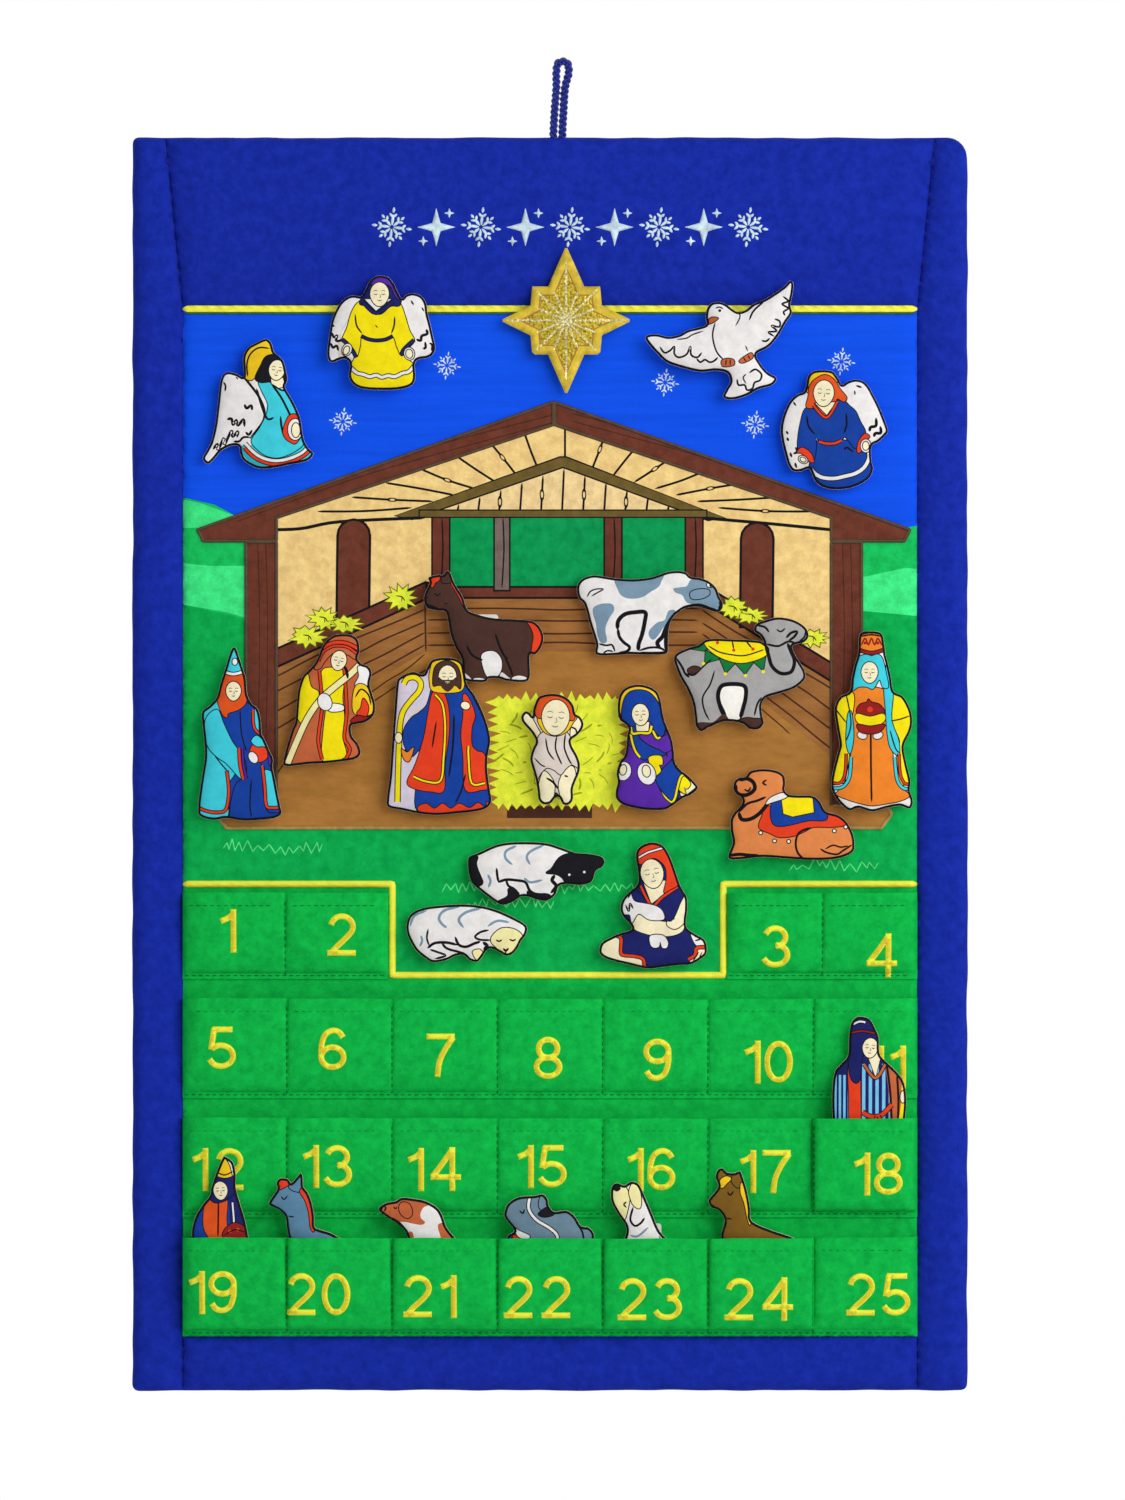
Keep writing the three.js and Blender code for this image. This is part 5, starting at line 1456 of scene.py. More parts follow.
# Each figure's print from back to front: what is drawn, its ink, and points in hundredths of the
# figure's width and height from its lower left corner. Sizes within a row are millimetres, and an
# indented line goes on with the row above it.
figurePrints = {
    "angel_yellow": """
outline 18.8 81.5 12 76.5 6.7 68 3.3 59 1.2 46 -0.5 33 1 26 4.5 24 10 26 15.5 27.3 19.5 25 20.5 20 19.5
    13.5 21.5 7.5 27 2.8 36 0.6 50 0 64 0.4 75 2.8 80 7 81 14 80.5 22 83.5 26.5 92 28 97 31 99.5 37 97.6
    46 95 57 92.5 66 91 75.5 86.5 82 78.7 84.6 72 83 68.5 80 64.5 86 61 93 56.5 98.2 49.5 100 43 98.8 38
    94 34.5 87 30.5 81.9 25 82.6
base white
wash linen 11 24 16 40 13 50 24 66 33 80 25 90 34 80 18 60 10 44
line 0.7 4.5 57 6.5 55
line 0.9 4 50 6 46 9 47.5 8 43 12 43 14 45
line 0.9 3 41 5 37 8.5 38.5 10 34
line 0.7 77 78 79.5 74
line 0.6 87 72 89 68.5
line 1.0 91 53 92 49 87 47 86 43 82 44
line 0.9 90 42 90.5 37 88 36
line 0.8 94 41 96.5 39 96 34
blob yellow 31 48 29 38 25 28 21 20 21 10 27 3 36 1 50 0 64 0.6 75 3 80 8 80.5 20 73 28 66 38 62 48
band white 1.5 20 21 27 15 33 13.5 39 11.5 45 12.8 50 11 56 12.4 62 11.5 69 14.5 75 16 80 21.5
blob yellow 28 76 22 67 18.5 55 14 44 20 40 26.5 29 30 38 32 46.5 45 43.5 60 46.5 64 38 68.5 30 74 36 80
    43 75.5 52 71 66 67 75 60 78 36 78
line 0.6 25.5 66 27 56 32 49
line 0.6 62 64 61.5 56 59 49
line 0.4 44 56.5 46.5 54
band navy 1.3 13.5 44 19 39.5 24 33 26.5 28
band navy 1.3 80 43.5 74.5 39 70 34.5 68 30
oval white 18 35 2.3 3.1 -24
oval skin 17.5 34.5 1.3 2.1 -24
oval white 75.5 31.5 2.6 3.1 10
oval skin 75.5 31.5 1.6 2.1 10
band navy 1.1 31 47 38 44 46 43 54 44 60.5 47
blob navy 32.5 82 36 88 39 95 49.5 100 60 94 63 86 67.5 80 66 73.5 58 73 48 66 38 73 30 75
blob purple 40.5 92 45 98 50 99.4 57 97 62.5 89 66 79 62 83 58.5 90 50 93.5
cut white 34.5 79 44.8 69 58.5 79
band navy 1.2 32 77.5 45 66.8 61.5 77.5
face 48 83.3 9.6 0
""",
    "angel_turquoise": """
outline 12 50 14 65 16.5 72.2 21.5 74.8 29.5 73.4 35.5 71 35.8 77 35.5 86 39.6 93 47.5 97 56.5 100 61.5
    96.5 64 90 69 86.5 73 82 75 75 76.2 69 74 63.5 77 58.5 80.5 53.6 85 46 88.4 38 89.8 30 91.6 22.6 95.4
    17 100 13 96.5 8.5 89 6 79 4.6 67 2.4 53 1.2 43.5 3.4 35.5 8 32.5 13.5 31.5 18.2 24.5 18.6 15.5 14.8 9
    8.6 4 5 0 6.5 -1.5 10 2.5 16 6 22 9.5 34
base white
line 0.7 17.5 67 19.5 64 19 60
line 0.5 29 71 31 69
line 1.0 21 38.5 25 39 26.5 34.5 29.5 38 31 34 36 38.5 37 33
line 1.0 37 50 39 47 43 49 44 45.5
line 0.9 38 29 41 27 44 30.5
line 1.0 8 16 12 20 12.5 15.5 18 24.5 18.5 19.5 25 30 26 25.5 31 29.5 30 25
line 0.8 27 22 32 22 36 25 42 25
line 0.9 36 71 42 65 50 56 55 46 54.5 38 48 30 42 24
blob turquoise 46 20 43 24 50 32 56 42 60 52 80 50 89 36 91.5 22 95 16 98 11 90 7 79 5 67 3 53 2 44 5 37
    10 34 17
wash teal 34 17 38 9.5 48 3 60 1 60 4 50 8 42 14 38 20
band white 1.5 37.5 20.5 45 14 54 9.2 66 7.2 78 9 90 13.5 96.5 19.5
band red 1.2 36.5 17.5 44 11 54 6.4 66 4.6 79 6.4 91 11 98 16.5
blob turquoise 50 67 56 67.6 63 65 70 61 76 60 80.5 53 85 46 88 38 90 28 90.5 20 85 15.5 76 11.5 66 9.6 56
    11.5 48 16.5 43.5 22.5 51 32 57 42 58.5 50 53 60
line 0.8 48 62 53 48 58 39 64 40
line 0.8 62 65 70 56 77 45 79 41
line 0.8 70 41 71 33 74 25 80 21
blob red 79 42 75.5 38 72.5 30 74 25 79 21.5 84 20.5 88.5 27 88 36 84.5 42
oval white 83.3 31 3.6 5.4 0
oval skin 84 30.5 2.0 3.6 0
blob gold 36.5 77 36 86 40 92.6 47.5 96.4 56.5 99 61 95.5 63.5 89 54 80 46 70 41 68.5 37.5 71
line 0.6 40 71 39 80 42 88 50 93 60 92.5
blob coal 47 70 52 79.5 56.5 86 64.5 87.5 71 83 74.5 75 75.8 68 72.5 63 69 66 64 68 57 67 51 67
cut skin 61 72 62 65.5 68 62.5 74 63.5 72 70
line 0.6 62 65.5 70 61 76 60.5
face 66.5 76 8.0 -8
""",
    "angel_blue": """
outline 21.7 82 15.5 79.7 8.7 74 3.3 64 0.2 52 1 42 4 30.5 7.3 20.7 12 15.5 19 15.3 26.5 17.3 29.6 12.6
    32.5 6.9 40 1.8 51 0 64 1 75 4.6 83 9.8 86.6 16.7 85.4 22.6 84.6 30.5 85.6 37 91.5 40 97.5 45 100.5
    49.5 97.4 58 92 70 85.4 81.7 82 86.8 77.4 90.8 70.6 92.4 63 90.8 57.5 88 54.5 92.5 49.5 98.6 44 100
    37.5 100.2 30 99 25.5 94.5 24 87.6
base white
line 0.7 12 73.5 14.5 70
line 0.8 5.5 49 7 46
line 0.9 6 43.5 7.5 40.5
line 0.9 9 31 10.5 27
line 0.9 14 35.5 15.5 31.5 12 30
line 0.9 13.5 22.5 15 18
line 0.8 70.5 87 76 85.5
line 0.6 69 83 69.5 79
line 1.1 89 60 89 53.5 84 52 83 48.5
line 1.1 93 53 93.5 47.5 88.5 47 87 44
blob royal 33 40 33 34 27 20 33 8 41 2.5 51 1 64 2 75 5.6 82.5 10.5 85.6 17 83.5 24 74 36 60 41
line 0.7 59 33 62 35 68 31
band white 1.7 29 16.5 33.5 12.5 40 9.8 50 9.2 60 11 70 13.5 78 18.5 82.5 26 82.5 31
blob royal 28 70 22 66 18.5 55 16.5 44 16.5 34.5 23 34 30.5 24.5 33 35 33 43 36 41.5 47 39.5 57 42 60 44
    66 38 70 34.5 75 41 79 48 74 57 70 65 64 70 58 74 40 74
line 0.7 24.5 62 26 53 32 46
line 0.7 61 64 61.5 54 59 47
blob red 15.5 31 20 35 28 30.5 31 23 26 24 20 30
oval white 21 25 2.4 1.7 -30
oval skin 21 25 1.4 0.9 -30
blob red 71.5 31.5 73 40 78.5 46.5 83 44 78 40 75 32
oval white 79.5 36.5 2.6 3.3 0
oval skin 79.5 36.5 1.5 2.1 0
band red 1.2 36 40 42 38.5 50 38.5 57 41
blob gold 26 81 25.5 90 29 97 37 99.6 45 99.6 50 97 54.5 91 40 88
blob hair 24.2 69 26 78 27 86 32 92 41.5 96 50 92 55.5 84 61.5 77 59 73.5 53 76 50 71 42 60.5 33 67.5
cut skin 32.5 72 43 62.5 51.5 73
band red 1.0 30.5 70.5 42.8 60 53 73.5
face 40.3 80.5 10.4 -4
""",
    "dove": """
outline 0 52 2 55 8 55.5 15 53.5 22 55 28 59 36 61.5 40 64 39.5 70 40.5 77 43.5 81.5 48.5 82.5 53 80.5 57
    76.5 61 74 66 76 71 81 78 84.5 85 90 91 95.5 94.5 100 97 98 96.5 89 95 80 96 73 92 65 87 54 81 45 73
    39 75 32 80 24 86 19 83 13 74 9.5 66 4 57 1 51 3 53 10 55.5 16 53.5 23 46 25 36 24 24 27.5 14 32 8 39
    3 46
base white
line 0.6 45.7 65 44 54 46.5 41 51.5 33.5
line 0.5 57 76 62 71 59 62
line 0.7 78 83 71 75 68 67
line 0.7 90 87 93.5 83 89.5 80.5 93.5 77 90.5 74 91.5 71
line 0.7 84.5 68 88 66 87.5 61.5 82.5 62.5 86 58 80.5 57 84.5 53.5
line 0.7 76 50 79 49.5 81.5 52
line 0.7 9.5 45 12.5 40 16 41.5 19 45 19 39 22 36 27 38.5 29.5 45 30 38 34 36 37 40
line 0.7 33.5 35 36 32 39 34 42 32 45 33 47.5 36
line 0.5 20.5 51 27 52 31 55 38 58
line 0.7 60 18 61 13 65 13 66.5 9 70 10 71.5 15 75 17 76 22 72 26 68 23
line 0.5 66 14 64 19 66 22
line 0.5 65.5 46 67 41
blob rust 50 33 53 34.8 57.5 34 58 30 54 28.5 50.5 29
line 0.5 53 34.5 52.5 29
line 0.5 55.5 34.5 55.5 29
blob rust 61.5 33 66 37.5 69.5 39.5 70 35.5 64 31.5
line 0.5 64 36 66 32.5
line 0.5 67 38 68.5 34.5
blob rust 40.3 64 43 69 47.5 68.5 44 65
dot coal 48.7 75 0.8
line 0.5 46 77 48.5 78 51 76.5
""",
    "donkey_brown": """
outline 0 72 0.5 66 3 62 10 60 17 59 19 52 21 40 25 28 30 18 31 4 34 -1 48 -2 52 1 60 1 66 -1 80 -2 84.5 3
    84.5 21 89 22 93.5 28 95.5 36 93.5 44 89 49.5 84 51.5 72 52.5 60 53 50 54.5 42 57 36 59.5 33.5 64 31
    72 27 79 23.5 86 21 93 18 94.5 15.5 91 12 91 8 90.5 3.5 88.5 4.5 84 2 78
base brown
blob white 46 21 50.5 24.5 57 24 61.5 18 62 10 59 3.5 53 1.5 49.5 4.5 47 12
wash white 30 7 34 4.5 38 0 36 -5 28 -5
wash white 39.5 0.5 44 1.5 49 0 50 -5 39 -5
wash white 61.5 6 66 3.5 69.5 0 70 -5 60 -5
wash white 70.5 1.5 76 3.5 82 1.5 86 -5 70 -5
line 0.8 34 30 38 22 43 18.5 47 17
line 0.8 57 40 60 30 64 21 67 18
line 0.8 64 21 68 12 71 3
line 0.6 39 1 38.5 -3
blob red 82.7 50 88 48.5 92.5 42 93.4 34 90 26 86 21.5 86.5 30 87.5 38 85.5 45
blob red 22 88 25.5 83.5 31 74 35.5 60 32 63 27 74 22 83
blob red 5.5 81 5.5 86 8.5 89 12.5 89.5 12 86 9 84 7.5 80.5
blob brown 15 84 14.5 90 18 94.5 20.5 92 21.5 85
line 0.5 8.5 75 11 73 13.5 75.5
line 0.5 1.5 70 3 72
line 0.6 1 65.5 6 64 12 61.5
line 0.5 16.5 66 19 66
""",
    "cow": """
outline 0 73 0.4 81 3 87 7 90.5 12.5 92 19 90.5 27 88.5 39 87.5 50 89.5 57 93 62.5 96 69.5 97 75 95 78
    90.5 84 89 90.5 85 95.5 77 97.5 68 100 60 99 52.5 95.5 50 90 52.5 83 56 76 55 71.5 52 66 44 63.5 35
    62.5 22 62.5 10 62 4 58 1.5 45 1.5 36 2 27 1 16 0.5 12.5 4 13 13 11 25 8.5 38 6.5 51 4.5 60 1.5 65
base white
wash blueGrey 27 95 28 75 32 67 38 65 45 67 50.5 73 55.5 78 57.5 84 57 94
wash blueGrey 17 92 21 88 29 86.5 29 92
wash blueGrey 11.5 55.5 17.5 59.5 24 59 25.5 52 22 42.5 19.5 31 20.5 16.5 16.5 15 14 24 13 36.5 11 48
wash blueGrey 49.5 22 49.5 29 55 38 60 41 62.5 51 67 52 65.5 44 60 34 55 22 52 18.5
wash blueGrey 66 76.5 70 78 75 79.5 77.5 86 82 89.5 91 86 95 77 98 67 101 60 100 50 93 52 84 57.5 75.5
    60.5 72 69 67.5 72
line 1.1 70.5 53 76 56.5 84 58 91 54 96 51.5
line 1.5 27.8 30 28.3 40 33 47.5 40 49.7 46.7 49.5 46.5 40 44.5 24 42.3 14 42 6
line 1.1 28 31 29 22 32 15.5 36 10 34 5 28 3
line 1.5 70 52 65 43 61 32 58.5 22 55 15 57 8
line 1.1 61 26 60.5 16 61 6
line 0.8 42.5 6 50 9.5 57 9 60 4.5 50 3.5 43 4
line 0.7 15 14 20 12 24 12.5 26 5
line 0.6 18 3 21 6 25 5
line 0.5 7 67 9 73 13 76 18 76 14 72 10 68
blob blueGrey 77.5 71.5 82 75.5 89.5 75.5 90.5 70 85.5 65.5 79 65
oval white 91 81 1.5 1.2 0
dot coal 91.5 80 0.7
line 1.1 97 53 98.5 58 97.5 62
""",
    "camel_grey": """
outline 1.5 63 3.5 68 11 72.5 18 75 23 79.5 30 80.5 41 80 52 79.5 60 78.5 62.5 77 60 83 56 87 57 93 63.5
    96.5 72.5 99 83 96.5 90.5 90.5 93 83 90 77.5 84 75.5 82 73 84 66 87 60 90.5 52 90 45 83 37.5 72.5 33
    64 29.5 61 23 61.5 14 62.5 7.5 59 2.5 53 2.5 48 7 41 9 34 8.5 25.5 4 20 0.5 16.5 5 15.5 14 14 25.5
    10.5 36.5 6 46.5 3 55.5
base grey
blob pale 32 30 33 36.5 36 39.5 46.5 39.5 49.5 36.5 49 25 46.5 12 39 11 36 18.5
line 1.5 36 13 33 21 31.3 31 33 38.5 37 41 46 41 50 38 50 29 48 19 46.5 12
wash brown 14 6 20 8.5 28 8.5 34 15 37 14 38.5 9 30 6 22 -3 14 -3
blob brown 46 9 50 12 56 11.5 62 10.5 63 5 58 0 50 1
cut leaf 12 71.5 22 77 24 69.5
cut leaf 23 70 22.5 59.5 33 63
cut leaf 32.5 63 36.6 51 43 59.5
cut leaf 42.5 60 49.7 50 55.5 60.5
cut leaf 55 61 62 53 64 69
blob yellow 22 77.5 26.5 83 41 82 55 81 64.5 73.5 64.5 67 57 62 46.5 59.5 36 62.5 27 69
line 0.5 24.5 74.5 32 69 41 66.5 50 66 62.5 71
line 0.6 41 79 42 71
line 0.6 50 79 54.5 72
dot red 42 70.5 0.9
dot red 55 71.5 0.9
dot red 31 77 0.9
dot yellow 21.5 59 0.9
dot yellow 36.3 50 0.9
dot yellow 50 48.5 0.9
dot yellow 62 52 0.9
line 0.8 3 64 7 56 9 50.5 12 47
line 0.6 9.5 50.5 15 49 21 56 27 63
blob brown 11 54 15 56.5 19 55 17 51.5 12 50.5
line 0.6 29 53 26 41 21 30 22 19 25.5 10
line 0.7 61 30 58 24 56 14
line 1.3 63.5 76 65.5 66.5 68 56.5 74 50.5 81 52 83.2 61 81 69 78.5 76.5
line 0.8 64 76 72 74 79 78 84 76.5
line 0.8 57.5 92 63 90.5 66 86
line 0.6 71 88.5 74 86.5 77 89.5
line 0.9 77.5 81 81 85.5 85 86.5 83 82 79.5 79
line 0.7 86 77.5 90 82 91 88
""",
    "camel_resting": """
outline 12 86 17 87 20.5 92.5 28.5 95 39 94 46.5 89 48 80.5 47.5 73 51 68.5 57 67.5 69 67 75 61 79.5 51 89
    47 95 41 98.5 34 101 26 102 17 101 9 94 3.5 83 0.5 66 0 48 1.5 30 3 16 1 6 0.5 3.5 4 5.5 12 7 19 5.5
    31 5.5 42.5 8.5 50 11.5 54 14.5 60 13.5 65.5 9.5 69 7.5 75 8.5 82
base camel
blob red 27.5 34 30 46 35.5 56 79 50 89 44 95 37 84 34.5 70 34.5 62 29.5 53.5 25 43 24 36 28
blob royal 37.5 60 36.5 48 38.5 38 44.5 35.5 55 38 66 41.5 79 42 80 50 75 61 69 66 48 66 41 63.5
cut yellow 45 64.5 46.5 48.5 53.5 45.5 70 50 69 65.5 57 66.5
line 0.8 68 34 59 29 56 19 57.5 8 63 0
line 0.7 75 12 80 8 88 6 93 10 100 16
line 0.6 79 11.5 85 15.5 91 13.5 97 15
line 1.4 11.8 50 14 42.5 21 43 28 49 33 57 35.5 62
line 0.9 12 50 18 58.5 26 62 33 66
blob white 33 58.5 36 64.5 44 69.5 49 69 48 65 38 60.5
line 1.4 12 83 18 85 23 81 24 74 19 68.5 13 68 9.5 72 9.5 79
line 0.7 16 74 19 72 21 76
line 0.7 33.5 84 30.5 80.5 33.5 78
dot coal 28.7 28.5 1.3
dot pale 28.7 28.5 0.7
dot coal 39.5 20 1.3
dot pale 39.5 20 0.7
dot coal 50.5 19.5 1.3
dot pale 50.5 19.5 0.7
dot coal 86 30.5 1.3
dot pale 86 30.5 0.7
dot coal 95 34.5 1.3
dot pale 95 34.5 0.7
line 1.2 4 4.5 12 6 20 5 28 4.5
line 1.0 46 74 47.5 80 46 87
""",
    "king_turquoise": """
outline 16.9 0.6 33 1.6 53 0.2 73 0.6 91 1.6 100 4.2 98.4 9.4 95.6 16 92 25 89.5 31 90 35.5 85 41 80 46.5
    76 50.5 75 57.7 71.5 64.4 64 67.6 58.5 73 56.5 82.5 50.5 91.5 45.5 98.6 41.8 100 37.5 96.5 31 86.5
    25.7 78.7 21.2 71 12.5 66.3 3.6 62.5 4.4 54 6.2 46.3 7 36.8 4 27.2 1 17.7 -1.2 8.2 0.8 3
base royal
blob turquoise 4.5 62 12 66 20 70 28 64 34 52 40 40 46 30 42 26 35 20 36 8 33 2 17 1.6 1 4 0 9 3 20 6 30 8
    40 5.5 52
band red 1.1 0 7.5 8 6 18 5 30 5.5 34.5 9 36.5 18 34 29
line 0.5 9 58 10 46 22 36 36 28
blob royal 30 64 29 54 44 44 56 36 58 26 44 20 38 1.6 53 0.8 73 1 91 2 99 4.6 84 5 78 14 76 30 72 42 74 56
    70 64 56 68 40 68
line 0.5 50 64 52 50 58 40
line 0.5 64 24 62 10 64 2
blob turquoise 80 29 92 26 95 16 98 9 90 8.4 84 9.6 82 18
band red 1.1 77 32 80 20 82 9 90 7.6 99 8
blob turquoise 70 66 74 58 75 51 68 52 66 60
band red 0.9 65.5 64 67 54 74 50
blob turquoise 8 58 22 64 30 56 40 46 48 40 48 32 51 24.5 34 33 22 37 10 44
band red 1.2 49 42 50 33 54 24
band purple 0.8 53 42 54 33 58 24
blob red 62 38 66 44 76 45 84 41 82 36 72 34
blob turquoise 64 46 70 49 78 46 84 42 78 43 70 43
oval white 66 36.5 2.0 3.0 30
blob purple 84 40 86 32 90 33 87 40
blob hair 22 71 25 78 29 86 42 85.5 56 85 58.5 76 57 68 48 64 36 62 34 59.5 28 62
face 42 74.6 7.6 0
cut turquoise 31.5 87 35.5 93 41.8 100 46.5 97 51 90 53 86.5 42 85.4
band white 1.3 31 85.6 42 84.4 54 85.8
oval white 43.5 91.5 1.2 1.6 0
""",
    "king_orange": """
outline 33.5 99.6 48.7 101 61 99.6 64.5 93 66 88 69 83 73 75 76 67.6 88 64.6 97.5 57 99.6 50 96.5 44.4 89
    37 92.4 27.2 97.4 17.7 96.5 12.5 100.5 6.3 96.5 2.2 83.5 3.8 66 2.4 48.7 0.6 31.3 2.6 20.4 1.2 9.6 4.6
    0.4 10 -3 15.4 -0.6 23.4 5 33 7.6 38 4.6 46.3 1.4 57.7 7.8 64.4 20.4 67.6 23 75 27 82.8 31 88.6
base white
blob orange 22 70 20 60 20 48 22 40 22 30 20 20 6 12 4 10 20 7 36 5 48.7 4 66 5 84 6.6 96 9.6 86 14 78 24
    74 34 72 46 70 58 66 68
line 0.7 47 60 47 30 48 6
blob yellow 22 67 9 64.4 2.4 57.7 5.4 46.3 8.6 39 5.6 32 1 23.4 -1 16 8 17 14 18 20 34 18 44 24 56 26 64
blob turquoise 16 40 20 33 24 38 25 46 22 56 18 54
band turquoise 1.2 0 13.5 12 14.5 20 20 22 31
band red 0.9 0 16.4 9 16.8 14.5 22 16 33
line 0.5 2 58 16 50
line 0.5 16 66 22 50 16 40
blob yellow 76 67 88 64 97 57 99 50 96 44.6 88.6 37 91.6 28 96.6 18.4 90 15.6 82 18 80 36 84 40 74 50 70 58
blob turquoise 68 84 72 75 75 66 73 52 82 40 82 32 72 36 68 44 66 56 64 70
band turquoise 1.2 96.5 13 87 14 80 19 77 31
band red 0.9 97 16 89.6 16.4 84 22 82.6 33
line 0.5 72 51 84 52 97 54
line 0.5 71 46 78 36 84 33
oval white 36 43 2.4 1.7 -20
oval white 56 43 2.4 1.7 20
blob maroon 29 56 33 60 42 61.4 44 63 48 61.4 58 60 64 56 56 53.6 38 53.6
blob yellow 28 52 30 55 46 53.4 62 55 65 52 58 49 46 48 34 49
blob maroon 30 49 34 45 46 44 58 45 64 49 46 48
dot red 46 57.4 1.5
blob turquoise 22 68 25 76 31 86 46 88 60 87 66 78 69 70 62 70 58 74 50 69 42 70 32 70
face 45.5 78 8.4 0
cut orange 31.5 90 33 98.6 48 100 61.5 98.6 63 90 48 87.6
band maroon 1.4 31.6 90.6 48 88.8 63.5 90.6
wave maroon 0.9 35 93 40 97 44 93.4 48 97 52 93.4 56 97 61 93
dot maroon 40 94.4 0.8
dot maroon 56 94.4 0.8
line 0.6 33 98 48 99 61 98
""",
    "shepherd_lantern": """
outline 49.3 96.6 57.7 99.4 71.8 99.4 80.5 95.4 82.6 87 80.4 81.4 84.5 77.4 91.5 75.5 95.6 70.4 93.4 61.7
    96.4 54 99.4 46 97.6 38.3 88.7 33.2 77.5 31.6 73.4 30 74.4 22.8 80.8 17 83.6 10 77.5 5.4 60.6 3.4 43.7
    2.2 26.8 1.6 12.7 0.4 4.2 0 -0.4 1.4 1.2 9 5.2 18.9 9.6 28.6 12.6 33.5 14.2 46 16 57.8 20.6 67.5 26.8
    72.2 33.8 77.6 38 83.4 42 90.6
base rust
blob yellow 43 73 42 60 46 44 44 30 42 6 52 4 64 6 68 10 64 22 66 36 64 52 66 66 62 73
band red 1.1 39 72 41 58 42 44 39 28 38 18 42 5
band red 1.1 66 73 67.6 58 68.6 40 66 22 70 16 72 12 68 6
blob pale 50 47 64 46 64 42 50 41.5
blob yellow 26 70 20 66 17 56 15 45 14.5 38 21 32.5 30 42 36 48 38 56 30 60
band cream 2.9 4.5 2 14 18 26 36 40 50 56 60 72 69 82 76
oval white 45 48.5 3.4 4.4 20
blob white 81 75 92 75 95 70 92.6 63 90 60.6 78 61 82 68
blob gold 77 58 82 62 90 60 96 50 97 41 88 38 77 40 75 48
line 0.6 78 52 84 58 92 54 95 46
blob red 80 40 84 44 86.6 51 92 45 90 38 84 36
blob maroon 73 34 80 38 90 37 96 38 88 34.4 78 32.6
line 1.1 70 66 68 73 64 76
blob rust 34 73.6 37.5 82 43 91 50 95.6 58 98.2 71.6 98.2 79.4 94.4 81.4 87 78.6 80.6 70 84 56 86 46 80 40
    74
band red 1.5 38 84 46 90.6 58 93.4 70 92.4 81 88.4
band red 0.9 38 79 43 86 52 90 60 90.8 70 89.6 80 84.6
face 60 79.6 7.8 -12
""",
    "shepherd_boy": """
outline 35.6 87.3 36.7 94 42.4 98.4 51.6 100.2 60.8 97.4 66.8 89.6 71.3 79.6 76 67.8 79.5 62 83 56 83.2
    46.3 82 38.5 83 32.6 90.6 27.9 98.6 23.9 101 19 101 12.5 95 7.8 86 3.9 74.5 3.3 60.8 1.8 45.9 0.6 28.7
    3.8 14.9 6.6 5.7 9.6 1.5 14 3.8 20.9 11.5 25 21.8 28.9 31.5 31.6 29.4 36.5 24 41.4 21.4 46.3 21.8 52
    24.8 57 30.6 62 37.4 67.8 37.4 77.5
base navy
blob skin 22 27.6 21 20 22 13 32 10 42 7 45 1.6 28 4.6 14 7.6 5 10.8 2.4 14.4 5 20.4 12 24.6
band red 1.3 18 26.6 22 24 21.6 14 24 11.4 34 10.6 42 8.4 43.6 2
blob white 84 32.6 91 28 98 23.6 101 18 92 19 88 24 86 29
blob skin 92 18 101 16 100 11.6 95 8.4 86 6 88 10
band red 1.4 84 8 90 11.4 92 17 101 17.4
line 0.5 88 6 94 14
line 0.5 93 6.6 97 14
line 0.6 96 24 90 22.6
blob skin 34 32 44 28.4 56 26.4 70 27 79 31 81 40 82 52 82 57 77 50 68 38.6 58 38 46 40 38 43 32 37
blob skin 64 36 70 44 74 52 82 57.4 82.4 46 81 38 72 32
line 0.6 62 39 72 40
blob navy 36 65 42 58 50 51 58 44 68 38.6 76 52 80 61 70 66 60 60 52 50 44 60
cut skin 42 70 50 52 62 60 64 70
band red 1.1 40 66 45 57 51 50 60 57 74 65
blob white 22 55 26 58 30 61 34 54 44 52 54 50 60 46 61 39.6 48 39.4 38 44 32 37 30 43 24 44 22 50
line 0.7 26 51 29 46 30 52 33 48
line 0.5 31 60 28 56
blob white 49 26.6 49 20 52 17.4 56.6 18 58 22 60 17.4 64 17.4 65 22 60 27
blob red 36.6 86 37.4 93.4 43 97.6 51.6 99.2 60 96.4 66 89 70.6 79.4 75 68 66 62.6 61.6 61 64 72 62 82 52
    88 42 83
band white 0.8 38.4 88.2 46 92 54 94.2 62 96
face 50.6 75.5 11.6 10
""",
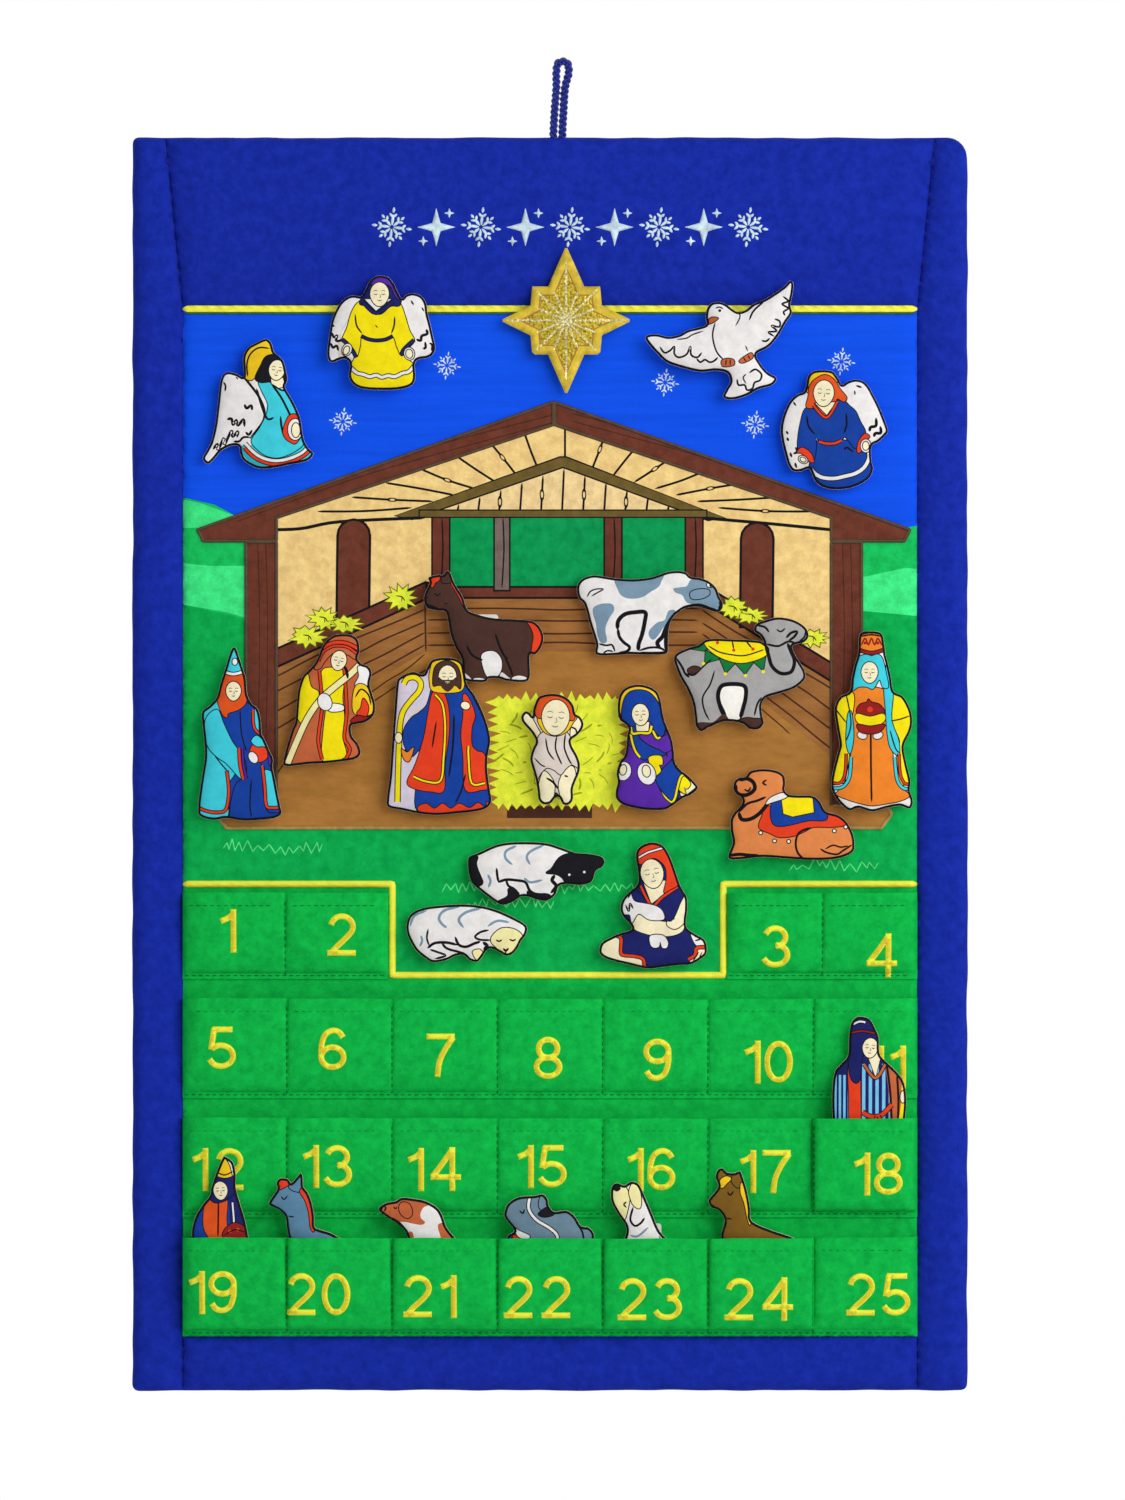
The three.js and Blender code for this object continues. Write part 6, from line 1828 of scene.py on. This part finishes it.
    "father_figure": """
outline 9.4 84.5 12.4 88.5 24.5 92 35 90.5 38.5 94 42.7 98.6 49 100.2 58 100.6 67 99.8 73 97 75.4 91 77.6
    84.3 85 77.6 91 70 97.3 59.5 100 50 97.3 40 97.3 30.8 99.4 21 101 13.6 96.5 9.4 85 7.2 67 6 48.8 5
    30.6 6 15.5 8 1.5 10 0.2 15.5 2.6 27 4.2 40.3 5.8 55.6 7.4 69
base lilac
wash linen 20 5 27 12 24 30 30 45 20 60 26 68 36 70 44 60 44 5
band yellow 2.3 10.5 13 11 30 12 48 13 60 16 68 24 75 31 80 33 85 28 88.5 20 88 16.5 84.5
line 0.9 17 55 20 48 18 42 28 45
blob royal 44 82 39 72 31 67 24 64 17 57 17 48 24 41 30 44 36 48 40 58
blob royal 48 84 46 60 34 40 30 28 28 10 40 6.5 64 6 90 8 100 12 98 22 97 36 99 50 96 60 88 70 76 84 66 80
blob red 76 20.5 92 20.5 98 22 97 32 94 42 87 44 82 48 82 58 85 66 79 76 74 78 74 66 72 54 74 40
band yellow 0.9 79 47 79 40 82 24.5 94.5 24.5
blob red 50 80 44 78.5 40 66 36 52 28 36 20 25 28 21 42 19.5 55 20 56 36 60 54 60 68 56 78
band yellow 0.9 47 78 54 72 56.5 58 55 40 52 26 38 25.5 26 28.5
line 0.7 65 66 64 48 60 28
line 0.6 76 30 72 20 66 12
line 0.6 48 62 44 46
blob orange 14.5 45 20 43 26 46 22 38 17 39
blob red 30 9.6 38 12 46 9 54 12 62 9 70 12 80 9.4 88 12.4 95 9.8 97 13 100 9 84 6.5 60 5.6 36 6
oval skin 11.5 52 1.7 2.6 0
oval skin 76 71.5 2.3 1.9 -20
blob gold 41.5 86 42 93 46 99 56 100 66 99 73 94 75 86 70 80 46 80
blob brown 45 84 45.5 92 49 96.5 58 98.6 67 96 71 90 71 82 66 84 50 84
bearded 58.7 89 9.0 0
""",
    "mother_figure": """
outline 4.5 87 8 93.7 16 98.2 28.5 100 41.5 98.4 52 94 56.5 86 59 76 62 69 65.5 63.5 70 55.6 72 47.7 73.6
    38 80 32 88 28 97 22.3 101 17.4 93 12.3 82 9 68 2.4 58 0 37 0.2 13.4 3.4 3 8.3 1.5 14.5 4 22.3 2.5 28
    4 34 7.2 39 12.5 43.8 14.6 51.7 15.5 59.5 17.2 64.5 13.6 68.3 7 71.5 4.2 77
base purple
blob skin 80 12 88 13 98 18 100 19 96 23 88 27 84 22
blob yellow 78 17 80 26 85 26.5 92 21 88 17 84 18 86 13
blob royal 50 27 58 32 68 40 74 33 80 32 86 28 80 27 76 20 78 12 68 6 60 10 54 18
band yellow 1.0 50 20 58 12.5 68 6.5 73 9 76 17 80 26 86 28.5 92 25
blob purple 2 10 14 4 38 0.6 58 0.8 68 4 60 9.5 54 17 49 25 54 31 70 42 71 55 66 63 56 58 40 60 26 48 16
    52 14 44 5 34
line 0.6 62 50 64 42
blob royal 20 67 22 56 27 46 34 40.5 44 41 54 43 62 45 54 49 42 52 34 58 30 66
band yellow 1.0 18.5 66 21 56 25 47.5 31 42
blob purple 30 59 42 52 54 48.5 62 46 70 50 66 60 54 57 44 61
band yellow 1.0 46 64 53 57 63 66.5
blob yellow 42 42 56 43 58 36.5 54 36 56 31 50 27 46 22 44 34
oval white 11 31 3.8 4.7 -10
oval skin 10.5 32 1.6 2.5 -10
oval white 39 29 4.4 5.7 20
oval skin 38.6 31 1.9 2.9 10
blob gold 5.5 76 5.8 86 9 93 16.5 97.4 28.5 99.2 41.5 97.6 51 93.2 55 85 46 86 30 88 14 82
blob royal 9 78 12 88 18 93.5 29 95.5 42 93.5 52 86 57 76 60.5 68.5 60 61 55 59 48 64 44 70 30 68 18 67 11
    71
band yellow 1.1 20 66 22 61 31 61.5 42 61.5 45 67
cut skin 26 70 27 63 41 63 42 70
face 31.5 76 8.6 4
""",
    "infant_figure": """
outline 17 96 27 99 40 100 54 99 67 95 75 89 78 82 86 79 91 73 88 67 80 62 71 58 73 52 80 45 85 37 84 29
    79 22 74 14 74 5 68 0 58 0 52 6 46 6 38 1 27 0 19 4 17 12 14 22 9 32 5 41 9 50 14 57 8 64 -1 70 -8 75
    -9 80 -3 84 4 83 9 80 10 86
base linen
blob skin -7 80 -2 83.5 4 82 8 78 16 70 21 64 15 59 8 65 0 71
blob skin 88 73 85 78 78 80 72 72 70 62 74 60 82 65
line 0.6 70 70 78 68 80 64
blob skin 28 30 22 24 18 13 20 4 28 1 37 2 43 8 44 18 38 25
blob skin 62 33 54 24 51 17 54 7 60 1 67 1 73 6 73 16 78 26 74 34
line 0.8 43 4 46.5 10 52 6
line 0.8 31 24 42 20 50 14
line 0.7 60 26 66 25
blob linen 21 63 14 55 6 43 9 32 15 22 22 28 32 33 44 31 54 27 62 32 72 36 83 33 84 39 78 47 72 54 69 61
    60 66 46 64 32 66
line 0.6 62 64 60 52 66 42 72 36
line 0.6 30 60 34 48 44 40
line 0.6 48 62 46 50 56 36
line 0.5 12 42 22 36 30 34
blob gold 19 80 22 70 32 64 48 62 64 66 74 74 78 80 50 90
blob hair 15 80 14 88 18 96 28 100 42 101 56 100 69 95 77 87 77 79 70 76 50 84 26 78
face 46 78.5 14.2 -4
""",
    "sheep_black_face": """
outline 0.5 69 2 76 9 82 20 92.5 30 97 44 98 58 96 69 89 79 81.5 88 80 97.5 76 100.5 68 98.5 59 94 53.5 91
    37 83 31.5 73 33 67 30 64.5 17 58.5 7.5 51 9 44.5 13.5 39 13.5 34 6.5 27 1 21.5 4.5 16 12.5 9 24 3.5
    35 1 50
base white
blob coal -2 72 3 77 7.5 75 6.5 66 7.5 56 9.5 46 11 34 4 30 -3 50
blob coal 58 50.5 61.5 56.5 67 73 74 79.5 81 78 99.5 76 102 68 99 58 93 54 91 36 81 30 73 33 69.5 43 65 48.5
dot white 74.6 47.6 0.65
dot white 85.5 51.7 0.65
line 0.9 21.5 58 22 46 23 36
line 1.0 22.5 36 28.5 40 36 39 42.5 36 45.5 24 50 18 58 17
line 0.9 28.5 40 30 31 34 26 37 20
blob coal 30.5 26 37.5 19 34 9 27 2 21 4.5 29.5 14
blob coal 44.5 22 50 17 57 18 61 14 58 6 50 7 45 13
line 1.3 64 47 62 39 65 30 61 19
wave blueGrey 1.3 36 92 28.5 84 28 73 33 63
wave blueGrey 1.3 56 93 47 84.5 43.5 75 46 63
wave blueGrey 1.3 41.5 43 46 36 55 39.5
wave blueGrey 1.3 15 48 17 38 15.5 28
""",
    "sheep_white": """
outline 0.3 63 2.5 78 8 87.5 17.5 93.5 33.5 97 49.5 98 64 95 76.5 88 89 77 98.5 66.5 101 58 99.5 47 96 38
    93.5 28 89 17 83.5 13.5 78 19 71 25.5 67 22 64 13 59.5 3.5 53 6 48 14.5 41 13 34 6.5 23 2.5 16 9.5 8.5
    22 3.5 38 1 50
base white
blob cream 71 37 72.5 48 80 59 90.5 57 97 45 93 28.5 87.5 16.5 81.5 16 76.5 25
line 0.6 75 40 77.5 37.5 80 40
line 0.6 86 41 89 38.5 91.5 41
line 0.8 81 26 83 22 85.5 26
line 0.6 83 22 83 17
line 0.8 69 56 62 52.5 57.6 45 62 40 71 39.5
line 1.0 18 26 24 34.5 34 35.5 43 31.5
line 0.9 30 35 34 26 44 20 50 16
line 0.8 20 24 26 20 33 14 24 8.5
line 1.0 41 45 44 32 50 28.5 57 34 62 37
line 1.3 64 36 67.5 30 64.5 23.5
blob cream 55.5 20 61.5 24 64.5 14 60 5
wave blueGrey 1.4 45 95 32 88 27.5 76 30 66 34 60
wave blueGrey 1.4 63 92 50 85 44 73 48 60
wave blueGrey 1.3 68 62 76 71 86 68.5
wave blueGrey 1.2 17.5 88 7 79 3.5 62
wave blueGrey 1.2 12.5 47 13.5 38 11.5 29
line 0.7 18.6 58 17.5 43 19.5 30
""",
    "shepherd_striped": """
outline 32 101 24.8 97.5 22 90 20.6 80.4 11 75.6 2.5 70.9 -0.5 59.4 0.4 45 3 35 5 25 5 14 3 4 24 0 50 0 76
    0 97 4 95 14 95 25 97 35 98 44 100 55.6 97 65 88 70.9 73.4 76.6 63.6 81.3 62.4 90 58.6 93.9 51.4 99.4
    41.4 101.4
base navy
stripes sky 1.2 4 70 4 40 4 6
blob red 21 74 26 78 36 79 37.6 60 37 40 24 40 22 60
stripes sky 1.7 42 76 42 40 5 9
wash rust 72 78 76 60 80 40 100 40 100 64 88 74
wash yellow 88 40 92 52 94 66 98 64 100 40
line 0.8 73 76 78 60 80 44
line 0.8 87 70 89 56 88 42
oval skin 95 58 1.2 3.0 0
band red 2.0 40 50 52 47.6 66 48.4 80 54
band red 1.3 60 48 56 42 52 40
band red 1.3 62 48 70 42 74 40
cut skin 46 82 58 69 66 82
band rust 1.3 42 76 58 68.4 72 76.4
blob navy 23.6 70 21.6 80 22.6 90 26 97 34 100 42 100.4 50 98.4 57 93.6 60 88 48 88 40 80 36.6 68 30 66
band white 0.9 28 97.4 36 98.8 44 98.4
band maroon 0.8 24.6 92.6 40 93.8 57 92.4
face 50.6 84.6 7.8 -6
""",
    "king_crowned": """
outline 59.3 98 52 98.4 43.6 91.4 38.7 86 34 80.5 31.6 75.7 22 70.9 10 63.3 4 53.7 8 44 11 34 9 23 3 13 0
    4 24 0 50 0 76 0 100 4 97 13 91 23 89 34 90 44 89.5 51 84.6 61.4 77.4 70.9 71 80.5 71 88 67.5 95
base royal
wash navy 48 90 60 76 62 60 64 48 96 48 90 60 78 76 72 96
blob hair 32 76 24 70 22 60 26 54 36 50 58 48 57 62 58 74 46 72
line 0.6 45 73 44 52
band white 0.8 66 72 68 62 68 54
blob maroon 52 52 56 57 70 60 84 57 88 51 70 49
dot hair 62 55 0.9
dot hair 74 56 0.9
line 0.5 54 53 70 56 86 54
blob navy 36 86 34 78 33 74 42 72 58 74 68 78 71 86 60 88 48 88
face 48 79 7.2 4
blob gold 39 88.6 44 92 52 97.6 58 97.6 64 92 68 88.4 54 86.6
band white 1.0 58 98 64 94 68 88
line 0.5 40 90.2 54 88.2 67 90.4
""",
    "donkey_blue": """
outline -1 80 -2 77 3 75.5 8.5 73.5 14 69.5 15.5 62 17.5 56 24 48 25 34 25 9 36 0 70 0 90 2 98 11 100 27
    96 42 82 52 68.5 55.5 58 59 48 61 43 63 42.5 70 40 79 36 85.5 32 89 31.5 95 29.5 98 26 95.5 20 91.5 17
    94 9 94.5 5.5 91.5 6.5 88 4 85
base slate
blob red 5 90.5 8.5 94 15 94 18.5 91.5 14 89 8 87.5
blob slate 18 88.5 23 93.5 29.5 98 31.5 92 28.5 86
blob red 30.5 88 35.5 84.5 39.5 77 42 66 42 60 39 63 37.5 72 34 80 29 85.5
line 0.5 10 83 13 81 16.5 83.5
line 0.5 -1 78 3 77
line 0.6 17 70 23 69.5
""",
    "calf_patched": """
outline -1 87 1 84 10 79.5 20.5 75 29.5 69 33 60 33.5 52 32 42 31 19 32 7 45 0 81 0 96 5 99 17 100 41 98
    54 92.5 59.5 84 65.5 75.5 73 71 81.5 65 87.5 52 92.5 37 94.5 25 95 18 92.5 7 91
base white
wash rust -6 82 -6 94 10 97 25 100 45 98 56 90.5 50 88 46.5 84 47 80 51.5 77 48 75 40 75.5 28 77 14 77
wash rust 32 68 37.5 69 38.5 60 32 56
wash rust 66 74.5 73 76 80 72 98 58 94 54 74 56 69 66
line 0.6 1.5 85 4 88.5 7 87.5 5 84.5
blob rust 22 87 25 91.5 33.5 90.5 37 84 32.5 80 25.5 82
line 0.5 15.5 88.5 18 87 20 88.5
line 1.0 10 80.5 21 76.5 29 70.5 33 61
""",
    "camel_saddled": """
outline -2 81 2.5 87.5 14.5 92 32 93 41.5 94 47 90 48 86 54 81.5 68.5 82 78 77.5 84.5 71 94 69.5 99.5 64
    97 56 100 42 98 21 92 5 75 0 30 0 9 3 5 14 5 30 7 45 2 55 1 63 9 67.5 3 73 -1.5 77
base smoke
blob royal -6 66 5 66 10 61 8 52 -6 52
cut red 8 64.5 14 64 18.5 61 14 54 6 54
cut purple 20 60 30 60.5 30 52 22 52
blob white 8.5 70 14 68 26 64.5 24 62 14 63.5
band white 1.3 27 93 25.5 84 34 76 50 69.5 58 63.5 57 52
blob smoke 37 85.5 38.5 92 44 91 47.5 85 42.5 82
blob coal 36.5 80 44 84 48.5 84 54 80 44 78
line 0.6 15 82.5 19 80.5 20.5 83.5
line 0.7 78.5 74 85.5 67.5 88 60 89.5 54
""",
    "sheep_cream_face": """
outline -2 88 0 94 7 96 16 94.5 25.5 97 35.5 95 43 87 52.5 75.5 62 64 72 58 82.5 53 97 44 100 28 94 8 80 0
    20 0 6 6 1 26 3 42 8 52 16.5 58 18.5 66 8 74.5 0 82
base white
blob cream -3 88 1.5 94.5 12 95.5 20 91.5 23 86 20.5 78 16 71 8 75.5 0 81
blob cream 22.5 91 28 96.5 34.5 94 38.5 85 36.5 79 28.5 81 24 86
line 0.6 19 83.5 15.5 81.5 19 79.5
blob coal 2 92.5 7 94.5 10 92.5 6 91
line 0.8 28 80 24 71.5 30 67 38 69 43 72.5
wave blueGrey 1.1 24 60.5 34 60 48 66
wave blueGrey 1.1 62 60 66 56 68 51
line 0.8 17.5 60 15 56 8 52
""",
    "donkey_dark": """
outline -1 77 5 81.5 9.5 86 6.5 91.5 9 96 14 97 18.5 94.5 26 94 32.5 95 36 90 40 82 43 72 43.5 65.5 50 62
    69 57.5 90 53 98 47 100 30 98 10 90 2 50 0 32 1 17 6 14 17 14 40 13 50 12.5 56 16 64.5 10 70.5 2 72.5
base bark
blob bark 7.5 91 9.5 95.5 14 96.5 18 93.5 13 89.5
blob gold 11 86 12 90 18 92 23 90.5 18 87.5 14 85
blob bark 23.5 89 26.5 94 33 94.5 35.5 90 30.5 85
blob gold 33.5 88 37 85 41 77 43 68 43 62 40.5 65 37 75 33 82
line 0.6 19 82.5 22 80.5 25.5 83
dot coal 2 78 0.7
line 0.5 0 74.5 6 73.5
line 0.6 17.5 66 24 65.5
""",
}


def inkCloth(ink):  # smooth printed cotton, made once for each ink
    if ink not in printed:
        printed[ink] = wovenCloth(ink + "PrintedCotton", inks[ink], variation=0.1, strength=0.3, pitch=0.34)
    return printed[ink]


def ownPlane(x, out, z, lean):  # to a leaning piece's own plane: across, up and out of it
    return x, z * math.cos(lean) + out * math.sin(lean), out * math.cos(lean) - z * math.sin(lean)


def fromPlane(x, up, forth, lean):
    out = forth * math.cos(lean) + up * math.sin(lean)
    return place(x, up * math.cos(lean) - forth * math.sin(lean), out)


def seamOf(node, half, lean):  # the seam round a stuffed CAD piece, its levels and its own plane
    mesh = bpy.data.objects[node].data
    numbers, keys = {}, []
    for vertex in mesh.vertices:
        own = ownPlane(vertex.co.x / mm, -vertex.co.y / mm, vertex.co.z / mm, lean)
        keys.append(numbers.setdefault(tuple(round(v, 2) for v in own), len(numbers)))
    points = list(numbers)
    face = max(p[2] for p in points)
    level = face - half
    near = {i: set() for i, p in enumerate(points) if abs(p[2] - level) < 0.03}
    for polygon in mesh.polygons:
        corners = [keys[i] for i in polygon.vertices if keys[i] in near]
        for a in corners:
            near[a].update(b for b in corners if b != a)
    start = next(iter(near))
    loop, before, at = [], None, start
    while at is not None:
        loop.append(points[at][:2])
        ahead = [b for b in near[at] if b != before and b != at]
        before, at = at, ahead[0] if ahead[0] != start else None
    return upright(loop), level, min(p[2] for p in points)


def bandLoop(points, width):
    return strokeLoop(points, width, blunt=True)


def calmFace(cx, cz, width, tilt, bearded):  # one plain face for all, half as wide again in height
    half, tall, angle = width / 2, width * 0.64, math.radians(tilt)
    oval = [(half * math.sin(t) * (1 - 0.12 * max(0, -math.cos(t))), tall * math.cos(t))
            for t in np.linspace(0, 2 * math.pi, 24, endpoint=False)]
    skin = turned(oval, cx, cz, angle)
    patches = [("outline", offsetLoop(skin, figureLook["ink"])), ("skin", skin)]
    if bearded:
        beard = [(-0.98, -0.05), (-0.6, -0.25), (0, -0.28), (0.6, -0.25), (0.98, -0.05), (0.8, -0.8),
                 (0, -1.35), (-0.8, -0.8)]
        lips = [(-0.28, -0.46), (0, -0.42), (0.28, -0.46), (0, -0.6)]
        for ink, shape in (("brown", beard), ("skin", lips)):
            loop = smoothLine([(x * half, z * tall) for x, z in shape])
            patches.append((ink, turned(loop, cx, cz, angle)))
    strokes = [(0.3, [(0.02, 0.02), (0.12, -0.24), (-0.04, -0.27)]),
               (0.4, [(-0.24, -0.48), (0, -0.54), (0.24, -0.48)])]
    for side in (-1, 1):
        strokes.append((0.4, [(side * 0.62, 0.04), (side * 0.42, -0.03), (side * 0.2, 0.04)]))
        strokes.append((0.3, [(side * 0.66, 0.26), (side * 0.42, 0.33), (side * 0.18, 0.27)]))
    for thick, line in strokes:
        points = turned([(x * half, z * tall) for x, z in line], cx, cz, angle)
        patches.append(("outline", strokeLoop(points, thick)))
    return patches


def readPrint(rows, at):  # the patches of one figure, back to front, at() places hundredths
    patches = []
    for words in rows:
        mirrors = (False, True) if words[0] == "both" else (False,)
        kind, *rest = words[1:] if words[0] == "both" else words
        ink = rest.pop(0) if kind not in ("line", "face", "bearded") else "outline"
        values = [float(v) for v in rest]
        for mirror in mirrors:
            def spread(numbers):
                return [at(100 - a if mirror else a, b) for a, b in zip(numbers[::2], numbers[1::2])]
            if kind in ("blob", "cut", "wash"):
                loop = spread(values) if kind == "cut" else smoothLine(spread(values))
                if kind != "wash":
                    patches.append(("outline", offsetLoop(loop, figureLook["ink"])))
                patches.append((ink, loop))
            elif kind == "band":
                points = spread(values[1:])
                patches.append(("outline", bandLoop(points, values[0] + 2 * figureLook["ink"])))
                patches.append((ink, bandLoop(points, values[0])))
            elif kind in ("line", "wave"):
                thick = values[0] * (figureLook["lineShare"] if kind == "line" else 1)
                patches.append((ink, strokeLoop(spread(values[1:]), thick)))
            elif kind == "stripes":
                width, ax, az, bx, bz, count, apart = values
                for k in range(int(count)):
                    ends = [at(ax + apart * k, az), at(bx + apart * k, bz)]
                    patches.append((ink, bandLoop(ends, width)))
            elif kind in ("oval", "dot"):
                (cx, cz), wide = spread(values[:2])[0], values[2]
                high, turn = (values[3], math.radians(values[4])) if kind == "oval" else (wide, 0)
                ring = ovalRing(wide, high, 18 if kind == "oval" else 10)
                loop = turned(ring, cx, cz, -turn if mirror else turn)
                if kind == "oval":
                    patches.append(("outline", offsetLoop(loop, figureLook["ink"])))
                patches.append((ink, loop))
            elif kind in ("face", "bearded"):
                cx, cz = spread(values[:2])[0]
                patches += calmFace(cx, cz, values[2], values[3], kind == "bearded")
    return patches


def inflation(flat, triangles):  # how full a stuffed form is at each point, from 0 at its seam to 1
    tris = np.array(triangles)
    corners = flat[tris]
    edges = [corners[:, (k + 2) % 3] - corners[:, (k + 1) % 3] for k in range(3)]
    double = np.abs(edges[0][:, 0] * edges[1][:, 1] - edges[0][:, 1] * edges[1][:, 0])
    double = np.maximum(double, 1e-3)
    rows, cols, values = [], [], []
    for i in range(3):
        for j in range(3):
            rows.append(tris[:, i])
            cols.append(tris[:, j])
            values.append(np.sum(edges[i] * edges[j], 1) / (2 * double))
    rows, cols, values = (np.concatenate(part) for part in (rows, cols, values))
    count = len(flat)
    free = np.ones(count)
    free[list({i for edge in rimEdges(triangles) for i in edge})] = 0
    load = np.bincount(tris.ravel(), np.repeat(double / 6, 3), count) * free
    diagonal = np.bincount(rows[rows == cols], values[rows == cols], count) + 1e-9
    swell, rest = np.zeros(count), load.copy()
    step = rest / diagonal
    power = rest @ step
    for _ in range(500):
        pull = np.bincount(rows, values * step[cols], count) * free
        share = power / max(step @ pull, 1e-12)
        swell += share * step
        rest -= share * pull
        if np.abs(rest).max() < 1e-3 * load.max():
            break
        eased = rest / diagonal * free
        power, before = rest @ eased, power
        step = eased + power / before * step
    full = np.clip(swell / swell.max(), 0, 1)
    return np.sqrt(full * (2 - full))


def stuffedPiece(name, outline, prints, choose, half, level, lean, materials, crown=None):
    flat, triangles, regions = triangulate(outline, prints, figureLook["pitch"], choose)
    x, z = flat.T
    full = inflation(flat, triangles)
    near = nearTree(resample(outline, figureLook["seamStep"]))
    found = [near.find((a, b, 0)) for a, b in flat]
    depth = np.array([f[2] for f in found])
    along = np.array([f[1] for f in found]) * figureLook["seamStep"]
    beat = 2 * math.pi * along / figureLook["puckerLength"] + 2 * evenNoise(along, along * 0, 11, len(name))
    atSeam = np.exp(-depth / figureLook["puckerReach"])
    pucker = 1 - figureLook["pucker"] * (0.5 + 0.5 * np.sin(beat)) * atSeam
    hollows = evenNoise(x, z, 9, len(name)) - 0.6 * np.abs(evenNoise(x, z, 17, 40))
    rise = half * full * pucker + figureLook["dimple"] * full * hollows + (crown(depth) if crown else 0)
    sink = half * figureLook["backShare"] * full
    rim = sorted({i for edge in rimEdges(triangles) for i in edge})
    rise[rim] = 0
    onRim, count = set(rim), len(flat)
    inside = [i for i in range(count) if i not in onRim]
    behind = {i: i for i in rim}
    behind.update({i: count + k for k, i in enumerate(inside)})
    points = np.concatenate([fromPlane(x, z, level + rise, lean),
                             fromPlane(x[inside], z[inside], level - sink[inside], lean)])
    fat = [k for k, tri in enumerate(triangles) if not onRim.issuperset(tri)]  # drops the flat tips
    faces = [triangles[k] for k in fat] + [tuple(behind[i] for i in triangles[k][::-1]) for k in fat]
    used = sorted({i for face in faces for i in face})
    fresh = {old: new for new, old in enumerate(used)}
    faces = [tuple(fresh[i] for i in face) for face in faces]
    slots = [regions[k] for k in fat] + [0] * len(fat)
    piece = makeObject(name + "_stuffed", points[used], faces, materials, slots, sharp=60)
    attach(piece, name + "_body")
    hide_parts(name)
    return piece


def hookTab(name, low, high, level, half, tabLevel, lean, shares):
    cx, cz = low + (high - low) * shares
    outline = [p for start, (sx, sz) in enumerate(((1, 1), (-1, 1), (-1, -1), (1, -1)))
               for p in turnCorner(cx + sx * hookLook["halfWidth"], cz + sz * hookLook["halfHeight"],
                                   hookLook["corner"], start)]
    flat, triangles, _ = triangulate(outline, [], hookLook["pitch"])
    x, z = flat.T
    points = np.concatenate([fromPlane(x, z, level - half * hookLook["sunk"], lean),
                             fromPlane(x, z, np.full(len(flat), tabLevel), lean)])
    tab = makeObject(name + "_hook_tab", points, bothSides(triangles, len(flat)), [hookTape])
    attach(tab, name + "_body")


def figures():
    def choose(ids):  # calico margin, black seam line, then the topmost patch
        return 0 if 1 not in ids else 1 if 2 not in ids else max(ids)
    for name, text in figurePrints.items():
        lean = figureLook["pocketLean"] if name in pocketed else 0
        half = figureLook["pocketThickness" if name in pocketed else "thickness"] / 2
        ring, level, tabLevel = seamOf(name, half, lean)
        low, high = np.min(ring, axis=0), np.max(ring, axis=0)
        rows = [row.split() for row in text.strip().replace("\n ", " ").split("\n")]
        heads = {row[0]: row[1:] for row in rows if row[0] in ("base", "outline")}
        patches = readPrint([row for row in rows if row[0] not in heads],
                            lambda a, b: tuple(low + (high - low) * (a / 100, b / 100)))
        base = heads.get("base", ["white"])
        if "outline" in heads:  # a closer seam than the CAD solid's, in the same box
            shares = np.array(heads["outline"], float).reshape(-1, 2) / 100
            ring = upright([tuple(low + (high - low) * share) for share in shares])
        outline = smoothLine(ring)
        margins = [("outline", offsetLoop(outline, -figureLook["margin"])),
                   (base[0], offsetLoop(outline, -figureLook["seamInk"]))]
        prints = [(inkCloth(ink), loop) for ink, loop in margins + patches]
        materials = [inkCloth("calico")] + [material for material, _ in prints]
        stuffedPiece(name, outline, prints, choose, half, level, lean, materials)
        tabHeight = tabHeights.get(name, 0.62 if name in pocketed else 0.5)
        hookTab(name, low, high, level, half, tabLevel, lean, (0.5, tabHeight))
        print("figure:", name)


figures()

print("stage: star")

starLook = {
    "thickness": 4.0, "border": 4.2, "groove": 0.7, "crown": 0.7, "ray": 1.0, "knot": 2.6, "rayStart": 1.5,
    "fullness": 0.75,
    "reach": (0.4, 0.24, 0.33, 0.24),  # of the star's size, for each ray of a quarter
}


def mitredInset(corners, distance):  # a straight-sided loop moved inwards by an even distance
    loop = [Vector(p) for p in upright(corners)]
    moved = []
    for k, corner in enumerate(loop):
        sides = []
        for a, b in ((loop[k - 1], corner), (corner, loop[(k + 1) % len(loop)])):
            along = (b - a).normalized()
            inward = Vector((-along.y, along.x)) * distance
            sides.append((a + inward, b + inward))
        (a, b), (c, d) = sides
        crossing = geometry.intersect_line_line(*(Vector((*p, 0)) for p in (a, b, c, d)))
        moved.append(tuple(crossing[0][:2]))
    return moved


def star():
    half = starLook["thickness"] / 2
    ring, level, tabLevel = seamOf("star", half, 0)
    inner = mitredInset(ring, starLook["border"])
    low, high = np.min(ring, axis=0), np.max(ring, axis=0)
    middle = (low + high) / 2
    rays = []
    for k in range(16):
        angle = math.pi * k / 8 + math.pi / 2
        reach = starLook["reach"][k % 4] * (high - low)[1 if k % 4 == 0 else 0]
        way = np.array((math.cos(angle), math.sin(angle)))
        start, end = middle + starLook["rayStart"] * way, middle + reach * way
        ray = strokeLoop([tuple(start), tuple((start + end) / 2), tuple(end)], starLook["ray"])
        rays.append((cloths["rayGlitter"], ray))
    hub = turned(ovalRing(starLook["knot"], starLook["knot"], 12), *middle, 0)
    within = mitredInset(ring, starLook["border"] + starLook["groove"])
    prints = [(threads["starGroove"], inner), (cloths["lame"], within), *rays, (cloths["rayGlitter"], hub)]

    def crown(depth):
        return starLook["crown"] * np.sqrt(np.clip(1 - (depth / starLook["border"] * 2 - 1) ** 2, 0, 1))
    materials = [threads["goldSatin"]] + [material for material, _ in prints]
    stuffedPiece("star", ring, prints, max, half * starLook["fullness"], level, 0, materials, crown)
    hookTab("star", low, high, level, half, tabLevel, 0, (0.5, 0.5))


star()
